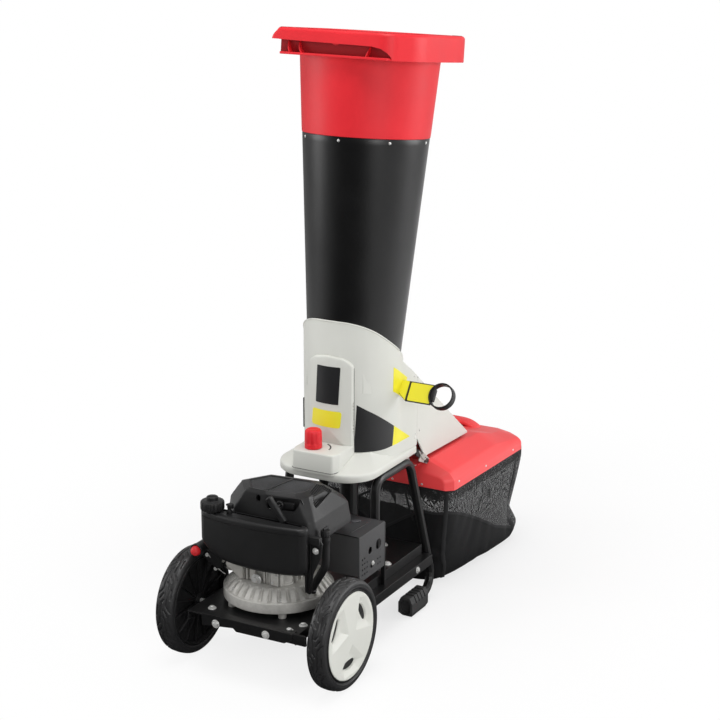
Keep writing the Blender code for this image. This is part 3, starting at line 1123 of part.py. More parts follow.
def make_filler():
    """Bent oil filler tube up the engine's side, with the dipstick's cap on top."""
    foot_x, foot_y, foot_z = FILLER_X - 0.038, FILLER_Y + 0.002, SUMP_TOP - 0.0084
    tube = bent("oil_filler_tube", [(foot_x, foot_y, foot_z),
                                    (foot_x + 0.010, foot_y + 0.001, foot_z + 0.0284),
                                    (FILLER_X, FILLER_Y, foot_z + 0.0584),
                                    (FILLER_X, FILLER_Y, FILLER_TOP)],
                (0.020, 0.020), FILLER_R, BLACK_PLASTIC, 2, 4)
    bore = FILLER_R - 0.0025
    cut(tube, rod("bore", bore, FILLER_TOP - 0.04, FILLER_TOP + 0.01, BLACK_PLASTIC, (FILLER_X, FILLER_Y),
                  steps=12))
    z, rod_r = FILLER_TOP + SEAT, bore - RUN
    stick = turned("dipstick", [(0.0, z - 0.034), (rod_r, z - 0.034), (rod_r, z), (FILLER_R + 0.002, z),
                                (FILLER_R + 0.002, z + 0.012), (FILLER_R - 0.001, z + 0.015),
                                (0.0, z + 0.015)],
                   BLACK_PLASTIC, (FILLER_X, FILLER_Y, 0.0), steps=20)
    join(stick, block("tab", (FILLER_X - 0.002, FILLER_Y - 0.0085, z + 0.012),
                      (FILLER_X + 0.002, FILLER_Y + 0.0085, z + 0.021), BLACK_PLASTIC))
    carry(pivot("dipstick axis", (FILLER_X, FILLER_Y, z)), stick)


def make_starter():
    """Recoil starter: reel under the crown, rope stub and the T-shaped grip in front."""
    z = ROPE_Z - 0.0055
    reel = turned("recoil_reel", [(0.006, z), (REEL_R, z), (REEL_R, z + 0.002), (REEL_CORE, z + 0.003),
                                  (REEL_CORE, z + 0.008), (REEL_R, z + 0.009), (REEL_R, z + 0.011),
                                  (0.006, z + 0.011)], BLACK_PLASTIC, (0.0, ENGINE_Y, 0.0), steps=24)
    post = rod("reel_post", 0.0055, z - 0.002, COWL_TOP - 0.0035, STEEL, (0.0, ENGINE_Y), steps=14)
    rope = rod("starter_rope", 0.0020, GRIP_Y + 0.0078, ENGINE_Y, RUBBER, (ROPE_X, ROPE_Z), "Y", 8)
    grip = prism("starter_grip", rounded(-0.0085, 0.0085, -0.0075, 0.0075, 0.004, 0.004, 3), "Z",
                 -0.028, 0.028,
                 BLACK_PLASTIC)
    grip.data.transform(Matrix.Translation((ROPE_X, GRIP_Y, ROPE_Z)) @ Matrix.Rotation(radians(-39),
                                                                                       4, "Y"))
    carry(pivot("reel axis", (0.0, ENGINE_Y, z)), reel)
    carry(pivot("starter slide", (ROPE_X, GRIP_Y, ROPE_Z)), grip, rope)
    return post


# Catcher bag

def hood_section(y, half, low, top, shoulder, inset):
    """One cross-section of the hood: skirt, bevel, flat top, mirrored."""
    bevel_low = low + 0.026
    shape = [(half - inset, low - (0.01 if inset else 0.0)), (half - inset, bevel_low),
             (half - HOOD_BEVEL - inset, bevel_low + (top - bevel_low) * 0.42),
             (shoulder - inset * 0.6, top - inset)]
    return [(x, y, z) for x, z in mirrored(shape)]


def hood_stations():
    """Cross-sections of the hood from front to back: y, half width, low edge, top, shoulder."""
    rows = []
    for share, half, shoulder, drop in HOOD_STATIONS:
        y = HOOD_FRONT + share * HOOD_LENGTH
        rows.append((y, HOOD_HALF * half, hood_low(y), HOOD_TOP_FRONT - drop, HOOD_HALF * shoulder))
    return rows


def make_hood():
    """Moulded hood of the catcher bag, with an inlet under the flap and an arched handle."""
    stations = hood_stations()
    hood = loft("bag_hood", [hood_section(*station, 0.0) for station in stations], RED)
    inner = []
    for k, (y, half, low, top, shoulder) in enumerate(stations):
        shift = WALL if k == 0 else (-WALL if k == len(stations) - 1 else 0.0)
        inner.append(hood_section(y + shift, half, low, top, shoulder, WALL))
    cut(hood, loft("inner", inner, RED))
    inlet_half = HOOD_HALF * 0.525
    inlet = prism("inlet", rounded(-inlet_half, inlet_half, HOOD_FRONT + 0.028, HOOD_FRONT + 0.211,
                                   0.015, 0.015, 3), "Z", HOOD_TOP_FRONT - 0.03, HOOD_TOP_FRONT + 0.02, RED)
    cut(hood, inlet)
    foot, top, inward = HOOD_TOP_BACK - 0.004, HOOD_TOP_BACK + HANDLE_RISE, HANDLE_HALF - 0.014
    bar = bent("bar", [(-HANDLE_HALF, HANDLE_Y, foot), (-inward, HANDLE_Y, top), (inward, HANDLE_Y, top),
                       (HANDLE_HALF, HANDLE_Y, foot)], (0.012, 0.012), HANDLE_R, RED, 2, 3)
    lip_half = HOOK_X + 0.011
    lip = block("lip", (-lip_half, HOOD_FRONT - 0.012, HOOD_LIP_Z),
                (lip_half, HOOD_FRONT + 0.022, HOOD_LIP_Z + WALL), RED)
    return join(hood, bar, lip)


def hood_low(y):
    """Height of the hood's lower edge at y."""
    share = (y - HOOD_FRONT) / (HOOD_BACK - HOOD_FRONT)
    return HOOD_LOW_FRONT + (HOOD_LOW_BACK - HOOD_LOW_FRONT) * share


def bag_ring(level, grow, lift=0.0):
    """One level of the bag: it narrows to the floor at its front and bulges low at its back."""
    share, front_half, back_half, front_off, back_off = BAG_LEVELS[level]
    front_half, back_half = front_half * HOOD_HALF, back_half * HOOD_HALF
    front, back = HOOD_FRONT + front_off * HOOD_LENGTH, HOOD_BACK + back_off * HOOD_LENGTH
    ring = []
    for x, y in rounded(-back_half - grow, back_half + grow, front - grow, back + grow, 0.030, 0.056, 4):
        along_y = (y - front) / (back - front)
        width = (front_half + grow + (back_half - front_half) * along_y) / (back_half + grow)
        z = hood_low(y) + BAG_TUCK if share == 1.0 else share * HOOD_LOW_BACK
        ring.append((x * width, y, z + lift))
    return ring


def make_bag():
    """The bag itself, an open-topped shell held in the hood's skirt, and its wire frame."""
    bag = loft("bag_body", [bag_ring(k, 0.0) for k in range(6)], MESH_CLOTH, 50)
    cut(bag, loft("room", [bag_ring(k, -BAG_WALL) for k in (1, 2, 3, 4)] + [bag_ring(5, -BAG_WALL, 0.01)],
                  MESH_CLOTH))
    path = [(x, y, z + 0.0035) for x, y, z in bag_ring(5, -0.0045)]
    return bag, wire("bag_frame", path, 0.003, STEEL, 1, closed=True)


def make_hooks():
    """Two hooks under the housing's rear edge that hold the hood's front."""
    for side, name in ((-1, "left"), (1, "right")):
        x, top, tray = side * HOOK_X, CUTTER_DECK_Z - SEAT, HOOD_LIP_Z - SEAT
        back, reach = HOUSING_BACK - 0.005, HOOD_FRONT + 0.004
        outline = [(back - 0.0215, top), (back - 0.0215, top - 0.010), (back - 0.006, tray - 0.004),
                   (reach, tray - 0.004), (reach, tray), (back + 0.012, tray), (back, top - 0.012),
                   (back, top)]
        prism(name + "_bag_hook", outline, "X", x - 0.002, x + 0.002, STEEL)


def main():
    """Build every piece of the machine."""
    make_deck()
    make_front_crossbar()
    for side, name in ((-1, "left"), (1, "right")):
        make_side(side, name)
        make_wheel(side, name)
    rod("wheel_axle", AXLE_R, -WHEEL_X - 0.014, WHEEL_X + 0.014, STEEL, (0.0, WHEEL_R), "X", 16)
    make_guard()
    make_cutter_deck()
    make_housing()
    make_gate()
    make_knob()
    make_flap()
    make_hopper_tube()
    make_funnel()
    make_rotor()
    make_bearings()
    make_belt()
    make_crank()
    make_sump()
    make_engine_core()
    make_cowling()
    make_tank()
    make_filler()
    make_starter()
    make_hood()
    make_bag()
    make_hooks()


main()
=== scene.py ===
"""Looks of a petrol garden shredder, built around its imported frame.

The frame's coordinates are metres: +X is the side with the gate's ring handle, -Y the
engine's side and +Z up. Most pieces are worked out in the machine's own coordinates, whose
x = 0 is its plane of symmetry and whose y = 0 is the wheel axle, and are then moved to the
axle that the frame holds. Each sub-assembly is a class, each finish a frozen dataclass.
"""
from __future__ import annotations

import json
import logging
import math
from dataclasses import dataclass
from enum import Enum
from functools import lru_cache
from typing import Callable, Optional, Sequence

import bmesh
import bpy
import numpy as np
from mathutils import Matrix, Vector

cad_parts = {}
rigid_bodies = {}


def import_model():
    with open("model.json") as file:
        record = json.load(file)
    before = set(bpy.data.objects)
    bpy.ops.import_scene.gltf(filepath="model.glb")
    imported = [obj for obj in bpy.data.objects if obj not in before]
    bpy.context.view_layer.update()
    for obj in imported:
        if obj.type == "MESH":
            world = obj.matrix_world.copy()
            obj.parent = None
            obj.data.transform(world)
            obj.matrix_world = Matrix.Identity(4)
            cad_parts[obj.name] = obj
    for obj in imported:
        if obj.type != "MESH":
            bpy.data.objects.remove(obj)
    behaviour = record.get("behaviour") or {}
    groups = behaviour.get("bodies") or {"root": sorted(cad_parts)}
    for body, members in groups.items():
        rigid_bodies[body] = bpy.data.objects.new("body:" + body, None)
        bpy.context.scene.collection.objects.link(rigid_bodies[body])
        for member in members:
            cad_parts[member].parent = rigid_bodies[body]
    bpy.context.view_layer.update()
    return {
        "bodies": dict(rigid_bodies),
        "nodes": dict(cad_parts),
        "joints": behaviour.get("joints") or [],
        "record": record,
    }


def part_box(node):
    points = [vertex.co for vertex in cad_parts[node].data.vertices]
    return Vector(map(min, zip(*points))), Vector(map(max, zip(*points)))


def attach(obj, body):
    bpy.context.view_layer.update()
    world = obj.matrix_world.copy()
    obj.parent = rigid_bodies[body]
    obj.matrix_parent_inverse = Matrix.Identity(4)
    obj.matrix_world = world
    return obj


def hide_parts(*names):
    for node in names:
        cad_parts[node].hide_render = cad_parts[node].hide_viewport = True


LOG = logging.getLogger("garden_shredder")
Array = np.ndarray
Colour = tuple[float, float, float]
TAU = 2.0 * math.pi
NodeSocket, NodeTree, Piece = bpy.types.NodeSocket, bpy.types.NodeTree, bpy.types.Object


# Shader node groups

class Socket(Enum):
    """Kinds of socket that a node group's interface may have."""

    COLOUR = "NodeSocketColor"
    VALUE = "NodeSocketFloat"
    VECTOR = "NodeSocketVector"


class GroupMaker:
    """Builds one shader node group and wires the nodes inside it."""

    def __init__(self, name: str, inputs: dict[str, tuple[Socket, object]], outputs: dict[str, Socket]) -> None:
        """Start a group.

        Args:
            name: the group's name.
            inputs: each input's kind and default value.
            outputs: each output's kind.
        """
        self.tree = bpy.data.node_groups.new(name, "ShaderNodeTree")
        for label, (kind, value) in inputs.items():
            socket = self.tree.interface.new_socket(label, in_out="INPUT", socket_type=kind.value)
            socket.default_value = value
        for label, kind in outputs.items():
            self.tree.interface.new_socket(label, in_out="OUTPUT", socket_type=kind.value)
        self.given = self.tree.nodes.new("NodeGroupInput").outputs
        self.result = self.tree.nodes.new("NodeGroupOutput").inputs

    def node(self, kind: str, settings: Optional[dict] = None, **inputs: object) -> bpy.types.Node:
        """Add a node.

        Args:
            kind: Blender's type name without its ShaderNode prefix.
            settings: properties of the node.
            inputs: values or sockets by input name, with spaces written as underscores.

        Returns:
            The node.
        """
        return add_node(self.tree, kind, settings, **inputs)

    def maths(self, operation: str, *values: object) -> NodeSocket:
        """Add a Math node on the values and return its output."""
        return add_maths(self.tree, operation, *values)

    def give(self, label: str, socket: NodeSocket) -> None:
        """Wire a socket to the group's output."""
        self.tree.links.new(socket, self.result[label])


def add_node(tree: NodeTree, kind: str, settings: Optional[dict] = None, **inputs: object) -> bpy.types.Node:
    """Add a node to a tree and fill its inputs.

    Args:
        tree: a material's or a group's tree.
        kind: Blender's type name without its ShaderNode prefix.
        settings: properties of the node.
        inputs: values or sockets by input name, with spaces written as underscores.

    Returns:
        The node.
    """
    node = tree.nodes.new("ShaderNode" + kind)
    for label, value in (settings or {}).items():
        setattr(node, label, value)
    for label, value in inputs.items():
        socket = node.inputs[int(label[1:]) if label[1:].isdigit() else label.replace("_", " ")]
        if isinstance(value, NodeSocket):
            tree.links.new(value, socket)
        else:
            socket.default_value = value
    return node


def add_maths(tree: NodeTree, operation: str, *values: object) -> NodeSocket:
    """Add a Math node.

    Args:
        tree: a material's or a group's tree.
        operation: Blender's name of the operation.
        values: numbers or sockets, in order.

    Returns:
        The node's output.
    """
    numbered = {"i%d" % k: value for k, value in enumerate(values)}
    return add_node(tree, "Math", {"operation": operation}, **numbered).outputs[0]


@lru_cache(maxsize=None)
def grain_group() -> NodeTree:
    """Moulded or painted skin: fine grain, cloudy colour and uneven gloss.

    Returns:
        A group with the outputs Colour, Roughness and Height.
    """
    made = GroupMaker("skin_grain", {
        "Colour": (Socket.COLOUR, (0.5, 0.5, 0.5, 1.0)), "Vary": (Socket.VALUE, 0.06),
        "Roughness": (Socket.VALUE, 0.45), "Uneven": (Socket.VALUE, 0.1),
        "Grain": (Socket.VALUE, 900.0)}, {"Colour": Socket.COLOUR, "Roughness": Socket.VALUE, "Height": Socket.VALUE})
    place = made.node("TexCoord").outputs["Object"]
    fine = made.node("TexNoise", Vector=place, Scale=made.given["Grain"], Detail=2.0, Roughness=0.6)
    cloud = made.node("TexNoise", Vector=place, Scale=14.0, Detail=4.0, Roughness=0.55)
    shift = made.maths("MULTIPLY", made.maths("SUBTRACT", cloud.outputs["Fac"], 0.5), made.given["Vary"])
    speck = made.maths("MULTIPLY", made.maths("SUBTRACT", fine.outputs["Fac"], 0.5), made.given["Vary"])
    value = made.maths("ADD", 1.0, made.maths("ADD", made.maths("MULTIPLY", shift, 2.0), speck))
    tinted = made.node("HueSaturation", Color=made.given["Colour"], Value=value)
    made.give("Colour", tinted.outputs["Color"])
    uneven = made.maths("MULTIPLY", made.maths("SUBTRACT", cloud.outputs["Fac"], 0.5), made.given["Uneven"])
    made.give("Roughness", made.maths("ADD", made.given["Roughness"], made.maths("MULTIPLY", uneven, 2.0)))
    made.give("Height", fine.outputs["Fac"])
    return made.tree


@lru_cache(maxsize=None)
def wear_group() -> NodeTree:
    """Worn edges: where a rounded normal leaves the true one, broken up by noise.

    Returns:
        A group with the output Mask.
    """
    made = GroupMaker("edge_wear", {"Width": (Socket.VALUE, 0.0012), "Amount": (Socket.VALUE, 0.5)},
                      {"Mask": Socket.VALUE})
    place = made.node("TexCoord").outputs["Object"]
    soft = made.node("Bevel", {"samples": 4}, Radius=made.given["Width"])
    true = made.node("NewGeometry").outputs["Normal"]
    dot = made.node("VectorMath", {"operation": "DOT_PRODUCT"}, i0=soft.outputs[0], i1=true).outputs["Value"]
    edge = made.maths("MULTIPLY", made.maths("SUBTRACT", 1.0, dot), 6.0)
    broken = made.node("TexNoise", Vector=place, Scale=160.0, Detail=5.0, Roughness=0.7).outputs["Fac"]
    mask = made.maths("MULTIPLY", edge, made.maths("MULTIPLY", broken, made.given["Amount"]))
    made.give("Mask", made.node("Clamp", Value=mask).outputs[0])
    return made.tree


@lru_cache(maxsize=None)
def dust_group() -> NodeTree:
    """Dust that settles on faces that look up.

    Returns:
        A group with the output Mask.
    """
    made = GroupMaker("settled_dust", {"Amount": (Socket.VALUE, 0.2)}, {"Mask": Socket.VALUE})
    place = made.node("TexCoord").outputs["Object"]
    normal = made.node("NewGeometry").outputs["Normal"]
    up = made.node("SeparateXYZ", Vector=normal).outputs["Z"]
    patchy = made.node("TexNoise", Vector=place, Scale=45.0, Detail=6.0, Roughness=0.65).outputs["Fac"]
    facing = made.node("MapRange", Value=up, From_Min=-0.4, From_Max=1.0).outputs[0]
    mask = made.maths("MULTIPLY", facing, made.maths("MULTIPLY", patchy, made.given["Amount"]))
    made.give("Mask", made.node("Clamp", Value=mask).outputs[0])
    return made.tree


@lru_cache(maxsize=None)
def cast_group() -> NodeTree:
    """Skin of a sand or die casting: pits, swellings and dull stains.

    Returns:
        A group with the outputs Stain and Height.
    """
    made = GroupMaker("cast_skin", {"Scale": (Socket.VALUE, 300.0)}, {"Stain": Socket.VALUE, "Height": Socket.VALUE})
    place = made.node("TexCoord").outputs["Object"]
    pits = made.node("TexVoronoi", Vector=place, Scale=made.given["Scale"]).outputs["Distance"]
    swell = made.node("TexNoise", Vector=place, Scale=90.0, Detail=5.0, Roughness=0.6).outputs["Fac"]
    stain = made.node("TexNoise", Vector=place, Scale=28.0, Detail=7.0, Roughness=0.7).outputs["Fac"]
    made.give("Height", made.maths("ADD", made.maths("MULTIPLY", pits, 0.5), swell))
    made.give("Stain", made.node("MapRange", Value=stain, From_Min=0.35, From_Max=0.75).outputs[0])
    return made.tree


@lru_cache(maxsize=None)
def weave_group() -> NodeTree:
    """Square weave on the piece's own map, whose unit is a metre of cloth.

    Returns:
        A group with the outputs Thread, which is 1 on a thread, and Height.
    """
    made = GroupMaker("square_weave", {"Pitch": (Socket.VALUE, 0.002), "Thread": (Socket.VALUE, 0.5)},
                      {"Thread": Socket.VALUE, "Height": Socket.VALUE})
    flat = made.node("UVMap").outputs["UV"]
    axes = made.node("SeparateXYZ", Vector=flat)
    ridges = []
    for axis in ("X", "Y"):
        turns = made.maths("DIVIDE", axes.outputs[axis], made.given["Pitch"])
        ridges.append(made.maths("ABSOLUTE", made.maths("SUBTRACT", made.maths("FRACT", turns), 0.5)))
    half = made.maths("MULTIPLY", made.given["Thread"], 0.5)
    near = made.maths("MINIMUM", ridges[0], ridges[1])
    made.give("Thread", made.maths("LESS_THAN", near, half))
    made.give("Height", made.maths("SUBTRACT", 0.5, near))
    return made.tree


# Finishes

def use_group(tree: NodeTree, group: NodeTree, **inputs: object) -> bpy.types.Node:
    """Place a node group in a material.

    Args:
        tree: the material's tree.
        group: the group.
        inputs: values or sockets by input name.

    Returns:
        The group's node.
    """
    node = tree.nodes.new("ShaderNodeGroup")
    node.node_tree = group
    for label, value in inputs.items():
        if isinstance(value, NodeSocket):
            tree.links.new(value, node.inputs[label])
        else:
            node.inputs[label].default_value = value
    return node


def blend_colour(tree: NodeTree, mask: NodeSocket, first: object, second: object) -> NodeSocket:
    """Mix two colours by a mask and return the colour's socket."""
    node = add_node(tree, "Mix", {"data_type": "RGBA"}, i0=mask, i6=first, i7=second)
    return node.outputs[2]


def rgba(colour: Colour) -> tuple[float, float, float, float]:
    """A colour with full alpha."""
    return (*colour, 1.0)


@dataclass(frozen=True)
class Finish:
    """A moulded or painted surface: grain, cloudy colour, dust and worn edges.

    Attributes:
        name: the material's name.
        slot: the record's material slot; not used.
        colour: base colour, linear.
        roughness: mean roughness.
        metallic: 0 or 1.
        vary: how much the colour drifts.
        uneven: how much the roughness drifts.
        grain: grains to a metre.
        bump: height of the grain in metres.
        dust: how much dust lies on it.
        dust_colour: colour of that dust.
        wear: how much its edges are worn.
        worn_colour: colour under a worn edge.
        coat: weight of a clear coat.
        shine: level of its mirror reflection, 0.5 for common plastics and paints.
    """

    name: str
    slot: str
    colour: Colour
    roughness: float = 0.45
    metallic: float = 0.0
    vary: float = 0.05
    uneven: float = 0.08
    grain: float = 900.0
    bump: float = 0.00006
    dust: float = 0.0
    dust_colour: Colour = (0.42, 0.4, 0.37)
    wear: float = 0.0
    worn_colour: Colour = (0.45, 0.44, 0.43)
    coat: float = 0.0
    shine: float = 0.5

    def material(self) -> bpy.types.Material:
        """The material of this finish, made once."""
        return material_of(self)

    def dress(self, tree: NodeTree, shader: bpy.types.Node) -> None:
        """Wire the surface's nodes to the shader.

        Args:
            tree: the material's tree.
            shader: its Principled BSDF.
        """
        skin = use_group(tree, grain_group(), Colour=rgba(self.colour), Vary=self.vary,
                         Roughness=self.roughness, Uneven=self.uneven, Grain=self.grain)
        colour = skin.outputs["Colour"]
        if self.wear > 0.0:
            worn = use_group(tree, wear_group(), Amount=self.wear).outputs["Mask"]
            colour = blend_colour(tree, worn, colour, rgba(self.worn_colour))
        if self.dust > 0.0:
            dusty = use_group(tree, dust_group(), Amount=self.dust).outputs["Mask"]
            colour = blend_colour(tree, dusty, colour, rgba(self.dust_colour))
        tree.links.new(colour, shader.inputs["Base Color"])
        tree.links.new(skin.outputs["Roughness"], shader.inputs["Roughness"])
        bump = add_node(tree, "Bump", Height=skin.outputs["Height"], Distance=self.bump, Strength=1.0)
        tree.links.new(bump.outputs[0], shader.inputs["Normal"])
        shader.inputs["Metallic"].default_value = self.metallic
        shader.inputs["Coat Weight"].default_value = self.coat
        shader.inputs["Specular IOR Level"].default_value = self.shine


@dataclass(frozen=True)
class CastFinish(Finish):
    """Bare casting: pits and stains instead of moulded grain."""

    stain_colour: Colour = (0.2, 0.19, 0.175)
    stain: float = 0.5

    def dress(self, tree: NodeTree, shader: bpy.types.Node) -> None:
        """Wire the casting's nodes to the shader.

        Args:
            tree: the material's tree.
            shader: its Principled BSDF.
        """
        skin = use_group(tree, cast_group(), Scale=self.grain)
        mask = add_maths(tree, "MULTIPLY", skin.outputs["Stain"], self.stain)
        colour = blend_colour(tree, mask, rgba(self.colour), rgba(self.stain_colour))
        tree.links.new(colour, shader.inputs["Base Color"])
        rough = add_node(tree, "MapRange", Value=skin.outputs["Stain"], To_Min=self.roughness,
                         To_Max=self.roughness + self.uneven)
        tree.links.new(rough.outputs[0], shader.inputs["Roughness"])
        bump = add_node(tree, "Bump", Height=skin.outputs["Height"], Distance=self.bump, Strength=1.0)
        tree.links.new(bump.outputs[0], shader.inputs["Normal"])
        shader.inputs["Metallic"].default_value = self.metallic


@dataclass(frozen=True)
class WovenFinish(Finish):
    """Woven cloth on the piece's own map, open between its threads where share is low."""

    pitch: float = 0.0016
    share: float = 0.5
    open_weave: bool = True
    sheen: float = 0.0

    def dress(self, tree: NodeTree, shader: bpy.types.Node) -> None:
        """Wire the cloth's nodes to the shader.

        Args:
            tree: the material's tree.
            shader: its Principled BSDF.
        """
        skin = use_group(tree, grain_group(), Colour=rgba(self.colour), Vary=self.vary,
                         Roughness=self.roughness, Uneven=self.uneven, Grain=self.grain)
        weave = use_group(tree, weave_group(), Pitch=self.pitch, Thread=self.share)
        tree.links.new(skin.outputs["Colour"], shader.inputs["Base Color"])
        tree.links.new(skin.outputs["Roughness"], shader.inputs["Roughness"])
        shader.inputs["Specular IOR Level"].default_value = self.shine
        bump = add_node(tree, "Bump", Height=weave.outputs["Height"], Distance=self.bump, Strength=1.0)
        tree.links.new(bump.outputs[0], shader.inputs["Normal"])
        shader.inputs["Sheen Weight"].default_value = self.sheen
        if self.open_weave:
            tree.links.new(weave.outputs["Thread"], shader.inputs["Alpha"])


@lru_cache(maxsize=None)
def material_of(finish: Finish) -> bpy.types.Material:
    """Build a finish's material.

    Args:
        finish: the finish, which is its own key in the cache.

    Returns:
        The material.
    """
    material = bpy.data.materials.new(finish.name)
    material.use_nodes = True
    shader = material.node_tree.nodes["Principled BSDF"]
    finish.dress(material.node_tree, shader)
    return material


RED = Finish("red_moulding", "red_plastic", (0.74, 0.01, 0.02), 0.5, vary=0.08, bump=0.00008, shine=0.45, dust=0.014,
             dust_colour=(0.75, 0.25, 0.22))
GREY = Finish("light_grey_moulding", "grey_plastic", (0.64, 0.645, 0.6), 0.46, vary=0.03, bump=0.00007, dust=0.08)
BLACK = Finish("black_moulding", "black_plastic", (0.01, 0.01, 0.0105), 0.44, vary=0.3, uneven=0.12, grain=520.0,
               bump=0.00022, dust=0.008, shine=0.4)
POWDER = Finish("black_powder_coat", "black_paint", (0.006, 0.006, 0.0063), 0.34, vary=0.1, grain=1500.0,
                bump=0.00009, dust=0.008, wear=0.18, shine=0.45)
GUARD_PAINT = Finish("grey_black_powder_coat", "black_paint", (0.05, 0.05, 0.052), 0.42, vary=0.1, grain=1500.0,
                     bump=0.00009, dust=0.02, wear=0.1)
HOPPER_BLACK = Finish("satin_black_paint", "hopper_black", (0.0035, 0.0035, 0.0038), 0.36, vary=0.1, grain=700.0,
                      bump=0.00005)
STEEL = Finish("zinc_plated_steel", "bright_steel", (0.68, 0.68, 0.665), 0.34, 0.55, uneven=0.15, bump=0.00002)
ALLOY = CastFinish("cast_alloy", "cast_alloy", (0.56, 0.55, 0.52), 0.56, 0.35, uneven=0.2, grain=520.0, bump=0.00016)
TYRE_RUBBER = Finish("tyre_rubber", "tyre", (0.016, 0.016, 0.017), 0.42, vary=0.4, uneven=0.25, grain=500.0,
                     bump=0.00022, dust=0.04)
RUBBER = Finish("black_rubber", "rubber", (0.025, 0.025, 0.026), 0.7, vary=0.2, bump=0.0001, dust=0.06)
RED_RUBBER = Finish("red_rubber", "red_rubber", (0.55, 0.01, 0.015), 0.5, bump=0.00003)
ROPE = Finish("braided_rope", "rope", (0.05, 0.05, 0.05), 0.85, vary=0.4, grain=1200.0, bump=0.0003)
YELLOW = Finish("bare_yellow_face", "yellow_plate", (0.84, 0.76, 0.03), 0.42, vary=0.02, bump=0.00002)
COWL_MESH = Finish("pitted_panel", "black_plastic", (0.05, 0.05, 0.052), 0.6, vary=0.8, grain=420.0, bump=0.00045,
                   dust=0.02)
DULL_ALLOY = CastFinish("machined_alloy", "cast_alloy", (0.56, 0.545, 0.51), 0.52, 0.5, uneven=0.2, grain=700.0,
                        bump=0.00008, stain=0.35)
LABEL_BLACK = Finish("bare_black_face", "yellow_plate", (0.016, 0.016, 0.017), 0.36, vary=0.05, bump=0.00001)
# A lighter, pinker copy of the red moulding for the hood: painted light, for the stronger light that falls on the hood
# from above and the right.
HOOD_RED_PAINTED_LIGHT = Finish("red_moulding_painted_light", "red_plastic", (0.84, 0.058, 0.062), 0.42, vary=0.06, bump=0.00008, shine=0.5)
# A darker copy of the red moulding: painted shade for the grip's recess wall and the dark line along the rim's inner
# top edge.
RED_PAINTED_SHADE = Finish("red_painted_shade", "red_plastic", (0.34, 0.005, 0.01), 0.6, vary=0.08, bump=0.00008, shine=0.3)
SHADOW = Finish("seam_shadow", "black_plastic", (0.1, 0.1, 0.095), 0.8, vary=0.05, bump=0.00001)
GREY_RUBBER = Finish("grey_rubber", "rubber", (0.075, 0.075, 0.08), 0.55, bump=0.00005)
MESH_CLOTH = WovenFinish("open_mesh_cloth", "bag_fabric", (0.01, 0.01, 0.011), 0.8, vary=0.3, bump=0.0002,
                         pitch=0.0017, share=0.5)
DENSE_CLOTH = WovenFinish("dense_cloth", "bag_fabric", (0.006, 0.006, 0.0068), 0.72, vary=0.25, bump=0.00025,
                          pitch=0.0011, open_weave=False, shine=0.3)

TAPE = Finish("bag_binding", "bag_fabric", (0.01, 0.01, 0.011), 0.75, vary=0.2, grain=1500.0, bump=0.0001)


# Frame access

@dataclass(frozen=True)
class Machine:
    """Where the machine's own coordinates lie in the frame.

    Attributes:
        shift: the wheel axle's middle on the floor.
        nodes: the frame's objects by name.
    """

    shift: Vector
    nodes: dict

    @classmethod
    def from_frame(cls, frame: dict) -> "Machine":
        """Read the axle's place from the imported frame."""
        low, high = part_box("wheel_axle")
        return cls(Vector(((low.x + high.x) / 2, (low.y + high.y) / 2, 0.0)), frame["nodes"])


# Surfaces

@dataclass
class Surface:
    """A mesh as arrays.

    Attributes:
        points: vertex places, one row each.
        faces: vertex numbers of each face, in lists or rows.
        flat: place of each vertex on the piece's map, in metres, if it has one.
    """

    points: Array
    faces: list
    flat: Optional[Array] = None

    def moved(self, matrix: Matrix) -> "Surface":
        """The surface moved by a matrix."""
        m = np.array(matrix)
        return Surface(self.points @ m[:3, :3].T + m[:3, 3], self.faces, self.flat)


def full_turn(steps: int) -> Array:
    """Angles that share a full turn evenly, from 0."""
    return np.linspace(0.0, TAU, steps, endpoint=False)


def levelled(outline: Array, height: float) -> Array:
    """An outline's points, all at one height."""
    return np.column_stack([outline, np.full(len(outline), height)])


def grid_faces(rows: int, columns: int, wrap_rows: bool = False, wrap_columns: bool = False) -> list:
    """Four-sided faces of a grid, whose vertex (r, c) has the number r * columns + c.

    Args:
        rows: rows of vertices.
        columns: vertices in a row.
        wrap_rows: the last row joins the first.
        wrap_columns: each row's last vertex joins its first.

    Returns:
        The faces as lists of four numbers.
    """
    r = np.arange(rows if wrap_rows else rows - 1)
    c = np.arange(columns if wrap_columns else columns - 1)
    r, c = (a.ravel() for a in np.meshgrid(r, c, indexing="ij"))
    r2, c2 = (r + 1) % rows, (c + 1) % columns
    return np.stack([r * columns + c, r * columns + c2, r2 * columns + c2, r2 * columns + c], 1).tolist()


def joined(*parts: Surface) -> Surface:
    """Several surfaces as one, with their vertices numbered on."""
    offsets = np.cumsum([0] + [len(p.points) for p in parts[:-1]])
    faces = [[int(o + v) for v in face] for o, p in zip(offsets, parts) for face in p.faces]
    return Surface(np.concatenate([p.points for p in parts]), faces)


def lofted(rings: Array, caps: bool = True, wrap: bool = False) -> Surface:
    """A skin over rings of equal count: ring r and step c give the point rings[r, c].

    Args:
        rings: array of rings x points x 3.
        caps: close the first and last ring with a flat face.
        wrap: join the last ring to the first.

    Returns:
        The surface.
    """
    rows, columns = rings.shape[:2]
    faces = grid_faces(rows, columns, wrap, True)
    if caps and not wrap:
        faces += [list(range(columns)), list(range((rows - 1) * columns, rows * columns))]
    return Surface(rings.reshape(-1, 3), faces)


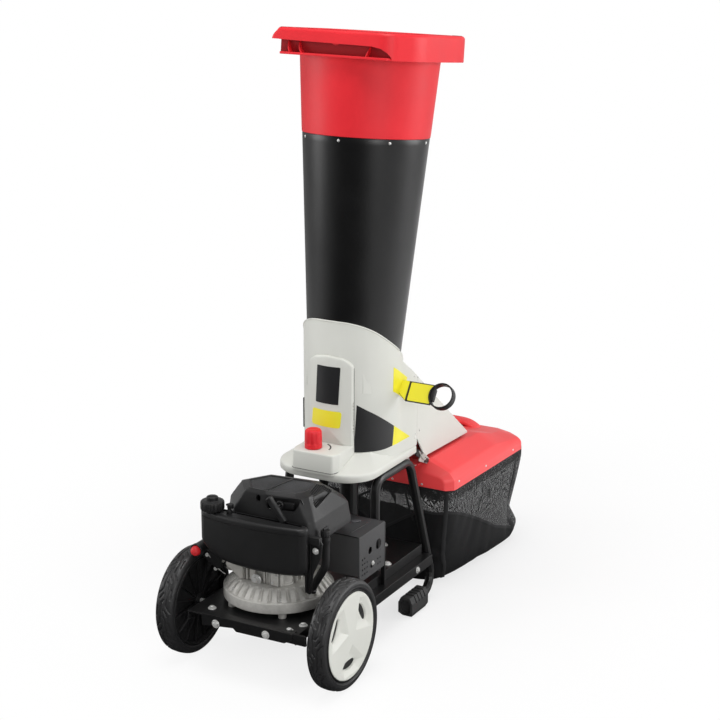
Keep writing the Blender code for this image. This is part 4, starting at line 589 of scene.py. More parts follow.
def revolved(profile: Sequence, steps: int = 64, ripple: Optional[Callable[[Array, Array], Array]] = None) -> Surface:
    """A profile turned about +Z: point (r, z) at angle a is (r sin a, -r cos a, z).

    Args:
        profile: radii and heights. It is closed into a ring unless both ends lie on the axis.
        steps: number of angles.
        ripple: adds to the radius as a function of angle and profile position.

    Returns:
        The surface, whose points on the axis coincide.
    """
    p = np.asarray(profile, float)
    open_ends = p[0, 0] == 0.0 and p[-1, 0] == 0.0
    angle = full_turn(steps)[None, :]
    radius = np.repeat(p[:, :1], steps, 1)
    if ripple is not None:
        radius = radius + ripple(angle, np.arange(len(p))[:, None]) * (p[:, :1] > 0)
    height = np.repeat(p[:, 1:2], steps, 1)
    rings = np.stack([radius * np.sin(angle), -radius * np.cos(angle), height], 2)
    return lofted(rings, caps=False, wrap=not open_ends)


def offset_outline(outline: Array, inset: float) -> Array:
    """A closed outline moved inwards by an inset: each corner along the mitre of its two sides.

    Args:
        outline: corners in counter-clockwise order.
        inset: distance inwards.

    Returns:
        The moved corners.
    """
    ahead = np.roll(outline, -1, 0) - outline
    ahead = ahead / np.maximum(np.linalg.norm(ahead, axis=1, keepdims=True), 1e-9)
    behind = np.roll(ahead, 1, 0)
    normal_a, normal_b = ahead[:, ::-1] * (-1, 1), behind[:, ::-1] * (-1, 1)
    mitre = (normal_a + normal_b) / np.maximum(1.0 + (normal_a * normal_b).sum(1, keepdims=True), 0.25)
    return outline + mitre * inset


def slab(outline: Sequence, low: float, high: float, bevel: float = 0.0, steps: int = 3) -> Surface:
    """An outline extruded along Z with rounded edges: the ring at angle t is inset by bevel (1 - cos t).

    Args:
        outline: corners in counter-clockwise order.
        low: height of its underside.
        high: height of its top.
        bevel: radius of its edges.
        steps: rings of each rounded edge.

    Returns:
        The closed surface.
    """
    flat = np.asarray(outline, float)
    if bevel <= 0.0:
        levels = [(0.0, low), (0.0, high)]
    else:
        t = np.linspace(0.0, math.pi / 2, steps + 1)
        levels = [(bevel * (1 - math.sin(a)), low + bevel * (1 - math.cos(a))) for a in t]
        levels += [(bevel * (1 - math.cos(a)), high - bevel * (1 - math.sin(a))) for a in t]
    rings = [np.column_stack([offset_outline(flat, inset), np.full(len(flat), z)]) for inset, z in levels]
    return lofted(np.array(rings))


def round_outline(corners: Sequence, radii: object, steps: int = 6) -> Array:
    """A polygon with round corners: each corner gives way to an arc that touches both its sides.

    Args:
        corners: the polygon's corners in counter-clockwise order.
        radii: one radius, or one for each corner.
        steps: parts of each arc.

    Returns:
        The outline's points.
    """
    points = np.asarray(corners, float)
    radius = np.broadcast_to(np.asarray(radii, float), (len(points),))
    out = []
    for before, here, after, r in zip(np.roll(points, 1, 0), points, np.roll(points, -1, 0), radius):
        if r <= 0.0:
            out.append(here[None, :])
            continue
        a, b = before - here, after - here
        a, b = a / np.linalg.norm(a), b / np.linalg.norm(b)
        half = math.acos(float(np.clip(a @ b, -1, 1))) / 2
        middle = here + (a + b) / np.linalg.norm(a + b) * r / math.sin(half)
        first, last = here + a * r / math.tan(half) - middle, here + b * r / math.tan(half) - middle
        start = math.atan2(first[1], first[0])
        turn = (math.atan2(last[1], last[0]) - start + math.pi) % TAU - math.pi
        angle = start + turn * np.linspace(0.0, 1.0, steps + 1)
        out.append(middle + r * np.column_stack([np.cos(angle), np.sin(angle)]))
    return np.concatenate(out)


def rounded_slab(corners: Sequence, radii: object, arcs: int, low: float, high: float, bevel: float = 0.0,
                 steps: int = 3) -> Surface:
    """A slab whose outline is a polygon with round corners.

    Args:
        corners: the polygon's corners in counter-clockwise order.
        radii: one radius, or one for each corner.
        arcs: parts of each corner's arc.
        low: height of its underside.
        high: height of its top.
        bevel: radius of its edges.
        steps: rings of each rounded edge.

    Returns:
        The closed surface.
    """
    return slab(round_outline(corners, radii, arcs), low, high, bevel, steps)


def tube(path: Array, radius: object, sides: int = 20, up: Sequence = (0.0, 0.0, 1.0), closed: bool = False,
         caps: bool = True) -> Surface:
    """A round section carried along a path; its frame is the path's direction and a fixed up.

    Args:
        path: points of the centreline.
        radius: one radius, or one for each point.
        sides: sides of the section.
        up: a direction that the path never takes.
        closed: the path's end joins its start.
        caps: close the ends.

    Returns:
        The surface.
    """
    line = np.asarray(path, float)
    ahead = np.roll(line, -1, 0) - np.roll(line, 1, 0) if closed else np.gradient(line, axis=0)
    ahead /= np.linalg.norm(ahead, axis=1, keepdims=True)
    side = np.cross(ahead, np.asarray(up, float))
    side /= np.linalg.norm(side, axis=1, keepdims=True)
    top = np.cross(side, ahead)
    angle = full_turn(sides)[None, :, None]
    reach = np.broadcast_to(np.asarray(radius, float), (len(line),))[:, None, None]
    rings = line[:, None, :] + reach * (np.cos(angle) * side[:, None, :] + np.sin(angle) * top[:, None, :])
    return lofted(rings, caps=caps and not closed, wrap=closed)


def smooth_path(points: Sequence, count: int, closed: bool = False) -> Array:
    """A Catmull-Rom curve through points, read at even parameters.

    Args:
        points: points that the curve passes through.
        count: number of places read.
        closed: the curve returns to its start.

    Returns:
        The places.
    """
    p = np.asarray(points, float)
    spans = len(p) if closed else len(p) - 1
    t = np.linspace(0.0, spans, count, endpoint=not closed)
    k = np.minimum(t.astype(int), spans - 1)
    u = (t - k)[:, None]
    if closed:
        a, b, c, d = (p[(k + shift) % len(p)] for shift in (-1, 0, 1, 2))
    else:
        wide = np.vstack([2 * p[0] - p[1], p, 2 * p[-1] - p[-2]])
        a, b, c, d = (wide[k + shift] for shift in (0, 1, 2, 3))
    return 0.5 * (2 * b + (c - a) * u + (2 * a - 5 * b + 4 * c - d) * u ** 2 + (3 * b - a - 3 * c + d) * u ** 3)


# Pieces

def make_object(name: str, surface: Surface, finish: Finish, smooth: float = 35.0) -> Piece:
    """Turn a surface into an object at the origin, its doubles merged and its faces pointing out.

    Args:
        name: the piece's name.
        surface: its surface, in the frame's coordinates.
        finish: its finish.
        smooth: edges that turn by more than this stay sharp, in degrees.

    Returns:
        The object.
    """
    mesh = bpy.data.meshes.new(name)
    mesh.from_pydata(surface.points.tolist(), [], surface.faces)
    if surface.flat is not None:
        corner = np.zeros(len(mesh.loops), int)
        mesh.loops.foreach_get("vertex_index", corner)
        layer = mesh.uv_layers.new(name="UVMap")
        layer.data.foreach_set("uv", surface.flat[corner].astype(np.float32).ravel())
    else:
        work = bmesh.new()
        work.from_mesh(mesh)
        bmesh.ops.remove_doubles(work, verts=work.verts, dist=1e-6)
        bmesh.ops.recalc_face_normals(work, faces=work.faces)
        work.to_mesh(mesh)
        work.free()
    mesh.materials.append(finish.material())
    mesh.shade_smooth()
    mesh.set_sharp_from_angle(angle=math.radians(smooth))
    obj = bpy.data.objects.new(name, mesh)
    bpy.context.scene.collection.objects.link(obj)
    return obj


def add_modifier(obj: Piece, kind: str, **settings: object) -> bpy.types.Modifier:
    """Add a modifier with its settings."""
    modifier = obj.modifiers.new(kind.lower(), kind)
    for label, value in settings.items():
        setattr(modifier, label, value)
    return modifier


def soften(obj: Piece, width: float, angle: float = 32.0, segments: int = 2) -> Piece:
    """Round an object's sharp edges with a narrow bevel, after its loose triangles are welded."""
    add_modifier(obj, "WELD", merge_threshold=0.00001)
    add_modifier(obj, "BEVEL", width=width, segments=segments, limit_method="ANGLE",
                 angle_limit=math.radians(angle), harden_normals=True, miter_outer="MITER_ARC")
    return obj


def node_copy(machine: Machine, node: str, name: str, finish: Finish, bevel: float = 0.0, angle: float = 32.0) -> Piece:
    """A finer stand-in for a frame node: its triangles merged into faces, its edges rounded.

    Args:
        machine: where the nodes are.
        node: the node's name.
        name: the new piece's name.
        finish: its finish.
        bevel: radius of its rounded edges.
        angle: edges that turn by more than this are rounded, in degrees.

    Returns:
        The piece, which replaces the node.
    """
    mesh = machine.nodes[node].data.copy()
    mesh.name = name
    work = bmesh.new()
    work.from_mesh(mesh)
    bmesh.ops.remove_doubles(work, verts=work.verts, dist=1e-5)
    bmesh.ops.dissolve_limit(work, angle_limit=math.radians(0.5), verts=work.verts, edges=work.edges)
    work.to_mesh(mesh)
    work.free()
    mesh.materials.clear()
    mesh.materials.append(finish.material())
    mesh.shade_smooth()
    mesh.set_sharp_from_angle(angle=math.radians(angle))
    obj = bpy.data.objects.new(name, mesh)
    bpy.context.scene.collection.objects.link(obj)
    if bevel > 0.0:
        add_modifier(obj, "BEVEL", width=bevel, segments=3, limit_method="ANGLE",
                     angle_limit=math.radians(angle), harden_normals=False)
    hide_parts(node)
    return obj


@dataclass
class SubAssembly:
    """A group of pieces that is built together.

    Attributes:
        machine: where the frame's nodes are.
    """

    machine: Machine

    @property
    def home(self) -> Matrix:
        """The move from the machine's own coordinates to the frame's."""
        return Matrix.Translation(self.machine.shift)

    def rough(self, name: str, surface: Surface, finish: Finish, smooth: float = 35.0) -> Piece:
        """An object from a surface in the machine's own coordinates, before it is cut or seated."""
        return make_object(name, surface.moved(self.home), finish, smooth)

    def put(self, name: str, surface: Surface, finish: Finish, body: str = "machine", smooth: float = 35.0,
            replaces: Sequence = ()) -> Piece:
        """Add a piece that is given in the machine's own coordinates.

        Args:
            name: the piece's name.
            surface: its surface.
            finish: its finish.
            body: the body that it rides on.
            smooth: edges that turn by more than this stay sharp, in degrees.
            replaces: frame nodes that it stands for.

        Returns:
            The piece.
        """
        return self.seat(self.rough(name, surface, finish, smooth), finish, body, replaces)

    def seat(self, obj: Piece, finish: Finish, body: str, replaces: Sequence = ()) -> Piece:
        """Let a finished object ride on its body."""
        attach(obj, body)
        if replaces:
            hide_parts(*replaces)
        LOG.info("%s rides on %s", obj.name, body)
        return obj

    def dress(self, nodes: Sequence[str], finish: Finish, bevel: float = 0.0) -> None:
        """Give frame nodes that stay in view their finish and narrow round edges."""
        for name in nodes:
            node = self.machine.nodes[name]
            node.data.materials.clear()
            node.data.materials.append(finish.material())
            if bevel > 0.0:
                soften(node, bevel)
            LOG.info("%s dressed as %s", name, finish.name)


# Places and small hardware

def turn_to(axis: Sequence, place: Sequence = (0.0, 0.0, 0.0), roll: float = 0.0) -> Matrix:
    """A matrix that turns +Z to an axis and moves the origin to a place.

    Args:
        axis: the direction that +Z becomes.
        place: where the origin goes.
        roll: a turn about +Z before that, in degrees.

    Returns:
        The matrix.
    """
    turned = Vector(axis).to_track_quat("Z", "Y").to_matrix().to_4x4()
    return Matrix.Translation(Vector(place)) @ turned @ Matrix.Rotation(math.radians(roll), 4, "Z")


def ring_outline(sides: int, radius: float, start: float = 0.0) -> Array:
    """Corners of a regular polygon: corner k stands at start + k turns / sides."""
    angle = math.radians(start) + full_turn(sides)
    return radius * np.column_stack([np.cos(angle), np.sin(angle)])


def hex_bolt(size: float) -> Surface:
    """A bolt head that stands on z = 0: a hexagon with a domed top on a round washer.

    Args:
        size: radius of the hexagon's corners.

    Returns:
        The surface.
    """
    washer = 1.55
    head = slab(ring_outline(6, size), size * 0.22, size * 0.86, size * 0.1, 2)
    dome = revolved([(0.0, size * 0.8), (size * 0.8, size * 0.8), (size * 0.62, size * 0.96), (0.0, size * 1.0)], 20)
    disc = revolved([(0.0, 0.0), (size * washer, 0.0), (size * washer, size * 0.16),
                     (size * (washer - 0.08), size * 0.24), (0.0, size * 0.24)], 24)
    return joined(head, dome, disc)


def rivet(size: float) -> Surface:
    """A domed rivet head on z = 0: its profile is a quarter of an ellipse."""
    t = np.linspace(0.0, math.pi / 2, 7)
    dome = list(zip((size * np.cos(t)).tolist(), (0.55 * size * np.sin(t)).tolist()))
    dome[-1] = (0.0, 0.55 * size)
    return revolved([(0.0, -0.2 * size), (size, -0.2 * size)] + dome, 20)


def cross_screw(size: float) -> Surface:
    """A pan-head screw on z = 0 with a cross recess, whose arms dip by a tenth of the size."""
    steps, rings = 32, np.array([1.0, 1.0, 0.93, 0.72, 0.5, 0.3, 0.12])
    rise = size * np.array([-0.2, 0.25, 0.42, 0.52, 0.55, 0.56, 0.56])
    angle = full_turn(steps)[None, :]
    arm = np.exp(-(np.sin(2 * angle) / 0.5) ** 2)
    dip = np.where(rings[:, None] < 0.6, 0.28 * size * arm, 0.0)
    points = np.stack([size * rings[:, None] * np.cos(angle), size * rings[:, None] * np.sin(angle),
                       np.broadcast_to(rise[:, None], (7, steps)) - dip], 2)
    return lofted(points)


def scattered(shape: Surface, matrices: Sequence[Matrix]) -> Surface:
    """Copies of one shape, one for each matrix."""
    return joined(*(shape.moved(m) for m in matrices))


def smooth_step(value: Array, low: float, high: float) -> Array:
    """The cubic 3t^2 - 2t^3 of t, which runs from 0 at low to 1 at high."""
    t = np.clip((value - low) / (high - low), 0.0, 1.0)
    return t * t * (3.0 - 2.0 * t)


def segment_distance(points: Array, first: Sequence, second: Sequence) -> Array:
    """Distance of points in a plane from a segment: the part along it is clamped to its length."""
    a, b = np.asarray(first, float), np.asarray(second, float)
    share = np.clip(((points - a) @ (b - a)) / ((b - a) @ (b - a)), 0.0, 1.0)[..., None]
    return np.linalg.norm(points - a - share * (b - a), axis=-1)


def polygon_depth(points: Array, corners: Sequence) -> Array:
    """How far points lie inside a convex polygon: the least distance behind any side's line."""
    shape = np.asarray(corners, float)
    ahead = np.roll(shape, -1, 0) - shape
    inward = ahead[:, ::-1] * (-1, 1) / np.linalg.norm(ahead, axis=1, keepdims=True)
    offsets = (shape * inward).sum(1)
    return (points @ inward.T - offsets).min(-1)


def chord(corners: Sequence, point: Sequence, direction: Sequence) -> tuple[float, float]:
    """Where a line crosses a convex polygon, as distances from the point along the direction."""
    shape = np.asarray(corners, float)
    ahead = np.roll(shape, -1, 0) - shape
    inward = ahead[:, ::-1] * (-1, 1)
    start = ((np.asarray(point, float) - shape) * inward).sum(1)
    speed = inward @ np.asarray(direction, float)
    cross = -start / np.where(np.abs(speed) < 1e-12, 1e-12, speed)
    return float(cross[speed > 0].max(initial=-9.0)), float(cross[speed < 0].min(initial=9.0))


def filled(outline: Array, step: float) -> Array:
    """The same closed outline with points added on its long sides, so that none is longer than a step."""
    parts = []
    for start, way in zip(outline, np.roll(outline, -1, 0) - outline):
        count = max(1, math.ceil(float(np.hypot(*way)) / step))
        parts.append(start + way * np.linspace(0.0, 1.0, count, endpoint=False)[:, None])
    return np.vstack(parts)


def sheet(rows: Array, inner: Array) -> Surface:
    """A closed sheet between two grids of points of the same size: an outer face, an inner face and its edges."""
    return lofted(np.concatenate([rows, inner[:, ::-1]], 1))


def stood(surface: Surface, place: Sequence = (0.0, 0.0, 0.0)) -> Surface:
    """A slab stood up: its plan lies in X and Z, and its height runs towards -Y from the place."""
    return surface.moved(Matrix.Translation(Vector(place)) @ Matrix.Rotation(math.pi / 2, 4, "X"))


def sided(surface: Surface, place: Sequence = (0.0, 0.0, 0.0)) -> Surface:
    """A slab turned sideways: its plan lies in Y and Z, and its height runs towards +X from the place."""
    rows = ((0.0, 0.0, 1.0, place[0]), (1.0, 0.0, 0.0, place[1]), (0.0, 1.0, 0.0, place[2]), (0.0, 0.0, 0.0, 1.0))
    return surface.moved(Matrix(rows))


def block(low: Sequence, high: Sequence, bevel: float = 0.0008) -> Surface:
    """A box between two corners with rounded edges."""
    outline = [(low[0], low[1]), (high[0], low[1]), (high[0], high[1]), (low[0], high[1])]
    return slab(outline, low[2], high[2], bevel, 2)


def carve(obj: Piece, cuts: Sequence[Surface], bevel: float = 0.0, angle: float = 32.0, solver: str = "FAST") -> Piece:
    """Cut surfaces out of an object, keep the result and round its edges.

    Args:
        obj: the object.
        cuts: closed surfaces in the object's coordinates.
        bevel: radius of the rounded edges.
        angle: edges that turn by more than this are rounded, in degrees.
        solver: Blender's boolean solver.

    Returns:
        The object.
    """
    tools = []
    for number, surface in enumerate(cuts):
        tool = make_object("cut_%d" % number, surface, BLACK)
        add_modifier(obj, "BOOLEAN", object=tool, operation="DIFFERENCE", solver=solver)
        tools.append(tool)
    graph = bpy.context.evaluated_depsgraph_get()
    mesh = bpy.data.meshes.new_from_object(obj.evaluated_get(graph))
    obj.modifiers.clear()
    mesh.name = obj.name
    material = obj.data.materials[0]
    obj.data = mesh
    mesh.materials.clear()
    mesh.materials.append(material)
    mesh.shade_smooth()
    mesh.set_sharp_from_angle(angle=math.radians(angle))
    for tool in tools:
        bpy.data.objects.remove(tool)
    if bevel > 0.0:
        add_modifier(obj, "BEVEL", width=bevel, segments=2, limit_method="ANGLE", angle_limit=math.radians(angle),
                     harden_normals=True, miter_outer="MITER_ARC")
    return obj


@dataclass
class Chassis(SubAssembly):
    """Decks, rails, hoops, feet, guard and the two wheels.

    Attributes:
        wheel_radius: radius of a tyre.
        wheel_face: outer side of a wheel, in x.
        wheel_width: width of a tyre.
        rim_radius: radius of the wheel's core.
        cover_radius: radius of the light cover on the wheel's outer side.
        pocket_depth: depth of the cover's three pockets.
        slot_depth: depth of the dark slot in each pocket.
        tread_cells: times that the tread's pattern repeats.
        groove_depth: depth of the tread's grooves.
    """

    wheel_radius: float = 0.125
    wheel_face: float = 0.219
    wheel_width: float = 0.046
    rim_radius: float = 0.1035
    cover_radius: float = 0.099
    pocket_depth: float = 0.0095
    slot_depth: float = 0.02
    tread_cells: int = 10
    groove_depth: float = 0.0026

    def build(self) -> None:
        """Build and dress every piece."""
        self.dress(["deck", "belt_guard", "front_crossbar", "left_rail", "right_rail", "guard_post", "cutter_deck",
                    "bearing_housing", "left_frame_hoop", "right_frame_hoop"], POWDER, 0.0006)
        self.dress(["muffler_guard"], GUARD_PAINT, 0.0006)
        self.dress(["left_foot", "right_foot"], RUBBER, 0.0008)
        self.dress(["wheel_axle"], STEEL, 0.0005)
        for side, name in ((-1, "left"), (1, "right")):
            self.wheel(side, name)
        self.hardware()

    def wheel_matrix(self, side: int) -> Matrix:
        """From a wheel's own (back or front, up, outwards) to the machine's coordinates."""
        rows = ((0.0, 0.0, side, side * self.wheel_face), (side, 0.0, 0.0, 0.0),
                (0.0, 1.0, 0.0, self.wheel_radius), (0.0, 0.0, 0.0, 1.0))
        return Matrix(rows)

    def wheel(self, side: int, name: str) -> None:
        """One wheel: tyre, black core with ribs, light cover and the dark floors of its slots.

        Args:
            side: 1 on the machine's right, -1 on its left.
            name: the wheel's name, left or right.
        """
        place, body = self.wheel_matrix(side), name + "_wheel"
        self.put(name + "_tyre_tread", self.tyre().moved(place), TYRE_RUBBER, body, 40.0, [name + "_tyre"])
        self.put(name + "_wheel_core", self.core().moved(place), BLACK, body, 35.0)
        self.put(name + "_wheel_cover", self.cover().moved(place), GREY, body, 40.0, [name + "_wheel_hub"])
        self.put(name + "_wheel_slots", self.slot_floors().moved(place), BLACK, body)

    def tyre(self) -> Surface:
        """The tyre: a rounded section turned about the axle, less the grooves of its tread.

        A point's depth in the tread falls off smoothly with its distance from the nearest groove
        line, measured on the tread unrolled flat; the pattern repeats round the tyre and is
        mirrored, half a cell on, across its middle.

        Returns:
            The surface, in the wheel's coordinates.
        """
        half, bead = self.wheel_width / 2, self.rim_radius + 0.0003
        knots = [(bead, 0.018), (bead + 0.0012, 0.0212), (0.1078, 0.0224), (0.1087, 0.0231), (0.1096, 0.0225),
                 (0.115, 0.0227), (0.1195, 0.0208), (0.1228, 0.0166), (0.1244, 0.0095), (0.125, 0.0)]
        knots = knots + [(r, -w) for r, w in knots[-2::-1]]
        section = smooth_path(knots, 104)
        inner = [(bead, w) for w in np.linspace(-0.015, 0.015, 6)]
        section = np.vstack([section, inner])
        section[:, 0] = np.clip(section[:, 0], bead, self.wheel_radius)
        steps = 460
        angle = full_turn(steps)[None, :]
        cell = TAU / self.tread_cells
        length = cell * self.wheel_radius
        depth = np.zeros((len(section), steps))
        lines = (((0.004, 0.0055), (0.05, 0.007)), ((0.05, 0.007), (0.064, 0.018)),
                 ((0.06, 0.003), (0.073, 0.011)), ((0.012, 0.0145), (0.034, 0.016)),
                 ((0.004, 0.0055), (-0.004, 0.0000)))
        across = np.broadcast_to(section[:, 1:2], (len(section), steps))
        for mirror, offset in ((1, 0.0), (-1, 0.5)):
            along = np.broadcast_to(((angle / cell + offset) % 1.0) * length, across.shape)
            for shift in (-length, 0.0, length):
                spots = np.stack([along + shift, across * mirror], -1)
                for first, second in lines:
                    near = segment_distance(spots, first, second)
                    depth = np.maximum(depth, 1.0 - smooth_step(near, 0.0009, 0.0025))
        tread = smooth_step(section[:, :1], 0.1165, 0.1205)
        radius = section[:, :1] - self.groove_depth * depth * tread
        rings = np.stack([radius * np.sin(angle), radius * np.cos(angle),
                          np.broadcast_to(section[:, 1:2] - half, radius.shape)], 2)
        return lofted(rings, caps=False, wrap=True)

    def pocket_spots(self, radius: Array, angle: Array) -> Array:
        """Each point's place in the frame of its nearest pocket, whose middle lies along +Y.

        Pockets stand at 60, 180 and 300 degrees from the wheel's top, so the angle is taken from
        the nearest of them.
        """
        third = TAU / 3
        local = (angle + third / 2) % third - third / 2
        return np.stack([radius * np.sin(local), radius * np.cos(local)], -1)

    def cover(self) -> Surface:
        """The wheel's light cover: a slightly domed disc with three pockets and a slot in each.

        The front's height is a dome less a smooth ramp of the depth inside the pocket's rounded
        triangle, and less a steep ramp inside the slot's leaf. The back is the same, lower.

        Returns:
            The closed surface, in the wheel's coordinates.
        """
        steps = 300
        reach = np.concatenate([np.linspace(0.0, self.cover_radius - 0.002, 74),
                                self.cover_radius - 0.002 * (1 - np.sin(np.linspace(0.2, math.pi / 2, 5)))])
        edge = np.concatenate([np.zeros(74), 0.002 * (1 - np.cos(np.linspace(0.2, math.pi / 2, 5)))])
        angle = full_turn(steps)[None, :]
        radius = np.broadcast_to(reach[:, None], (len(reach), steps))
        front = 0.0018 * (1 - (radius / self.cover_radius) ** 2) - edge[:, None]
        spots = self.pocket_spots(radius, angle - TAU / 6)
        inside = polygon_depth(spots, ((0.0, 0.018), (0.052, 0.07), (0.03, 0.09), (-0.03, 0.09), (-0.052, 0.07)))
        start, end = -0.01, 0.021
        slope = smooth_step(np.clip(inside, 0.0, None), start, end) - float(smooth_step(np.array(0.0), start, end))
        slope = np.where(inside > 0.0, slope / 0.76, 0.0)
        leaf = 1.0 - np.hypot(spots[..., 0] / 0.029, (spots[..., 1] - 0.069 + 2.0 * spots[..., 0] ** 2) / 0.0098)
        front = front - self.pocket_depth * slope
        front = front - (self.slot_depth - self.pocket_depth) * smooth_step(leaf, 0.0, 0.3)
        rings = np.stack([radius * np.sin(angle), radius * np.cos(angle), front], 2)
        back = rings[::-1] - np.array((0.0, 0.0, 0.0026))
        return lofted(np.concatenate([rings, back]), caps=False)

    def slot_floors(self) -> Surface:
        """Black floors in the cover's three slots: leaf-shaped slabs just above their bottoms."""
        t = full_turn(28)
        leaf = np.column_stack([0.0282 * np.cos(t), 0.069 + 0.0092 * np.sin(t) - 2.0 * (0.0282 * np.cos(t)) ** 2])
        floor = slab(leaf, -self.pocket_depth - 0.006, -self.pocket_depth - 0.0012, 0.0004, 1)
        return scattered(floor, [Matrix.Rotation(-math.radians(a), 4, "Z") for a in (60, 180, 300)])

    def core(self) -> Surface:
        """The wheel's black core: a drum, a plate and a hub, all one profile, and radial ribs."""
        back, edge = -0.0445, self.rim_radius
        profile = [(edge, back + 0.001), (edge, -0.0022), (edge - 0.0012, -0.001), (edge - 0.0036, -0.001),
                   (edge - 0.0042, -0.003), (edge - 0.0042, -0.03), (0.02, -0.0315), (0.019, -0.008),
                   (0.0065, -0.008), (0.0065, back), (0.0165, back), (0.018, back + 0.0012),
                   (0.019, -0.035), (edge - 0.008, -0.034), (edge - 0.0045, back + 0.001),
                   (edge - 0.003, back)]
        drum = revolved(profile, 96)
        rib = slab([(-0.0011, 0.0185), (0.0011, 0.0185), (0.0014, edge - 0.0045), (-0.0014, edge - 0.0045)],
                   back + 0.003, -0.0338, 0.0005, 2)
        ribs = scattered(rib, [Matrix.Rotation(TAU * k / 15, 4, "Z") for k in range(15)])
        return joined(drum, ribs)

    def hardware(self) -> None:
        """Bolts of the front bar, deck and rails, a block at the bar's right end and weld beads at the posts."""
        front = -0.1086
        bolts = [turn_to((0, -1, 0), (x, front, z), roll) for x, z, roll in
                 ((-0.0636, 0.1349, 12.0), (0.0655, 0.1378, 40.0))]
        bolts += [turn_to((0, 0, 1), (x, y, 0.15), roll) for x, y, roll in
                  ((-0.098, -0.07, 5.0), (0.113, -0.088, 25.0), (0.126, -0.05, 50.0), (-0.125, 0.2, 8.0),
                   (0.125, 0.34, 30.0), (-0.125, 0.34, 15.0), (0.062, 0.44, 0.0), (-0.062, 0.44, 20.0))]
        self.put("bar_end", block((0.104, -0.106, 0.13), (0.164, -0.1, 0.154), 0.0008), POWDER)
        self.put("deck_bolts", scattered(hex_bolt(0.0062), bolts), STEEL)
        rail = [turn_to((side, 0, 0), (side * 0.16385, y, 0.113), 10.0) for side in (-1, 1) for y in (0.19, 0.42)]
        self.put("rail_bolts", scattered(hex_bolt(0.0052), rail), STEEL)
        t = full_turn(60)
        bead = 0.0017 + 0.0005 * np.sin(11 * t)
        loop = np.column_stack([0.0114 * np.cos(t), 0.0114 * np.sin(t), np.zeros(60)])
        ring = tube(loop, bead, 10, closed=True)
        posts = [Matrix.Translation((side * 0.1155, 0.296, 0.1512)) for side in (-1, 1)]
        self.put("post_weld_beads", scattered(ring, posts), POWDER)


# Corners of the cowling at four heights, counter-clockwise from the front's left end
COWL_PLANS = ((0.423, 0.007, ((-0.041, 0.001), (0.002, 0.000), (0.067, 0.018), (0.082, 0.036), (0.09, 0.0895),
                              (0.06, 0.1055), (-0.041, 0.096), (-0.073, 0.045))),
              (0.4155, 0.01, ((-0.052, -0.003), (0.004, -0.004), (0.08, 0.004), (0.098, 0.026), (0.104, 0.098),
                              (0.066, 0.127), (-0.052, 0.112), (-0.092, 0.048))),
              (0.372, 0.015, ((-0.074, -0.0115), (0.01, -0.0126), (0.114, -0.0126), (0.126, 0.002), (0.126, 0.15),
                              (0.095, 0.181), (-0.08, 0.181), (-0.128, 0.06))),
              (0.322, 0.017, ((-0.078, -0.0135), (0.01, -0.0145), (0.116, -0.0145), (0.13, 0.000), (0.13, 0.155),
                              (0.098, 0.188), (-0.084, 0.188), (-0.134, 0.06))))
# The side grille's corners on the cowling's right slope, seen square to it
GRILLE = ((-0.047, -0.0177), (0.05, 0.000), (0.028, 0.0184), (0.013, 0.029), (-0.027, 0.0221), (-0.045, -0.0057))


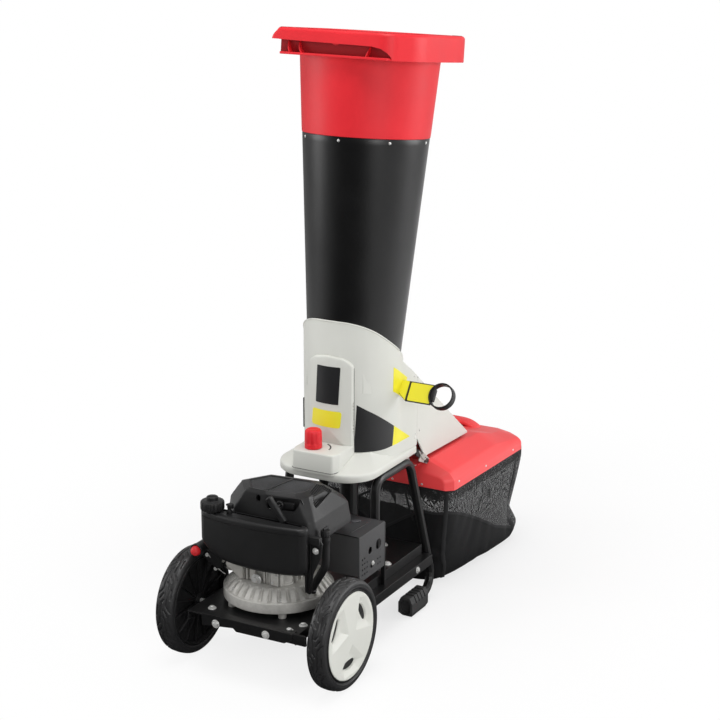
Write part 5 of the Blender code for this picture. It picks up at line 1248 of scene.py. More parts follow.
@dataclass
class Engine(SubAssembly):
    """The upright-shaft petrol engine with its tank, starter, silencer and carburettor.

    Attributes:
        centre: y of the crankshaft.
        sump_radius: radius of the sump's rim.
        sump_ribs: cooling ribs round the sump's shoulder.
        cap_place: x and y of the fuel cap.
        mesh_pitch: pitch of the small pits in the cowling's top panel.
        case_front: distance of the crankcase's front from the crankshaft.
        tank_low: height of the tank's underside.
        tank_ends: x of its left and right end.
        tank_bow: how far its front bows out.
        filler_place: x and y of the oil filler's top.
        primer_place: x and z of the primer.
        rope_place: x and z of the starter rope.
    """

    centre: float = 0.055
    sump_radius: float = 0.125
    sump_ribs: int = 34
    cap_place: tuple[float, float] = (-0.112, -0.038)
    mesh_pitch: float = 0.003
    case_front: float = 0.0695
    tank_low: float = 0.256
    tank_ends: tuple[float, float] = (-0.144, 0.128)
    tank_bow: float = 0.016
    filler_place: tuple[float, float] = (0.146, 0.014)
    primer_place: tuple[float, float] = (-0.162, 0.262)
    rope_place: tuple[float, float] = (0.0408, 0.398)

    def build(self) -> None:
        """Build and dress every piece."""
        self.dress(["cylinder_block", "cylinder_head", "flywheel"], ALLOY, 0.0005)
        self.dress(["air_filter_box", "recoil_reel"], BLACK, 0.0008)
        self.dress(["muffler"], POWDER, 0.0008)
        self.dress(["crankshaft", "engine_pulley", "reel_post", "rotor_shaft", "rotor_pulley", "rotor_disc",
                    "cutter_blade_1", "cutter_blade_2", "lower_bearing", "upper_bearing"], STEEL, 0.0004)
        self.dress(["drive_belt", "spark_plug_cap"], RUBBER, 0.0004)
        for step in (self.cowling, self.tank, self.cap, self.sump, self.crankcase, self.filler, self.carburettor,
                     self.starter, self.guard_details):
            step()

    def cowl_ring(self, level: int, inset: float = 0.0, drop: float = 0.0) -> Array:
        """One level of the cowling, moved inwards by an inset and lowered by a drop."""
        height, radius, corners = COWL_PLANS[level]
        outline = offset_outline(round_outline(corners, radius, 5), inset)
        return levelled(outline, height - drop)

    def cowling(self) -> None:
        """Cowling with a sunk top panel, a starter pocket, a round hole and a ribbed side grille."""
        crown = ((0, 0.0075, 0.0035), (0, 0.007, 0.0033), (0, 0.0052, 0.0004), (0, 0.004, 0.0), (0, 0.0016, 0.0),
                 (0, 0.0, 0.0012), (1, 0.0012, -0.0012), (1, 0.0, 0.0012))
        foot = ((2, -0.0006, 0.002), (3, 0.0, -0.016), (3, -0.0012, -0.0125), (3, -0.0012, -0.0015), (3, 0.0, 0.0),
                (3, 0.003, 0.0), (2, 0.0035, 0.002), (1, 0.005, 0.006), (0, 0.01, 0.006))
        upper, lower = self.cowl_ring(1), self.cowl_ring(2)
        rings = [self.cowl_ring(*level) for level in crown]
        rings += [upper + (lower - upper) * share for share in (0.33, 0.66, 0.95)]
        rings += [self.cowl_ring(*level) for level in foot]
        obj = self.rough("cowling_shell", lofted(np.array(rings)), BLACK)
        pocket = stood(rounded_slab([(0.008, 0.384), (0.078, 0.389), (0.088, 0.404), (0.086, 0.4165), (0.012, 0.4115)],
                                    (0.01, 0.01, 0.008, 0.004, 0.005), 6, -0.0065, 0.03))
        t = full_turn(28)
        hole = stood(slab(np.column_stack([-0.0127 + 0.006 * np.cos(t), 0.4055 + 0.0074 * np.sin(t)]), -0.012, 0.03))
        slope = self.slope_matrix()
        grille = rounded_slab(GRILLE, 0.004, 4, -0.006, 0.03).moved(slope)
        carve(obj, [s.moved(self.home) for s in (pocket, hole, grille)], 0.0007)
        self.seat(obj, BLACK, "machine", ["cowling"])
        self.grille(slope)
        self.crown()
        boss = stood(rounded_slab([(0.046, 0.3905), (0.074, 0.3925), (0.076, 0.4065), (0.047, 0.4045)], 0.003, 4,
                                  -0.0068, 0.001, 0.0008, 2))
        eye = stood(revolved([(0.0045, 0.0), (0.0095, 0.0), (0.0095, 0.0045), (0.008, 0.006), (0.0055, 0.006),
                              (0.0045, 0.005)], 28), (self.rope_place[0], 0.0015, self.rope_place[1]))
        self.put("starter_pocket_boss", joined(boss, eye), BLACK)
        backing = stood(rounded_slab([(-0.03, 0.38), (0.086, 0.383), (0.096, 0.403), (0.09, 0.4165), (-0.02, 0.413)],
                                     0.006, 4, -0.01, -0.007))
        self.put("pocket_backing", backing, BLACK)

    def slope_matrix(self) -> Matrix:
        """From the grille's own coordinates (back, up the slope, out of it) to the machine's."""
        return Matrix(((0.0, -0.62, 0.785, 0.1005), (1.0, 0.0, 0.0, 0.075), (0.0, 0.785, 0.62, 0.4045),
                       (0.0, 0.0, 0.0, 1.0)))

    def grille(self, slope: Matrix) -> None:
        """Slanted louvres in the side grille: each fills the chord of the grille on its own line."""
        inner = offset_outline(np.array(GRILLE), 0.0002)
        way = np.array((0.984, 0.179))
        across = np.array((-0.179, 0.984))
        bars = []
        for k in range(-3, 11):
            point = np.array((0.0, -0.008)) + across * 0.0042 * k
            low, high = chord(inner, point, way)
            if high - low < 0.004:
                continue
            a, b = point + way * low, point + way * high
            bars.append(slab([a - across * 0.0008, b - across * 0.0008, b + across * 0.0008, a + across * 0.0008],
                             -0.0062, -0.0008, 0.0003, 1))
        floor = slab(inner, -0.0064, -0.0058)
        self.put("side_grille", joined(floor, *bars).moved(slope), BLACK)

    def crown(self) -> None:
        """Top panel full of small square pits, with a rib across it: four slopes and a floor to each pit."""
        pitch, plan = self.mesh_pitch, offset_outline(np.array(COWL_PLANS[0][2]), 0.0062)
        xs, ys = (np.arange(a, b, pitch) for a, b in ((-0.075, 0.093), (0.0, 0.11)))
        gx, gy = (a.ravel() for a in np.meshgrid(xs, ys, indexing="ij"))
        keep = polygon_depth(np.column_stack([gx, gy]), plan) > pitch * 0.55
        gx, gy = gx[keep], gy[keep]
        points, faces = [], []
        for share, z in ((0.5, 0.4212), (0.3, 0.4199)):
            for sx, sy in ((-1, -1), (1, -1), (1, 1), (-1, 1)):
                points.append(np.column_stack([gx + sx * pitch * share, gy + sy * pitch * share, np.full(len(gx), z)]))
        points = np.stack(points, 1).reshape(-1, 3)
        for k in range(0, len(points), 8):
            faces += [[k + a, k + (a + 1) % 4, k + 4 + (a + 1) % 4, k + 4 + a] for a in range(4)]
            faces.append([k + 4, k + 5, k + 6, k + 7])
        plate = slab(plan, 0.419, 0.4205, 0.0003, 1)
        self.put("crown_mesh", joined(plate, Surface(points, faces)), COWL_MESH, smooth=20.0)
        line = np.array([(-0.001, 0.0065), (0.015, 0.1)])
        way = (line[1] - line[0]) / np.linalg.norm(line[1] - line[0])
        side = np.array((-way[1], way[0])) * 0.0024
        rib = slab([line[0] + side, line[0] - side, line[1] - side, line[1] + side], 0.4195, 0.423, 0.0007, 2)
        self.put("crown_rib", rib, BLACK)

    def tank_ring(self, up: float, inset: float, left_cut: float = 0.0, right_cut: float = 0.0) -> Array:
        """One level of the tank: a front bowed as an arc of sagitta 16 mm, round ends and a flat back.

        Args:
            up: height above the tank's underside.
            inset: how far the whole outline lies inwards.
            left_cut: how much more its left end is cut back.
            right_cut: the same at its right end.

        Returns:
            The ring's points.
        """
        x0, x1 = self.tank_ends[0] + inset + left_cut, self.tank_ends[1] - inset - right_cut
        front, back = -0.064 + inset, -0.0148 - min(inset, 0.004)
        middle, reach = (x0 + x1) / 2, (x1 - x0) / 2 - 0.012
        radius = (reach ** 2 + self.tank_bow ** 2) / (2 * self.tank_bow)
        lean = math.asin(reach / radius)
        t = np.linspace(-lean, lean, 33)
        bow = np.column_stack([middle + radius * np.sin(t), front + radius - radius * np.cos(t)])
        corners = np.vstack([bow, [(x1, front + 0.026)], [(x1, back - 0.012)], [(x1 - 0.012, back)],
                             [(x0 + 0.012, back)], [(x0, back - 0.012)], [(x0, front + 0.026)]])
        # Corner cutting twice turns the ends into smooth curves
        for _ in range(2):
            after = np.roll(corners, -1, 0)
            corners = np.stack([0.75 * corners + 0.25 * after, 0.25 * corners + 0.75 * after], 1).reshape(-1, 2)
        return levelled(corners, self.tank_low + up)

    def tank(self) -> None:
        """Fuel tank with a rounded upper edge, a seam and a cut-away lower left end."""
        levels = [(0.0, 0.014, 0.046, 0.006), (0.001, 0.009, 0.042, 0.005), (0.004, 0.0045, 0.038, 0.004),
                  (0.009, 0.001, 0.031, 0.003), (0.018, 0.0, 0.021, 0.002), (0.03, 0.0, 0.008, 0.0),
                  (0.037, 0.0, 0.002, 0.0), (0.044, 0.0, 0.0, 0.0), (0.085, 0.0, 0.0, 0.0), (0.0986, 0.0, 0.0, 0.0),
                  (0.099, 0.0008, 0.0, 0.0), (0.1002, 0.0008, 0.0, 0.0), (0.1006, 0.0, 0.0, 0.0)]
        t = np.linspace(0.15, math.pi / 2, 6)
        levels += [(0.1068 + 0.007 * math.sin(a), 0.007 * (1 - math.cos(a)), 0.0, 0.0) for a in t]
        levels += [(0.1138, 0.011, 0.0, 0.0), (0.1128, 0.0125, 0.0, 0.0), (0.1128, 0.018, 0.0, 0.0)]
        body = lofted(np.array([self.tank_ring(*level) for level in levels]))
        neck = revolved([(0.012, -0.004), (0.0165, -0.004), (0.0165, 0.0095), (0.0155, 0.0102), (0.013, 0.0102),
                         (0.012, 0.0092)], 40).moved(Matrix.Translation((*self.cap_place, 0.37)))
        self.put("tank_body", joined(body, neck), BLACK, replaces=["fuel_tank"])
        foot, knob = Matrix.Translation((-0.0705, -0.034, 0.3685)), Matrix.Translation((-0.07, -0.03, 0.38))
        valve = revolved([(0.0, 0.0), (0.0062, 0.0), (0.0066, 0.004), (0.006, 0.0075), (0.004, 0.0085), (0.004, 0.015),
                          (0.0, 0.0155)], 24).moved(foot)
        cover = revolved([(0.0, 0.0), (0.007, 0.0), (0.0075, 0.0015), (0.0072, 0.0085), (0.006, 0.01),
                          (0.0, 0.0102)], 24).moved(knob)
        lever = block((-0.08, -0.033, 0.3845), (-0.066, -0.027, 0.3885), 0.0012)
        self.put("tank_vent", joined(valve, cover, lever), BLACK)

    def cap(self) -> None:
        """Fuel cap: a skirt with 18 flutes, a stepped top and a small grip on it."""
        low, radius = 0.3722, 0.0268
        profile = [(0.0, 0.01), (0.017, 0.01), (0.017, 0.0), (0.024, 0.0), (0.0262, 0.0012), (radius, 0.0035),
                   (radius, 0.0175), (0.0258, 0.0196), (0.024, 0.0206), (0.015, 0.0212), (0.0135, 0.0222),
                   (0.013, 0.029), (0.0118, 0.0302), (0.0, 0.0304)]

        def flutes(angle: Array, index: Array) -> Array:
            """Shallow hollows round the skirt alone."""
            return -0.0016 * np.clip(np.cos(18 * angle), 0.0, 1.0) ** 2 * ((index >= 4) & (index <= 7))
        body = revolved(profile, 180, flutes)
        grip = block((-0.0105, -0.0032, 0.029), (0.0105, 0.0032, 0.0312), 0.0009)
        place = Matrix.Translation((*self.cap_place, low)) @ Matrix.Rotation(math.radians(20), 4, "Z")
        self.put("tank_cap_fluted", joined(body, grip).moved(place), BLACK, "tank_cap", 30.0, ["fuel_cap"])

    def sump(self) -> None:
        """Cast sump: the shoulder's radius ripples into ribs, and lugs stand below its rim."""
        r, z = self.sump_radius, 0.163
        profile = [(0.013, z), (r - 0.0012, z), (r - 0.0003, z + 0.0004), (r, z + 0.0014), (r, z + 0.0022),
                   (r - 0.0004, z + 0.0218), (r - 0.0006, z + 0.0228), (r - 0.0014, z + 0.0236),
                   (r - 0.0026, z + 0.0239), (r - 0.0046, z + 0.0241), (r - 0.006, z + 0.0246), (r - 0.008, z + 0.0275),
                   (r - 0.013, z + 0.0345), (r - 0.02, z + 0.0425), (r - 0.025, z + 0.0462), (r - 0.031, z + 0.0482),
                   (0.07, z + 0.049), (0.064, z + 0.049), (0.064, z + 0.044), (0.09, z + 0.04), (0.105, z + 0.016),
                   (0.105, z + 0.006), (0.013, z + 0.006)]

        def ribs(angle: Array, index: Array) -> Array:
            """Hollows between the shoulder's ribs."""
            depth = np.interp(index, [9, 10, 11, 13, 14, 15], [0.0, 0.7, 1.0, 1.0, 0.7, 0.0])
            rib = 0.5 + 0.5 * np.tanh(7.0 * (np.cos(self.sump_ribs * angle) - 0.6))
            return -0.0085 * depth * rib
        body = revolved(profile, self.sump_ribs * 8, ribs)
        parts, bolts = [body], []
        for angle in (-55, -125, 55, 125):
            x, y = (0.113 * f(math.radians(angle)) for f in (math.cos, math.sin))
            parts.append(revolved([(0.0, -0.0127), (0.009, -0.0127), (0.0095, -0.012), (0.0095, 0.004), (0.0, 0.004)],
                                  24).moved(Matrix.Translation((x, y, z))))
            parts.append(revolved([(0.0, 0.0), (0.0088, 0.0), (0.0088, 0.0125), (0.0078, 0.014), (0.0, 0.014)],
                                  24).moved(Matrix.Translation((x * 0.955, y * 0.955, z + 0.012))))
            x, y = (0.108 * f(math.radians(angle)) for f in (math.cos, math.sin))
            bolts.append(turn_to((0, 0, 1), (x, self.centre + y, z + 0.0258), angle))
        place = Matrix.Translation((0.0, self.centre, 0.0))
        self.put("sump_casting", joined(*parts).moved(place), ALLOY, smooth=28.0, replaces=["engine_sump"])
        self.put("sump_bolts", scattered(hex_bolt(0.006), bolts), STEEL)

    def crankcase(self) -> None:
        """Crankcase walls with upright ribs, cover plates, a big flange bolt and small bolts."""
        front = self.centre - self.case_front
        corners = ((-0.063, front + 0.001), (0.063, front + 0.001), (0.063, 0.095), (-0.063, 0.095))
        outer = round_outline(corners, (0.022, 0.022, 0.006, 0.006), 8)
        rings = [(0.0, 0.2122), (0.0, 0.2165), (0.0016, 0.2172), (0.0016, 0.299), (0.0, 0.2997), (0.0, 0.305),
                 (0.008, 0.305), (0.008, 0.2122)]
        body = lofted(np.array([np.column_stack([offset_outline(outer, inset), np.full(len(outer), z)])
                                for inset, z in rings]), caps=False, wrap=True)
        lid = slab(offset_outline(outer, 0.007), 0.2965, 0.304)
        parts = [body, lid]
        for x, width, depth, low, high in ((-0.046, 0.003, 0.0045, 0.213, 0.262), (-0.037, 0.0035, 0.006, 0.213, 0.25),
                                           (0.008, 0.003, 0.0055, 0.213, 0.262), (0.015, 0.0026, 0.0048, 0.213, 0.262),
                                           (0.0215, 0.003, 0.006, 0.213, 0.262), (0.05, 0.0032, 0.0046, 0.213, 0.262)):
            parts.append(block((x - width / 2, front - depth, low), (x + width / 2, front + 0.006, high), 0.0006))
        parts.append(block((0.0265, front - 0.0085, 0.2135), (0.046, front + 0.006, 0.244), 0.0018))
        for side in (-1, 1):
            for y in (0.02, 0.04, 0.062, 0.082):
                x0, x1 = sorted((side * 0.06, side * 0.069))
                parts.append(block((x0, y - 0.0015, 0.213), (x1, y + 0.0015, 0.292), 0.0006))
        self.put("crankcase_casting", joined(*parts), ALLOY, smooth=28.0, replaces=["crankcase"])
        plate = stood(rounded_slab([(-0.029, 0.216), (-0.016, 0.213), (-0.015, 0.248), (-0.028, 0.25)], 0.002, 3, 0.0,
                                   0.0065, 0.0006, 2), (0.0, front, 0.0))
        wing = stood(rounded_slab([(-0.09, 0.24), (-0.052, 0.214), (-0.046, 0.215), (-0.044, 0.252), (-0.086, 0.256)],
                                  0.003, 3, 0.0, 0.006, 0.0008, 2), (0.0, front - 0.004, 0.0))
        self.put("crankcase_plates", joined(plate, wing), DULL_ALLOY)
        flange = revolved([(0.0, 0.0), (0.0128, 0.0), (0.0128, 0.0016), (0.0116, 0.0028), (0.008, 0.0032),
                           (0.0, 0.0032)], 40)
        head = slab(ring_outline(6, 0.007, 10.0), 0.0028, 0.0078, 0.0007, 2)
        big = joined(flange, head).moved(turn_to((0, -1, 0), (-0.0115, front - 0.0062, 0.219)))
        stub = revolved([(0.0, 0.0), (0.008, 0.0), (0.008, 0.0064), (0.0, 0.0064)], 28).moved(
            turn_to((0, -1, 0), (-0.0115, front, 0.219)))
        self.put("case_flange_bolt", joined(big, stub), STEEL)
        small = [turn_to((0, -1, 0), (x, front - 0.0086, z), roll) for x, z, roll in
                 ((0.031, 0.22, 0.0), (0.0415, 0.238, 20.0))]
        self.put("case_screws", scattered(cross_screw(0.0034), small), STEEL)

    def filler(self) -> None:
        """Oil filler with its bracket, the dipstick's cap and the control linkage beside it."""
        path = smooth_path([(0.108, 0.016, 0.203), (0.115, 0.016, 0.218), (0.133, 0.0145, 0.248),
                            (0.144, 0.014, 0.27), (*self.filler_place, 0.3), (*self.filler_place, 0.3395)], 40)
        radius = np.full(40, 0.009)
        radius[:4] = 0.0112
        radius[-4:] = (0.0092, 0.0106, 0.0106, 0.01)
        body = tube(path, radius, 28, up=(0.0, 1.0, 0.0))
        self.put("filler_pipe", body, BLACK, replaces=["oil_filler_tube"])

        def grips(angle: Array, index: Array) -> Array:
            """Hollows round the cap's side."""
            return -0.0008 * np.clip(np.cos(12 * angle), 0.0, 1.0) * ((index >= 2) & (index <= 3))
        cap = revolved([(0.0, 0.0), (0.01, 0.0), (0.011, 0.0012), (0.011, 0.0105), (0.0098, 0.0135), (0.0, 0.014)],
                       96, grips)
        tab = block((-0.002, -0.0085, 0.0125), (0.002, 0.0085, 0.0205), 0.001)
        self.put("dipstick_cap", joined(cap, tab).moved(Matrix.Translation((*self.filler_place, 0.3403))), BLACK,
                 "oil_stick", 30.0, ["dipstick"])
        arm = stood(rounded_slab([(0.113, 0.215), (0.127, 0.21), (0.134, 0.26), (0.153, 0.302), (0.158, 0.334),
                                  (0.15, 0.347), (0.116, 0.345), (0.113, 0.3)], 0.0035, 4, 0.0, 0.0045, 0.0008, 2),
                    (0.0, -0.0165, 0.0))
        rib = stood(rounded_slab([(0.1165, 0.216), (0.1195, 0.215), (0.123, 0.318), (0.119, 0.32)], 0.001, 2, 0.0,
                                 0.005, 0.0006, 2), (0.0, -0.0205, 0.0))
        boss = revolved([(0.0, 0.0), (0.0085, 0.0), (0.008, 0.004), (0.0, 0.004)], 28).moved(
            turn_to((0, -1, 0), (0.143, -0.02, 0.318)))
        box = block((0.119, -0.027, 0.332), (0.154, -0.015, 0.349), 0.0016)
        self.put("control_bracket", joined(arm, rib, boss, box), BLACK)
        screw = [turn_to((0, -1, 0), (0.143, -0.024, 0.318), 15.0)]
        self.put("bracket_bolt", scattered(hex_bolt(0.0048), screw), STEEL)
        rod = tube(np.array([(0.13, -0.024, 0.33), (0.129, -0.024, 0.25), (0.122, -0.018, 0.218)]), 0.0011, 8,
                   up=(0.0, 1.0, 0.0))
        self.put("governor_link", rod, BLACK)

    def carburettor(self) -> None:
        """Primer, its black ring, and the small steel links, spring and screws of the carburettor."""
        x, z = self.primer_place
        ring = revolved([(0.0122, 0.0), (0.0152, 0.0), (0.0156, 0.0012), (0.0156, 0.007), (0.0146, 0.0084),
                         (0.0126, 0.0084), (0.0122, 0.0076)], 40)
        self.put("primer_ring", ring.moved(turn_to((0, -1, 0), (x, -0.0262, z))), BLACK)
        t = np.linspace(0.0, math.pi / 2, 9)
        dome = [(0.0, -0.0005), (0.0117, -0.0005)] + list(zip((0.0117 * np.cos(t) ** 0.8).tolist(),
                                                              (0.0035 + 0.0135 * np.sin(t)).tolist()))
        dome[-1] = (0.0, 0.017)
        bulb = revolved(dome, 40).moved(turn_to((0, -1, 0), (x, -0.03, z)))
        self.put("primer_dome", bulb, RED_RUBBER, "primer", 50.0, ["primer_bulb"])
        bowl = revolved([(0.0, 0.0), (0.015, 0.0), (0.0165, 0.0025), (0.0165, 0.019), (0.014, 0.023), (0.0, 0.0235)],
                        40).moved(Matrix.Translation((-0.096, 0.018, 0.214)))
        throttle = revolved([(0.0, 0.0), (0.0065, 0.0), (0.0065, 0.022), (0.005, 0.024), (0.0, 0.024)], 24).moved(
            turn_to((0, -1, 0), (-0.108, 0.012, 0.242)))
        self.put("carburettor_bowl", joined(bowl, throttle), DULL_ALLOY)
        turns = np.linspace(0.0, TAU * 7, 150)
        spring = np.column_stack([-0.133 + 0.018 * turns / turns[-1], -0.012 + 0.0032 * np.cos(turns),
                                  0.242 - 0.023 * turns / turns[-1] + 0.0032 * np.sin(turns)])
        coil = tube(spring, 0.0006, 6, up=(0.3, 0.1, 1.0))
        link = tube(smooth_path([(-0.148, -0.016, 0.252), (-0.138, -0.016, 0.247), (-0.13, -0.012, 0.23),
                                 (-0.115, -0.01, 0.216), (-0.102, -0.008, 0.208)], 40), 0.001, 8,
                    up=(0.0, 1.0, 0.0))
        lever = stood(rounded_slab([(-0.132, 0.227), (-0.116, 0.221), (-0.112, 0.229), (-0.129, 0.237)], 0.0025, 4, 0.0,
                                   0.0016, 0.0004, 1), (0.0, -0.01, 0.0))
        self.put("carburettor_links", joined(coil, link, lever), STEEL)
        screws = [turn_to((0, -1, 0), place, roll) for place, roll in
                  (((-0.143, -0.0185, 0.25), 20.0), ((-0.129, -0.013, 0.236), 50.0), ((-0.125, -0.012, 0.218), 10.0))]
        self.put("carburettor_screws", scattered(cross_screw(0.0044), screws), STEEL)
        arm = stood(rounded_slab([(-0.16, 0.245), (-0.12, 0.22), (-0.108, 0.224), (-0.106, 0.25), (-0.15, 0.262)],
                                 0.003, 3, 0.0, 0.006, 0.0008, 2), (0.0, -0.01, 0.0))
        self.put("carburettor_bracket", arm, BLACK)

    def starter(self) -> None:
        """Starter grip, a bar that swells at its middle and ends, and the braided rope behind it."""
        place, lean = Vector((0.0448, -0.023, 0.3945)), math.radians(-39)
        t = np.linspace(-1.0, 1.0, 41)
        angle = full_turn(28)[None, :]
        swell = 1.0 - 0.12 * np.sin(math.pi * np.abs(t)) ** 2
        end = np.sqrt(np.clip(1.0 - np.clip((np.abs(t) - 0.9) / 0.1, 0, 1) ** 2, 0.0, 1.0))
        end = np.maximum(end, 0.05)
        cos, sin = np.cos(angle), np.sin(angle)
        shape = (np.abs(cos) ** 3 + np.abs(sin) ** 3) ** (-1 / 3)
        rings = np.stack([0.0082 * (swell * end)[:, None] * shape * cos, 0.0072 * (swell * end)[:, None] * shape * sin,
                          np.broadcast_to(0.0335 * t[:, None], (41, 28))], 2)
        bar = lofted(rings).moved(Matrix.Translation(place) @ Matrix.Rotation(lean, 4, "Y"))
        self.put("grip_bar", bar, BLACK, "starter", 50.0, ["starter_grip"])
        y = np.linspace(-0.0138, 0.055, 90)
        line = np.column_stack([np.full(90, self.rope_place[0]), y, np.full(90, self.rope_place[1])])
        rope = tube(line, 0.0019 + 0.00018 * np.sin(y * TAU / 0.0026), 14)
        self.put("rope_braid", rope, ROPE, "starter", 60.0, ["starter_rope"])

    def guard_details(self) -> None:
        """Oval cap and folded lip on the guard's top plate, and the bolts of its post."""
        oval = round_outline([(-0.0115, -0.0065), (0.0115, -0.0065), (0.0115, 0.0065), (-0.0115, 0.0065)], 0.0062, 8)
        turn = Matrix.Translation((0.0966, 0.2391, 0.286)) @ Matrix.Rotation(math.radians(52), 4, "Z")
        self.put("guard_cap", slab(oval, 0.0, 0.0034, 0.0014, 3).moved(turn), GREY_RUBBER)
        lip = tube(np.array([(0.064, 0.1572, 0.285), (0.148, 0.1572, 0.285)]), 0.0016, 12)
        back = tube(np.array([(0.064, 0.2748, 0.2852), (0.148, 0.2748, 0.2852)]), 0.0014, 12)
        bead = tube(np.array([(0.1185, 0.176, 0.2862), (0.1235, 0.256, 0.2862)]), 0.0013, 10)
        self.put("guard_lips", joined(lip, back, bead), POWDER)
        bolts = [turn_to((1, 0, 0), (0.1514, 0.219, 0.203), 12.0)]
        self.put("guard_bolts", scattered(hex_bolt(0.0036), bolts), STEEL)


# Places (y, z) of the collar's upper edge, from front to back
COLLAR_EDGE = ((0.28, 0.7398), (0.287, 0.7392), (0.293, 0.7376), (0.303, 0.7325), (0.314, 0.7258), (0.3255, 0.7178),
               (0.338, 0.7083), (0.3502, 0.6984), (0.364, 0.6877), (0.3783, 0.6772), (0.3981, 0.6634), (0.425, 0.6462),
               (0.46, 0.619), (0.49, 0.595))


@dataclass
class CuttingHead(SubAssembly):
    """Moulded housing with its control column, plates and labels, the flap, the gate and the knob.

    Attributes:
        middle: y of the centre of the housing's round front.
        radius: radius of that front's outer skin.
        back: y where the housing ends.
        column_half: half the width of the control column.
        column_front: y of the column's face at its middle.
        column_bow: how far the face's edges lie behind its middle.
        roof_high: height of the sloping roof over the round front's centre.
        roof_slope: how far it falls, in degrees.
        knob_place: x and y of the knob.
        ledge_top: height of the ledge that carries it.
    """

    middle: float = 0.406
    radius: float = 0.1188
    back: float = 0.4868
    column_half: float = 0.057
    column_front: float = 0.2785
    column_bow: float = 0.015
    roof_high: float = 0.64
    roof_slope: float = 38.7
    knob_place: tuple[float, float] = (-0.017, 0.2415)
    ledge_top: float = 0.4468

    def build(self) -> None:
        """Build and dress every piece."""
        self.dress(["flap_hinge_pin", "left_bag_hook", "right_bag_hook"], STEEL, 0.0004)
        self.dress(["gate_guide"], BLACK, 0.0005)
        self.shell()
        self.column()
        self.flange()
        self.labels()
        self.knob()
        self.gate()
        self.flap()
        self.fittings()

    def roof(self, y: Array) -> Array:
        """Height of the sloping roof at y."""
        return self.roof_high - (y - self.middle) * math.tan(math.radians(self.roof_slope))

    def collar_top(self, y: Array) -> Array:
        """Height of the collar's upper edge, which falls from front to back in one curve."""
        return np.interp(y, *zip(*COLLAR_EDGE))

    def wall(self, along: Array, height: Array, rise: Array = 0.0) -> Array:
        """Places on the housing's outer wall.

        The plan is a half circle whose centre and radius drift with the hopper's cone above
        z = 0.66, continued by straight sides; along is measured on it from its front's middle.

        Args:
            along: distance along the plan, positive towards +X.
            height: z.
            rise: distance outwards from the wall.

        Returns:
            The places, in the last axis.
        """
        above = np.clip(height - 0.662, 0.0, None)
        centre, radius = self.middle + 0.114 * above, self.radius + 0.052 * above + rise
        quarter = self.radius * math.pi / 2
        angle = np.clip(along / self.radius, -math.pi / 2, math.pi / 2)
        beyond = np.clip(np.abs(along) - quarter, 0.0, None)
        flare = 0.0052 * np.sign(along) * smooth_step(beyond, 0.0, 0.08)
        return np.stack([radius * np.sin(angle) + flare, centre - radius * np.cos(angle) + beyond,
                         height + 0.0 * along], -1)

    def patch(self, low: Array, high: Array, rows: int, rise: float, thick: float) -> Surface:
        """A closed patch on the wall between two curves.

        Args:
            low: places along the plan and heights of its lower edge.
            high: the same for its upper edge.
            rows: rows between the edges.
            rise: distance of its outer face from the wall.
            thick: its thickness.

        Returns:
            The surface.
        """
        share = np.linspace(0.0, 1.0, rows)[:, None, None]
        spots = low[None] + (high - low)[None] * share
        width, height = spots[..., 0], spots[..., 1]
        outer, inner = self.wall(width, height, rise), self.wall(width, height, rise - thick)
        edge = rise - 0.25 * thick
        rims = [self.wall(width[[k]], height[[k]], edge) for k in (0, -1)]
        loop = np.concatenate([rims[0], outer[1:-1], rims[1], inner[::-1]], 0)
        return lofted(loop.transpose(1, 0, 2))

    def shell(self) -> None:
        """The CAD housing, cut back behind a smooth outer skin whose upper edge carries a bead."""
        obj = node_copy(self.machine, "housing_shell", "housing_core", GREY)
        ys = np.linspace(0.24, 0.49, 26)
        trim = [(y, float(self.collar_top(np.array(y))) - 0.0012) for y in ys] + [(0.49, 0.9), (0.24, 0.9)]
        front = block((-0.075, 0.19, 0.3985), (0.075, 0.312, 0.666), 0.0)
        inner, end = 0.116, self.back + 0.02
        bow = [(-inner * math.cos(a), self.middle - inner * math.sin(a)) for a in np.linspace(0, math.pi, 40)[1:-1]]
        plan = np.array([(-inner, end), (-inner, self.middle)] + bow + [(inner, self.middle), (inner, end)])
        wide = plan * (1.8, 1.0) + (0.0, -0.09)
        wide[[0, -1], 1] += 0.09
        foot = lofted(np.array([levelled(p, z) for p, z in
                                ((wide, 0.38), (wide, 0.446), (plan, 0.446), (plan, 0.38))]), caps=False, wrap=True)
        carve(obj, [s.moved(self.home) for s in (sided(slab(trim, -0.2, 0.2)), front, foot)], 0.0008, 30.0, "EXACT")
        self.seat(obj, GREY, "machine", ["housing_shell"])
        quarter = self.radius * math.pi / 2
        reach = quarter + self.back - self.middle
        along = np.concatenate([np.linspace(-reach, -quarter, 16), np.linspace(-quarter, quarter, 121)[1:-1],
                                np.linspace(quarter, reach, 16)])
        ys = self.wall(along, np.full(along.shape, 0.6))[:, 1]
        top = np.where(np.abs(along) > quarter, np.minimum(self.roof(ys) + 0.0006, self.collar_top(ys) - 0.001),
                       self.collar_top(ys))
        blend = smooth_step(np.abs(along), quarter - 0.004, quarter + 0.01)
        top = np.where(np.abs(along) > quarter - 0.004,
                       self.collar_top(ys) * (1 - blend) + (self.roof(ys) + 0.0006) * blend, top)
        skin = self.patch(np.column_stack([along, np.full(along.shape, 0.402)]), np.column_stack([along, top]), 60,
                          0.0006, 0.0028)
        self.put("housing_skin", skin, GREY, smooth=40.0)
        inside = np.abs(along) < quarter - 0.002
        crest = self.wall(along[inside], top[inside] - 0.001, -0.0002)
        self.put("collar_bead", tube(crest, 0.0021, 12), GREY)

    def column_place(self, x: Array, z: Array, rise: float = 0.0) -> Array:
        """Places on the column's bowed face: y grows with the square of x."""
        y = self.column_front + self.column_bow * (x / self.column_half) ** 2 - rise
        return np.stack([x, y + 0.0 * z, z + 0.0 * x], -1)

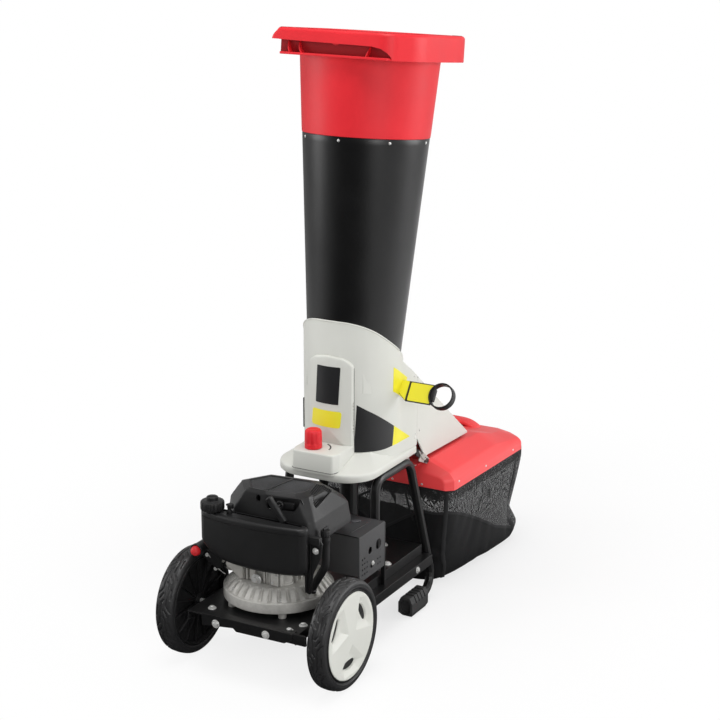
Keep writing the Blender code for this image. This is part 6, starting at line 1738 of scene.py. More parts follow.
    def column(self) -> None:
        """Control column with a flat arch, its side vents, and the ledge that carries the knob."""
        half = self.column_half
        arch = round_outline([(-half, 0.43), (half, 0.43), (half, 0.64), (0.038, 0.6545), (-0.004, 0.6592),
                              (-0.038, 0.6535), (-half, 0.64)], (0.002, 0.002, 0.014, 0.03, 0.05, 0.03, 0.014), 8)
        rings = []
        for inset, rise in ((0.0, -0.04), (0.0, -0.0036), (0.0006, -0.0016), (0.002, -0.0004), (0.004, 0.0),
                            (0.012, 0.0), (0.024, 0.0), (0.04, 0.0), (0.056, 0.0)):
            flat = offset_outline(arch, min(inset, 0.004))
            share = (half - inset) / (half - min(inset, 0.004))
            flat = flat * (share, 1.0)
            flat[:, 1] = 0.545 + (flat[:, 1] - 0.545) * (0.112 - max(inset - 0.004, 0.0)) / 0.112
            rings.append(self.column_place(flat[:, 0], flat[:, 1], rise))
        body = lofted(np.array(rings))
        vents = [block((side * half - 0.004, 0.296, 0.478 + 0.0076 * k), (side * half + 0.004, 0.3, 0.482 + 0.0076 * k),
                       0.0) for side in (-1, 1) for k in range(10)]
        obj = self.rough("control_column", body, GREY)
        carve(obj, [joined(*vents).moved(self.home)], 0.0)
        self.seat(obj, GREY, "machine")
        plan = round_outline([(-0.0545, 0.2075), (0.05, 0.2075), (0.059, 0.23), (0.059, 0.3), (-0.061, 0.3),
                              (-0.061, 0.23)], (0.008, 0.01, 0.01, 0.002, 0.002, 0.01), 8)
        levels = ((0.0, 0.398), (0.0, 0.443), (0.0006, 0.4448), (0.0018, 0.4462), (0.0034, 0.4468), (0.012, 0.4468))
        rings = []
        for inset, z in levels:
            ring = offset_outline(plan, min(inset, 0.0034))
            lean = 0.3 * (z - 0.398)
            ring = ring * (1.0 - lean, 1.0)
            ring[:, 1] = 0.3 + (ring[:, 1] - 0.3) * (1.0 - lean)
            rings.append(levelled(ring, z))
        hole = revolved([(0.0, -0.02), (0.0056, -0.02), (0.0056, 0.02), (0.0, 0.02)], 24).moved(
            Matrix.Translation((*self.knob_place, self.ledge_top)))
        ledge = self.rough("control_ledge", lofted(np.array(rings)), GREY)
        carve(ledge, [hole.moved(self.home)], 0.0)
        self.seat(ledge, GREY, "machine")
        seam = offset_outline(plan, -0.0004)
        line = levelled(seam, 0.4035)
        edge = np.array([(half + 0.0003, 0.3012, z) for z in np.linspace(0.43, 0.632, 30)])
        self.put("column_seam", joined(tube(line, 0.0007, 8, closed=True), tube(edge, 0.0006, 8, up=(1, 0, 0))), SHADOW)
        # A black strip on the housing's left side: painted shade for the inside of a vent slot, which is not cut.
        slot = block((-0.0995, 0.335, 0.456), (-0.094, 0.343, 0.529), 0.001)
        self.put("side_vent_shade_strip", slot, BLACK)

    def flange(self) -> None:
        """Flange round the housing's foot: rounded rim, sloping top, hollow underneath."""
        rings = []
        levels = ((0.0, -0.002, 0.3822), (0.0, 0.0, 0.3845), (0.0, 0.0, 0.3965), (0.0, 0.0006, 0.399),
                  (0.0, 0.0022, 0.401), (0.0, 0.005, 0.4022), (0.35, 0.005, 0.41), (0.75, 0.005, 0.42),
                  (1.0, 0.005, 0.4268), (1.1, 0.005, 0.429), (1.1, 0.009, 0.425), (0.75, 0.009, 0.416),
                  (0.35, 0.009, 0.406), (0.0, 0.009, 0.3985), (0.0, 0.005, 0.395), (0.0, 0.004, 0.3822))
        corners = np.array(((-0.1245, 0.2135), (0.1245, 0.2135), (0.1245, self.back), (-0.1245, self.back)))
        outer = round_outline(corners, (0.078, 0.078, 0.002, 0.002), 24)
        angle = np.arctan2(outer[:, 0], self.middle - outer[:, 1])
        inner = np.stack([np.sign(outer[:, 0]) * np.minimum(self.radius, np.abs(outer[:, 0])), outer[:, 1]], 1)
        round_part = outer[:, 1] < self.middle
        bow = np.stack([self.radius * np.sin(angle), self.middle - self.radius * np.cos(angle)], 1)
        inner[round_part] = bow[round_part]
        slope = 1.0 - 0.35 * smooth_step(outer[:, 1], 0.3, 0.46)
        for share, inset, z in levels:
            flat = offset_outline(outer, abs(inset))
            height = np.where(share > 0.0, 0.4022 + (z - 0.4022) * slope, z)
            rings.append(np.column_stack([flat + (inner - flat) * min(share, 1.0) * 0.96, height]))
        self.put("housing_flange", lofted(np.array(rings), caps=False, wrap=True), GREY, smooth=42.0)

    def curved_plate(self, outline: Array, rise: float, thick: float = 0.0006) -> Surface:
        """A thin plate on the column's bowed face, with a given outline in x and z.

        Args:
            outline: its corners, in order round it.
            rise: distance of its face from the column's.
            thick: its thickness.

        Returns:
            The surface: horizontal rows between the outline's left and right sides.
        """
        low, high = outline[:, 1].min(), outline[:, 1].max()
        levels = low + (high - low) * (0.5 - 0.5 * np.cos(np.linspace(0.0, math.pi, 25)))
        rows_out, rows_in = [], []
        closed = np.vstack([outline, outline[:1]])
        for z in levels:
            z = min(max(z, low + 1e-6), high - 1e-6)
            cross = []
            for (x0, z0), (x1, z1) in zip(closed[:-1], closed[1:]):
                if (z0 - z) * (z1 - z) <= 0.0 and z0 != z1:
                    cross.append(x0 + (x1 - x0) * (z - z0) / (z1 - z0))
            x = np.linspace(min(cross), max(cross), 17)
            rows_out.append(self.column_place(x, np.full(17, z), rise))
            rows_in.append(self.column_place(x, np.full(17, z), rise - thick))
        return sheet(np.array(rows_out), np.array(rows_in))

    def labels(self) -> None:
        """Bare plates and decals, each with its outline and no print: black, yellow and the side wedge."""
        plate = round_outline([(-0.0345, 0.5445), (0.0262, 0.5445), (0.0316, 0.6345), (-0.0288, 0.6345)], 0.0015, 3)
        self.put("rating_plate", self.curved_plate(plate, 0.0007), LABEL_BLACK)
        yellow = round_outline([(-0.0485, 0.488), (0.03, 0.488), (0.0345, 0.528), (-0.044, 0.528)], 0.006, 6)
        self.put("column_label", self.curved_plate(yellow, 0.0007), YELLOW)
        low = smooth_path([(0.058, 0.4292), (0.079, 0.4282), (0.103, 0.4282), (0.129, 0.429), (0.158, 0.432)], 50)
        high = smooth_path([(0.065, 0.544), (0.0844, 0.5326), (0.1086, 0.5184), (0.1356, 0.5001), (0.1636, 0.4801)], 50)
        self.put("side_wedge", self.patch(low, high, 14, 0.0011, 0.001), LABEL_BLACK)
        share = np.linspace(0.0, 1.0, 16)[:, None]
        low = np.array(((0.159, 0.432),)) * (1 - share) + np.array(((0.233, 0.4335),)) * share
        high = np.array(((0.1646, 0.4795),)) * (1 - share) + np.array(((0.2334, 0.4345),)) * share
        self.put("wedge_tip", self.patch(low, high, 8, 0.0011, 0.001), YELLOW)
        low = np.array([(0.16, 0.564), (0.174, 0.556), (0.19, 0.5455), (0.204, 0.536)])
        high = np.array([(0.162, 0.6225), (0.182, 0.61), (0.204, 0.595), (0.221, 0.583)])
        self.put("gate_label", self.patch(smooth_path(low, 24), smooth_path(high, 24), 8, 0.0011, 0.001), YELLOW)
        arc = np.radians(np.linspace(4, 64, 18))
        outer, inner = (np.array(self.knob_place) + radius * np.column_stack([np.cos(arc), np.sin(arc)])
                        for radius in (0.0415, 0.038))
        mark = slab(np.vstack([outer, inner[::-1]]), 0.4464, 0.4471)
        self.put("knob_mark", mark, LABEL_BLACK)

    def knob(self) -> None:
        """Control knob: a round body with eight flats between shallow ribs, and its stem."""
        r, high = 0.0203, 0.0455
        profile = [(0.0, 0.0006), (r - 0.0012, 0.0006), (r, 0.0018), (r, 0.0105), (r - 0.0006, 0.0115),
                   (r - 0.0006, 0.0125), (r - 0.0001, 0.0135), (r - 0.0004, 0.03), (r - 0.0008, high - 0.006),
                   (r - 0.002, high - 0.0028), (r - 0.0046, high - 0.0008), (r - 0.008, high),
                   (r - 0.009, high - 0.0006), (0.0, high - 0.0008)]

        def flats(angle: Array, index: Array) -> Array:
            """Eight flats on the knob's side, with ribs between them."""
            part = (index >= 6) & (index <= 9)
            return -0.0013 * (0.5 - 0.5 * np.tanh(4.0 * np.cos(8 * angle) + 1.0)) * part
        body = revolved(profile, 160, flats)
        stem = revolved([(0.0, -0.0135), (0.005, -0.0135), (0.005, 0.001), (0.0, 0.001)], 20)
        pointer = block((-0.0008, -0.0172, 0.014), (0.0008, -0.015, high - 0.005), 0.0004)
        place = Matrix.Translation((*self.knob_place, self.ledge_top)) @ Matrix.Rotation(math.radians(22), 4, "Z")
        self.put("knob_body", joined(body, stem, pointer).moved(place), RED, "knob", 30.0, ["control_knob"])

    def gate_matrix(self, x: float) -> Matrix:
        """From the gate's own coordinates (across, up its face, out of it) to the machine's."""
        tilt = math.radians(34.3)
        s, c = math.sin(tilt), math.cos(tilt)
        return Matrix(((1.0, 0.0, 0.0, x), (0.0, s, -c, 0.41), (0.0, c, s, 0.56), (0.0, 0.0, 0.0, 1.0)))

    def gate(self) -> None:
        """Slide gate with its bordered yellow face, and the thick ring that pulls it."""
        place = self.gate_matrix(0.0)
        plate = slab([(0.0, -0.006), (0.116, -0.006), (0.1395, -0.0245), (0.204, -0.0245), (0.204, 0.0245),
                      (0.0, 0.0245)], -0.002, 0.002, 0.0004, 1)
        self.put("gate_plate", plate.moved(place), LABEL_BLACK, "gate", replaces=["slide_gate"])
        face = rounded_slab([(0.144, -0.0222), (0.202, -0.0222), (0.202, 0.0222), (0.144, 0.0222)], 0.003, 5, 0.0019,
                            0.0024, 0.0001, 1)
        strip = slab([(0.11, -0.0046), (0.117, -0.0052), (0.1388, -0.0232), (0.1388, 0.024), (0.11, 0.024)],
                     0.0019, 0.0024, 0.0001, 1)
        rear = rounded_slab([(0.145, -0.0225), (0.2, -0.0225), (0.2, 0.0225), (0.145, 0.0225)], 0.003, 5, -0.0023,
                            -0.0019, 0.0001, 1)
        self.put("gate_face", joined(face, strip, rear).moved(place), YELLOW, "gate")
        outer, hole, half = 0.031, 0.0272, 0.009
        t = np.linspace(0.0, math.pi / 2, 5)
        side = [(outer - 0.0014 + 0.0014 * math.sin(a), 0.0014 - 0.0014 * math.cos(a) - half) for a in t]
        side += [(r, -z) for r, z in side[::-1]]
        inner = [(hole + 0.001 * (1 - math.sin(a)), half - 0.001 + 0.001 * math.cos(a)) for a in t]
        inner += [(r, -z) for r, z in inner[::-1]]
        ring = revolved(side + inner, 96)
        self.put("gate_pull_ring", ring.moved(self.gate_matrix(0.2275)), BLACK, "gate", replaces=["gate_ring"])
        clamp = rounded_slab([(0.1985, -0.015), (0.21, -0.015), (0.21, 0.015), (0.1985, 0.015)], 0.002, 3, -0.006,
                             0.006, 0.0012, 2)
        self.put("ring_clamp", clamp.moved(place), BLACK, "gate")

    def flap(self) -> None:
        """Discharge flap: the CAD flap with rounder edges, its side cheeks and its side screws."""
        obj = node_copy(self.machine, "discharge_flap", "flap_moulding", GREY, 0.0022)
        self.seat(obj, GREY, "flap", ["discharge_flap"])
        cheeks = []
        for side in (-1, 1):
            cheek = slab([(0.4874, 0.418), (0.496, 0.41), (0.496, 0.564), (0.4874, 0.569)], -0.0022, 0.0022, 0.0004, 1)
            cheeks.append(sided(cheek, (side * 0.1224, 0.0, 0.0)))
        self.put("flap_cheeks", joined(*cheeks), GREY, "flap")
        screws = [turn_to((side, 0, 0), (side * 0.1244, y, z), 20.0) for side in (-1, 1)
                  for y, z in ((0.501, 0.435), (0.501, 0.545))]
        self.put("flap_screws", scattered(rivet(0.003), screws), STEEL, "flap")

    def fittings(self) -> None:
        """Screws of the housing, its hooks' springs and the clips at the flap's foot."""
        spots = []
        for side in (-1, 1):
            spots += [turn_to((side, 0, 0), (side * 0.124, y, z), 30.0) for y, z in
                      ((0.478, 0.423), (0.48, 0.433), (0.472, 0.578))]
        self.put("housing_screws", scattered(cross_screw(0.0028), spots), STEEL)
        plates, links = [], []
        for side in (-1, 1):
            plate = rounded_slab([(0.4925, 0.3596), (0.5514, 0.333), (0.5554, 0.344), (0.5212, 0.3716),
                                  (0.5028, 0.3704)], 0.003, 4, -0.0012, 0.0012, 0.0004, 1)
            plates.append(sided(plate, (side * 0.1262, 0.0, 0.0)))
            hook = tube(smooth_path([(side * 0.1265, 0.496, 0.384), (side * 0.129, 0.506, 0.366),
                                     (side * 0.129, 0.52, 0.356), (side * 0.127, 0.533, 0.36)], 16), 0.0018, 10,
                        up=(1.0, 0.0, 0.0))
            plates.append(hook)
            link = rounded_slab([(0.48, 0.378), (0.499, 0.366), (0.514, 0.37), (0.513, 0.376), (0.4919, 0.39)], 0.003,
                                4, -0.0026, 0.0026, 0.0008, 2)
            links.append(sided(link, (side * 0.124, 0.0, 0.0)))
            links.append(sided(rounded_slab([(0.52, 0.348), (0.54, 0.342), (0.543, 0.35), (0.525, 0.36)], 0.002, 3,
                                            -0.0022, 0.0022, 0.0006, 1), (side * 0.1275, 0.0, 0.0)))
        self.put("latch_plates", joined(*plates), DULL_ALLOY)
        self.put("latch_links", joined(*links), BLACK)


@dataclass
class Hopper(SubAssembly):
    """The leaning hopper: black tube and red funnel with its rim and carrying grip.

    Attributes:
        foot: a point on the hopper's axis in the machine's coordinates.
        lean: the axis leans back by this, in radians.
        radius: the cone's outer radius at the foot point.
        flare: growth of that radius along the axis.
        tube_low: where the tube starts along the axis.
        tube_high: where it ends.
        rim_low: lower edge of the funnel's rim.
        rim_high: its top.
        rim_half: half its width.
        lip_front: distance of the front lip's edge from the axis.
    """

    foot: tuple[float, float, float] = (0.0, 0.4106, 0.7)
    lean: float = math.atan(0.114)
    radius: float = 0.114
    flare: float = 0.0735
    tube_low: float = -0.09
    tube_high: float = 0.4445
    rim_low: float = 0.618
    rim_high: float = 0.677
    rim_half: float = 0.185
    lip_front: float = 0.181

    def build(self) -> None:
        """Build and dress every piece."""
        self.barrel()
        self.funnel()
        self.rim()
        self.grip()

    def matrix(self) -> Matrix:
        """From hopper coordinates (across, back, along the axis) to the machine's."""
        return Matrix.Translation(Vector(self.foot)) @ Matrix.Rotation(-self.lean, 4, "X")

    def cone(self, along: float) -> float:
        """Outer radius at a place along the axis."""
        return self.radius + self.flare * along

    def barrel(self) -> None:
        """Tube: a thin cone with rolled ends, its overlap seam behind and rivets round its top."""
        skin, low, high = 0.0022, self.tube_low, self.tube_high
        profile = [(self.cone(low) - skin, low + 0.001), (self.cone(low) - 0.0003, low)]
        profile += [(self.cone(a), a) for a in np.linspace(low + 0.001, high - 0.0015, 40)]
        profile += [(self.cone(high) - 0.0006, high - 0.0002), (self.cone(high) - skin, high - 0.0006)]
        profile += [(self.cone(a) - skin, a) for a in np.linspace(high - 0.004, low + 0.004, 20)]
        body = revolved(profile, 160)
        seam = []
        for side in (-0.006, 0.006):
            seam.append([(side, self.cone(a) + 0.0004, a) for a in np.linspace(low + 0.1, high - 0.002, 12)])
        face = np.array(seam).transpose(1, 0, 2)
        strip = sheet(face, face - np.array((0.0, 0.0012, 0.0)))
        self.put("hopper_barrel", joined(body, strip).moved(self.matrix()), HOPPER_BLACK, smooth=50.0,
                 replaces=["hopper_tube"])
        spots = []
        for turn in (-41.5, 3.8, 50.0, 97.0, 142.0, 187.0, 232.0, 277.0):
            a = math.radians(turn)
            place = (self.cone(high - 0.0085) * math.sin(a), -self.cone(high - 0.0085) * math.cos(a), high - 0.0085)
            spots.append(turn_to((math.sin(a), -math.cos(a), -self.flare), place, turn))
        heads = scattered(rivet(0.0034), spots)
        self.put("hopper_rivets", heads.moved(self.matrix()), STEEL, smooth=60.0)

    def funnel(self) -> None:
        """Funnel's cone and spigot, with a small step where it sits on the tube."""
        wall, low, high = 0.0032, self.tube_high + 0.0002, self.rim_high
        spigot = self.cone(self.tube_high - 0.04) - 0.0028
        outer = [(spigot, self.tube_high - 0.04), (spigot + 0.0027, low), (self.cone(low) - 0.0004, low),
                 (self.cone(low) + 0.001, low + 0.0008), (self.cone(low) + 0.0012, low + 0.003)]
        outer += [(self.cone(a) + 0.0012, a) for a in np.linspace(low + 0.01, high - 0.004, 18)]
        inner = [(self.cone(a) - wall, a) for a in np.linspace(high - 0.012, low + 0.006, 14)]
        inner += [(spigot - wall + 0.0022, self.tube_high), (spigot - wall, self.tube_high - 0.04)]
        edge = [(self.cone(high) + 0.002, high - 0.0005), (self.cone(high) - wall + 0.002, high - 0.0035)]
        self.put("funnel_cone", revolved(outer + edge + inner, 144).moved(self.matrix()), RED, smooth=40.0,
                 replaces=["hopper_funnel"])

    def rim_outline(self, inset: float) -> Array:
        """Plan of the rim: round behind, straight sides, blunt corners and a straight front lip.

        Args:
            inset: how far it lies inwards.

        Returns:
            The corners, counter-clockwise.
        """
        half, front = self.rim_half, self.lip_front
        corners = [(-0.154, -front), (0.14, -front), (half, -0.108), (half, half), (-half, half), (-half, -0.108)]
        plan = round_outline(corners, (0.01, 0.045, 0.1, 0.104, 0.104, 0.06), 18)
        return offset_outline(filled(plan, 0.008), inset)

    def drooped(self, plan: Array, z: float) -> Array:
        """A level of the rim, lower at its blunt left end in front, by a share of how far past it a point lies."""
        past = np.clip(-0.1366 - plan[:, 0], 0.0, 0.02) * smooth_step(-plan[:, 1], 0.1, 0.15)
        return np.column_stack([plan, z - 0.96 * past * (z > self.rim_high - 0.02)])

    def rim(self) -> None:
        """Rim: a hollow skirt with a rounded top and a sloping hem."""
        low, high, wall = self.rim_low, self.rim_high, 0.0035
        t = np.linspace(0.0, math.pi / 2, 6)
        levels = [(wall, low + 0.0008), (wall - 0.001, low), (0.0008, low), (0.0, low + 0.0008), (0.0, low + 0.02),
                  (0.0, high - 0.0085)]
        levels += [(0.008 * (1 - math.cos(a)), high - 0.008 + 0.008 * math.sin(a)) for a in t[1:]]
        rings = [self.drooped(self.rim_outline(i), z) for i, z in levels]
        angle = np.arctan2(rings[0][:, 0], -rings[0][:, 1])
        mouth = self.cone(high) + 0.002
        for wider, drop in ((0.003, 0.0), (0.0008, 0.0004), (-0.0008, 0.0018), (-0.0012, 0.009), (0.0018, 0.009),
                            (0.0045, 0.004)):
            circle = (mouth + wider) * np.column_stack([np.sin(angle), -np.cos(angle)])
            rings.append(levelled(circle, high - drop))
        rings.append(self.drooped(self.rim_outline(wall), high - 0.004))
        body = lofted(np.array(rings), caps=False, wrap=True)
        obj = self.rough("funnel_rim", body.moved(self.matrix()), RED)
        hook = [(-0.19, low - 0.01), (0.144, low - 0.01), (0.144, low + 0.006), (0.136, low + 0.016),
                (0.122, low + 0.0245), (0.1, low + 0.0285), (-0.19, low + 0.033)]
        opening = rounded_slab(hook, (0.0, 0.0, 0.006, 0.012, 0.012, 0.01, 0.0), 6, 0.15, 0.3)
        corner = block((-0.3, -0.3, low - 0.01), (-0.1345, -0.06, low + 0.0325), 0.0)
        shift = self.home @ self.matrix()
        carve(obj, [c.moved(shift) for c in (stood(opening), corner)], 0.0006, 35.0, "EXACT")
        self.seat(obj, RED, "machine")
        # Thin dark red beads along the inner top edge of the front lip and the right side: painted shade, broken by
        # gaps where the edge has breaks.
        inset, top = 0.0078, high - 0.0003
        edge = self.rim_outline(inset)
        lines = [np.array([(x, -self.lip_front + inset, top) for x in ends]) for ends in
                 ((-0.136, -0.105), (-0.097, -0.074), (-0.066, -0.04), (-0.032, 0.13))]
        lines.append(levelled(edge[edge[:, 0] > 0.12], top))
        beads = [tube(line, 0.0009, 8) for line in lines]
        self.put("rim_edge_shade_line", joined(*beads).moved(self.matrix()), RED_PAINTED_SHADE)

    def grip(self) -> None:
        """Grip behind the front lip: a wall, a thin lower ledge and end ribs."""
        low, high, front = self.rim_low, self.rim_high, self.lip_front
        back = -front + 0.0185
        wall = block((-0.14, back, low), (0.1385, back + 0.0034, high - 0.003), 0.0008)
        ledge = round_outline([(-0.134, -front + 0.003), (0.137, -front + 0.0026), (0.147, back + 0.004),
                               (-0.14, back + 0.004)], 0.003, 4)
        parts = [slab(ledge, low, low + 0.0056, 0.0014, 2)]
        for x, top, lean in ((-0.118, 0.03, 0.01), (-0.09, 0.03, 0.012), (0.088, 0.028, -0.006)):
            rings = []
            for k in range(9):
                t = k / 8.0
                z = low + 0.002 + (top - 0.002) * t
                reach = back + 0.001 + (-front + 0.0035 - back) * (1.0 - 0.75 * t ** 2)
                w = x + lean * (1.0 - t) ** 1.5
                rings.append([(w - 0.0013, back + 0.001, z), (w - 0.0013, reach, z), (w + 0.0013, reach, z),
                              (w + 0.0013, back + 0.001, z)])
            parts.append(lofted(np.array(rings)))
        # The grip's back wall takes the darker red: painted shade for the recess behind the front lip.
        self.put("grip_wall", wall.moved(self.matrix()), RED_PAINTED_SHADE, smooth=30.0)
        self.put("grip_brackets", joined(*parts).moved(self.matrix()), RED, smooth=30.0)


@dataclass
class Catcher(SubAssembly):
    """The catcher: a moulded hood on a wire frame, with a cloth bag that hangs from it.

    Attributes:
        stations: rows of the hood's y, half width, shoulder and top.
        wall: thickness of the hood.
        skirt: height of its upright lower edge.
        bevel: how far its flank leans in above that.
        levels: rows of the bag's height share, front half width, back half width, front and back.
        columns: columns of the cloth's grid.
        rows: rows of its walls.
        floor_rows: rings of its floor.
        slack: how much wider than the frame the cloth is cut.
        frames: steps of the simulation.
        inlet: corners of the hood's inlet, in x and y.
        girth: length of the walls' map round the bag.
        cloth_width: width of the walls' cloth with its hem; not used.
        cloth_rows: rows of each finished wall.
    """

    stations: tuple = ((0.524, 0.18, 0.112, 0.3225), (0.542, 0.199, 0.128, 0.347), (0.554, 0.2, 0.132, 0.3505),
                       (0.64, 0.2, 0.135, 0.349), (0.8, 0.2, 0.138, 0.343), (0.88, 0.2, 0.142, 0.318),
                       (0.935, 0.2, 0.134, 0.307), (0.978, 0.16, 0.112, 0.298), (0.99, 0.148, 0.1, 0.287))
    wall: float = 0.003
    skirt: float = 0.026
    bevel: float = 0.014
    levels: tuple = ((0.0000, 0.108, 0.156, 0.596, 0.986), (0.045, 0.12, 0.17, 0.588, 0.997),
                     (0.15, 0.132, 0.182, 0.576, 1.000), (0.35, 0.148, 0.166, 0.56, 0.974),
                     (0.65, 0.168, 0.184, 0.546, 0.978), (0.865, 0.184, 0.194, 0.535, 0.982),
                     (1.0000, 0.195, 0.195, 0.53, 0.98))
    columns: int = 168
    rows: int = 46
    floor_rows: int = 14
    slack: float = 0.022
    frames: int = 46
    inlet: tuple = ((-0.105, 0.552), (0.105, 0.552), (0.105, 0.735), (-0.105, 0.735))
    girth: float = 1.28
    cloth_width: float = 1.3
    cloth_rows: int = 26

    def build(self) -> None:
        """Build and dress every piece."""
        self.dress(["bag_frame"], STEEL)
        self.hood()
        self.handle()
        self.rivets()
        self.bag()

    @staticmethod
    def hood_low(y: Array) -> Array:
        """Height of the hood's lower edge at y."""
        return 0.282 - 0.016 * (y - 0.524) / 0.466

    def hood_ring(self, y: float, inset: float, drop: float = 0.0) -> Array:
        """One cross-section of the hood: skirt, flank and flat top with round corners.

        Args:
            y: where it is cut.
            inset: how far it lies inwards.
            drop: how far its lower edge is lengthened.

        Returns:
            The ring's points.
        """
        table = np.array(self.stations)
        half, shoulder, top = (float(np.interp(y, table[:, 0], table[:, k])) for k in (1, 2, 3))
        low = float(self.hood_low(y))
        knee = low + min(self.skirt, 0.7 * (top - low))
        mid = knee + (top - knee) * 0.42
        corners = [(-half, low), (half, low), (half, knee), (half - self.bevel, mid), (shoulder, top), (-shoulder, top),
                   (-half + self.bevel, mid), (-half, knee)]
        flat = offset_outline(round_outline(corners, (0.0, 0.0, 0.016, 0.02, 0.014, 0.014, 0.02, 0.016), 7), inset)
        flat[:2, 1] -= drop
        return np.column_stack([flat[:, 0], np.full(len(flat), y), flat[:, 1]])

    def hull(self, inset: float, drop: float) -> Surface:
        """The hood's solid hull, with round front and rear edges."""
        first, last = self.stations[0][0] + inset, self.stations[-1][0] - inset
        edge = 0.003
        t = np.linspace(0.0, math.pi / 2, 5)
        rows = [(first + edge * (1 - math.cos(a)), edge * (1 - math.sin(a))) for a in t]
        rows += [(y, 0.0) for y in smooth_path([[s[0]] for s in self.stations[1:-1]], 60)[:, 0]]
        rows += [(last - edge * (1 - math.cos(a)), edge * (1 - math.sin(a))) for a in t[::-1]]
        return lofted(np.array([self.hood_ring(y, inset + more, drop) for y, more in rows]))

    def hood(self) -> None:
        """Hood: outer hull less inner hull and the inlet, with a rim round the inlet and a front lip."""
        # The hood's pieces take the lighter red, which is painted light.
        obj = self.rough("hood_moulding", self.hull(0.0, 0.0), HOOD_RED_PAINTED_LIGHT)
        outer = round_outline(self.inlet, 0.015, 6)
        inlet = slab(outer, 0.32, 0.38)
        grasp = rounded_slab([(-0.056, 0.91), (0.056, 0.91), (0.056, 0.95), (-0.056, 0.95)], 0.01, 5, 0.29, 0.33)
        carve(obj, [s.moved(self.home) for s in (self.hull(self.wall, 0.02), inlet, grasp)], 0.0006, 30.0)
        self.seat(obj, HOOD_RED_PAINTED_LIGHT, "bag", ["bag_hood"])
        loop = levelled(offset_outline(outer, 0.0006), 0.0)
        table = np.array(self.stations)
        loop[:, 2] = np.interp(loop[:, 1], table[:, 0], table[:, 3]) - 0.0024
        lip = slab([(-0.116, 0.512), (0.116, 0.512), (0.116, 0.546), (-0.116, 0.546)], 0.3412, 0.3444, 0.001, 2)
        self.put("hood_inlet_rim", tube(loop, 0.0024, 10, closed=True), HOOD_RED_PAINTED_LIGHT, "bag")
        self.put("hood_front_lip", lip, HOOD_RED_PAINTED_LIGHT, "bag")

    def handle(self) -> None:
        """Handle: a wide moulded bridge whose feet spread into the hood's top."""
        half = [(0.0, 0.3205), (0.02, 0.3204), (0.036, 0.3196), (0.05, 0.317), (0.062, 0.312), (0.072, 0.305),
                (0.076, 0.298)]
        path = smooth_path([(-x, z) for x, z in half[:0:-1]] + half, 61)
        ahead = np.gradient(path, axis=0)
        ahead /= np.linalg.norm(ahead, axis=1, keepdims=True)
        across = np.column_stack([-ahead[:, 1], ahead[:, 0]])
        angle = full_turn(36)
        middle, thick, c, s = 0.93, 0.0078, np.cos(angle), np.sin(angle)
        rings = []
        for k, (x, z) in enumerate(path):
            spread = 0.015 + 0.006 * abs(x / 0.084) ** 4
            wide, up = spread * np.sign(c) * np.abs(c) ** 0.62, thick * np.sign(s) * np.abs(s) ** 0.75
            rings.append(np.column_stack([x + across[k, 0] * up, middle + wide, z + across[k, 1] * up]))
        self.put("hood_handle", lofted(np.array(rings)), HOOD_RED_PAINTED_LIGHT, "bag", 60.0)

    def rivets(self) -> None:
        """Pale rivets that hold the cloth along the hood's edge."""
        spots = []
        for side in (-1, 1):
            spots += [turn_to((side, 0, 0), (side * 0.2, y, z))
                      for y, z in ((0.566, 0.298), (0.719, 0.289), (0.882, 0.281))]
            spots += [turn_to((0, -1, 0), (side * 0.1205, 0.5236, 0.2895)),
                      turn_to((0, -1, 0), (side * 0.04, 0.5236, 0.2895)),
                      turn_to((0, 1, 0), (side * 0.11, 0.9903, 0.276))]
        self.put("hood_rivets", scattered(rivet(0.0028), spots), STEEL, "bag", 60.0)

    def bag_ring(self, share: float, inset: float = 0.0) -> Array:
        """One level of the bag, read at even distances from the middle of its back.

        Args:
            share: height as a share of the bag's.
            inset: how far it lies inwards.

        Returns:
            The ring's points.
        """
        table = np.array(self.levels)
        front_half, back_half, front, back = (float(np.interp(share, table[:, 0], table[:, k])) for k in (1, 2, 3, 4))
        corners = [(back_half, back), (-back_half, back), (-front_half, front), (front_half, front)]
        flat = offset_outline(round_outline(corners, (0.046, 0.046, 0.028, 0.028), 14), inset)
        start = np.array((0.0, back - inset))
        line = np.vstack([start, flat[15:], flat[:15], start])
        reach = np.concatenate([[0.0], np.cumsum(np.linalg.norm(np.diff(line, axis=0), axis=1))])
        even = np.linspace(0.0, reach[-1], self.columns, endpoint=False)
        ring = np.column_stack([np.interp(even, reach, line[:, 0]), np.interp(even, reach, line[:, 1])])
        slope = float(smooth_step(np.array(share), 0.5, 1.0))
        top = self.hood_low(ring[:, 1]) * slope + 0.274 * (1 - slope) + 0.004
        lift = 0.014 * smooth_step(ring[:, 1], 0.88, 0.99) * (1.0 - share)
        return np.column_stack([ring, 0.0022 + lift + share * (top - 0.0022)])

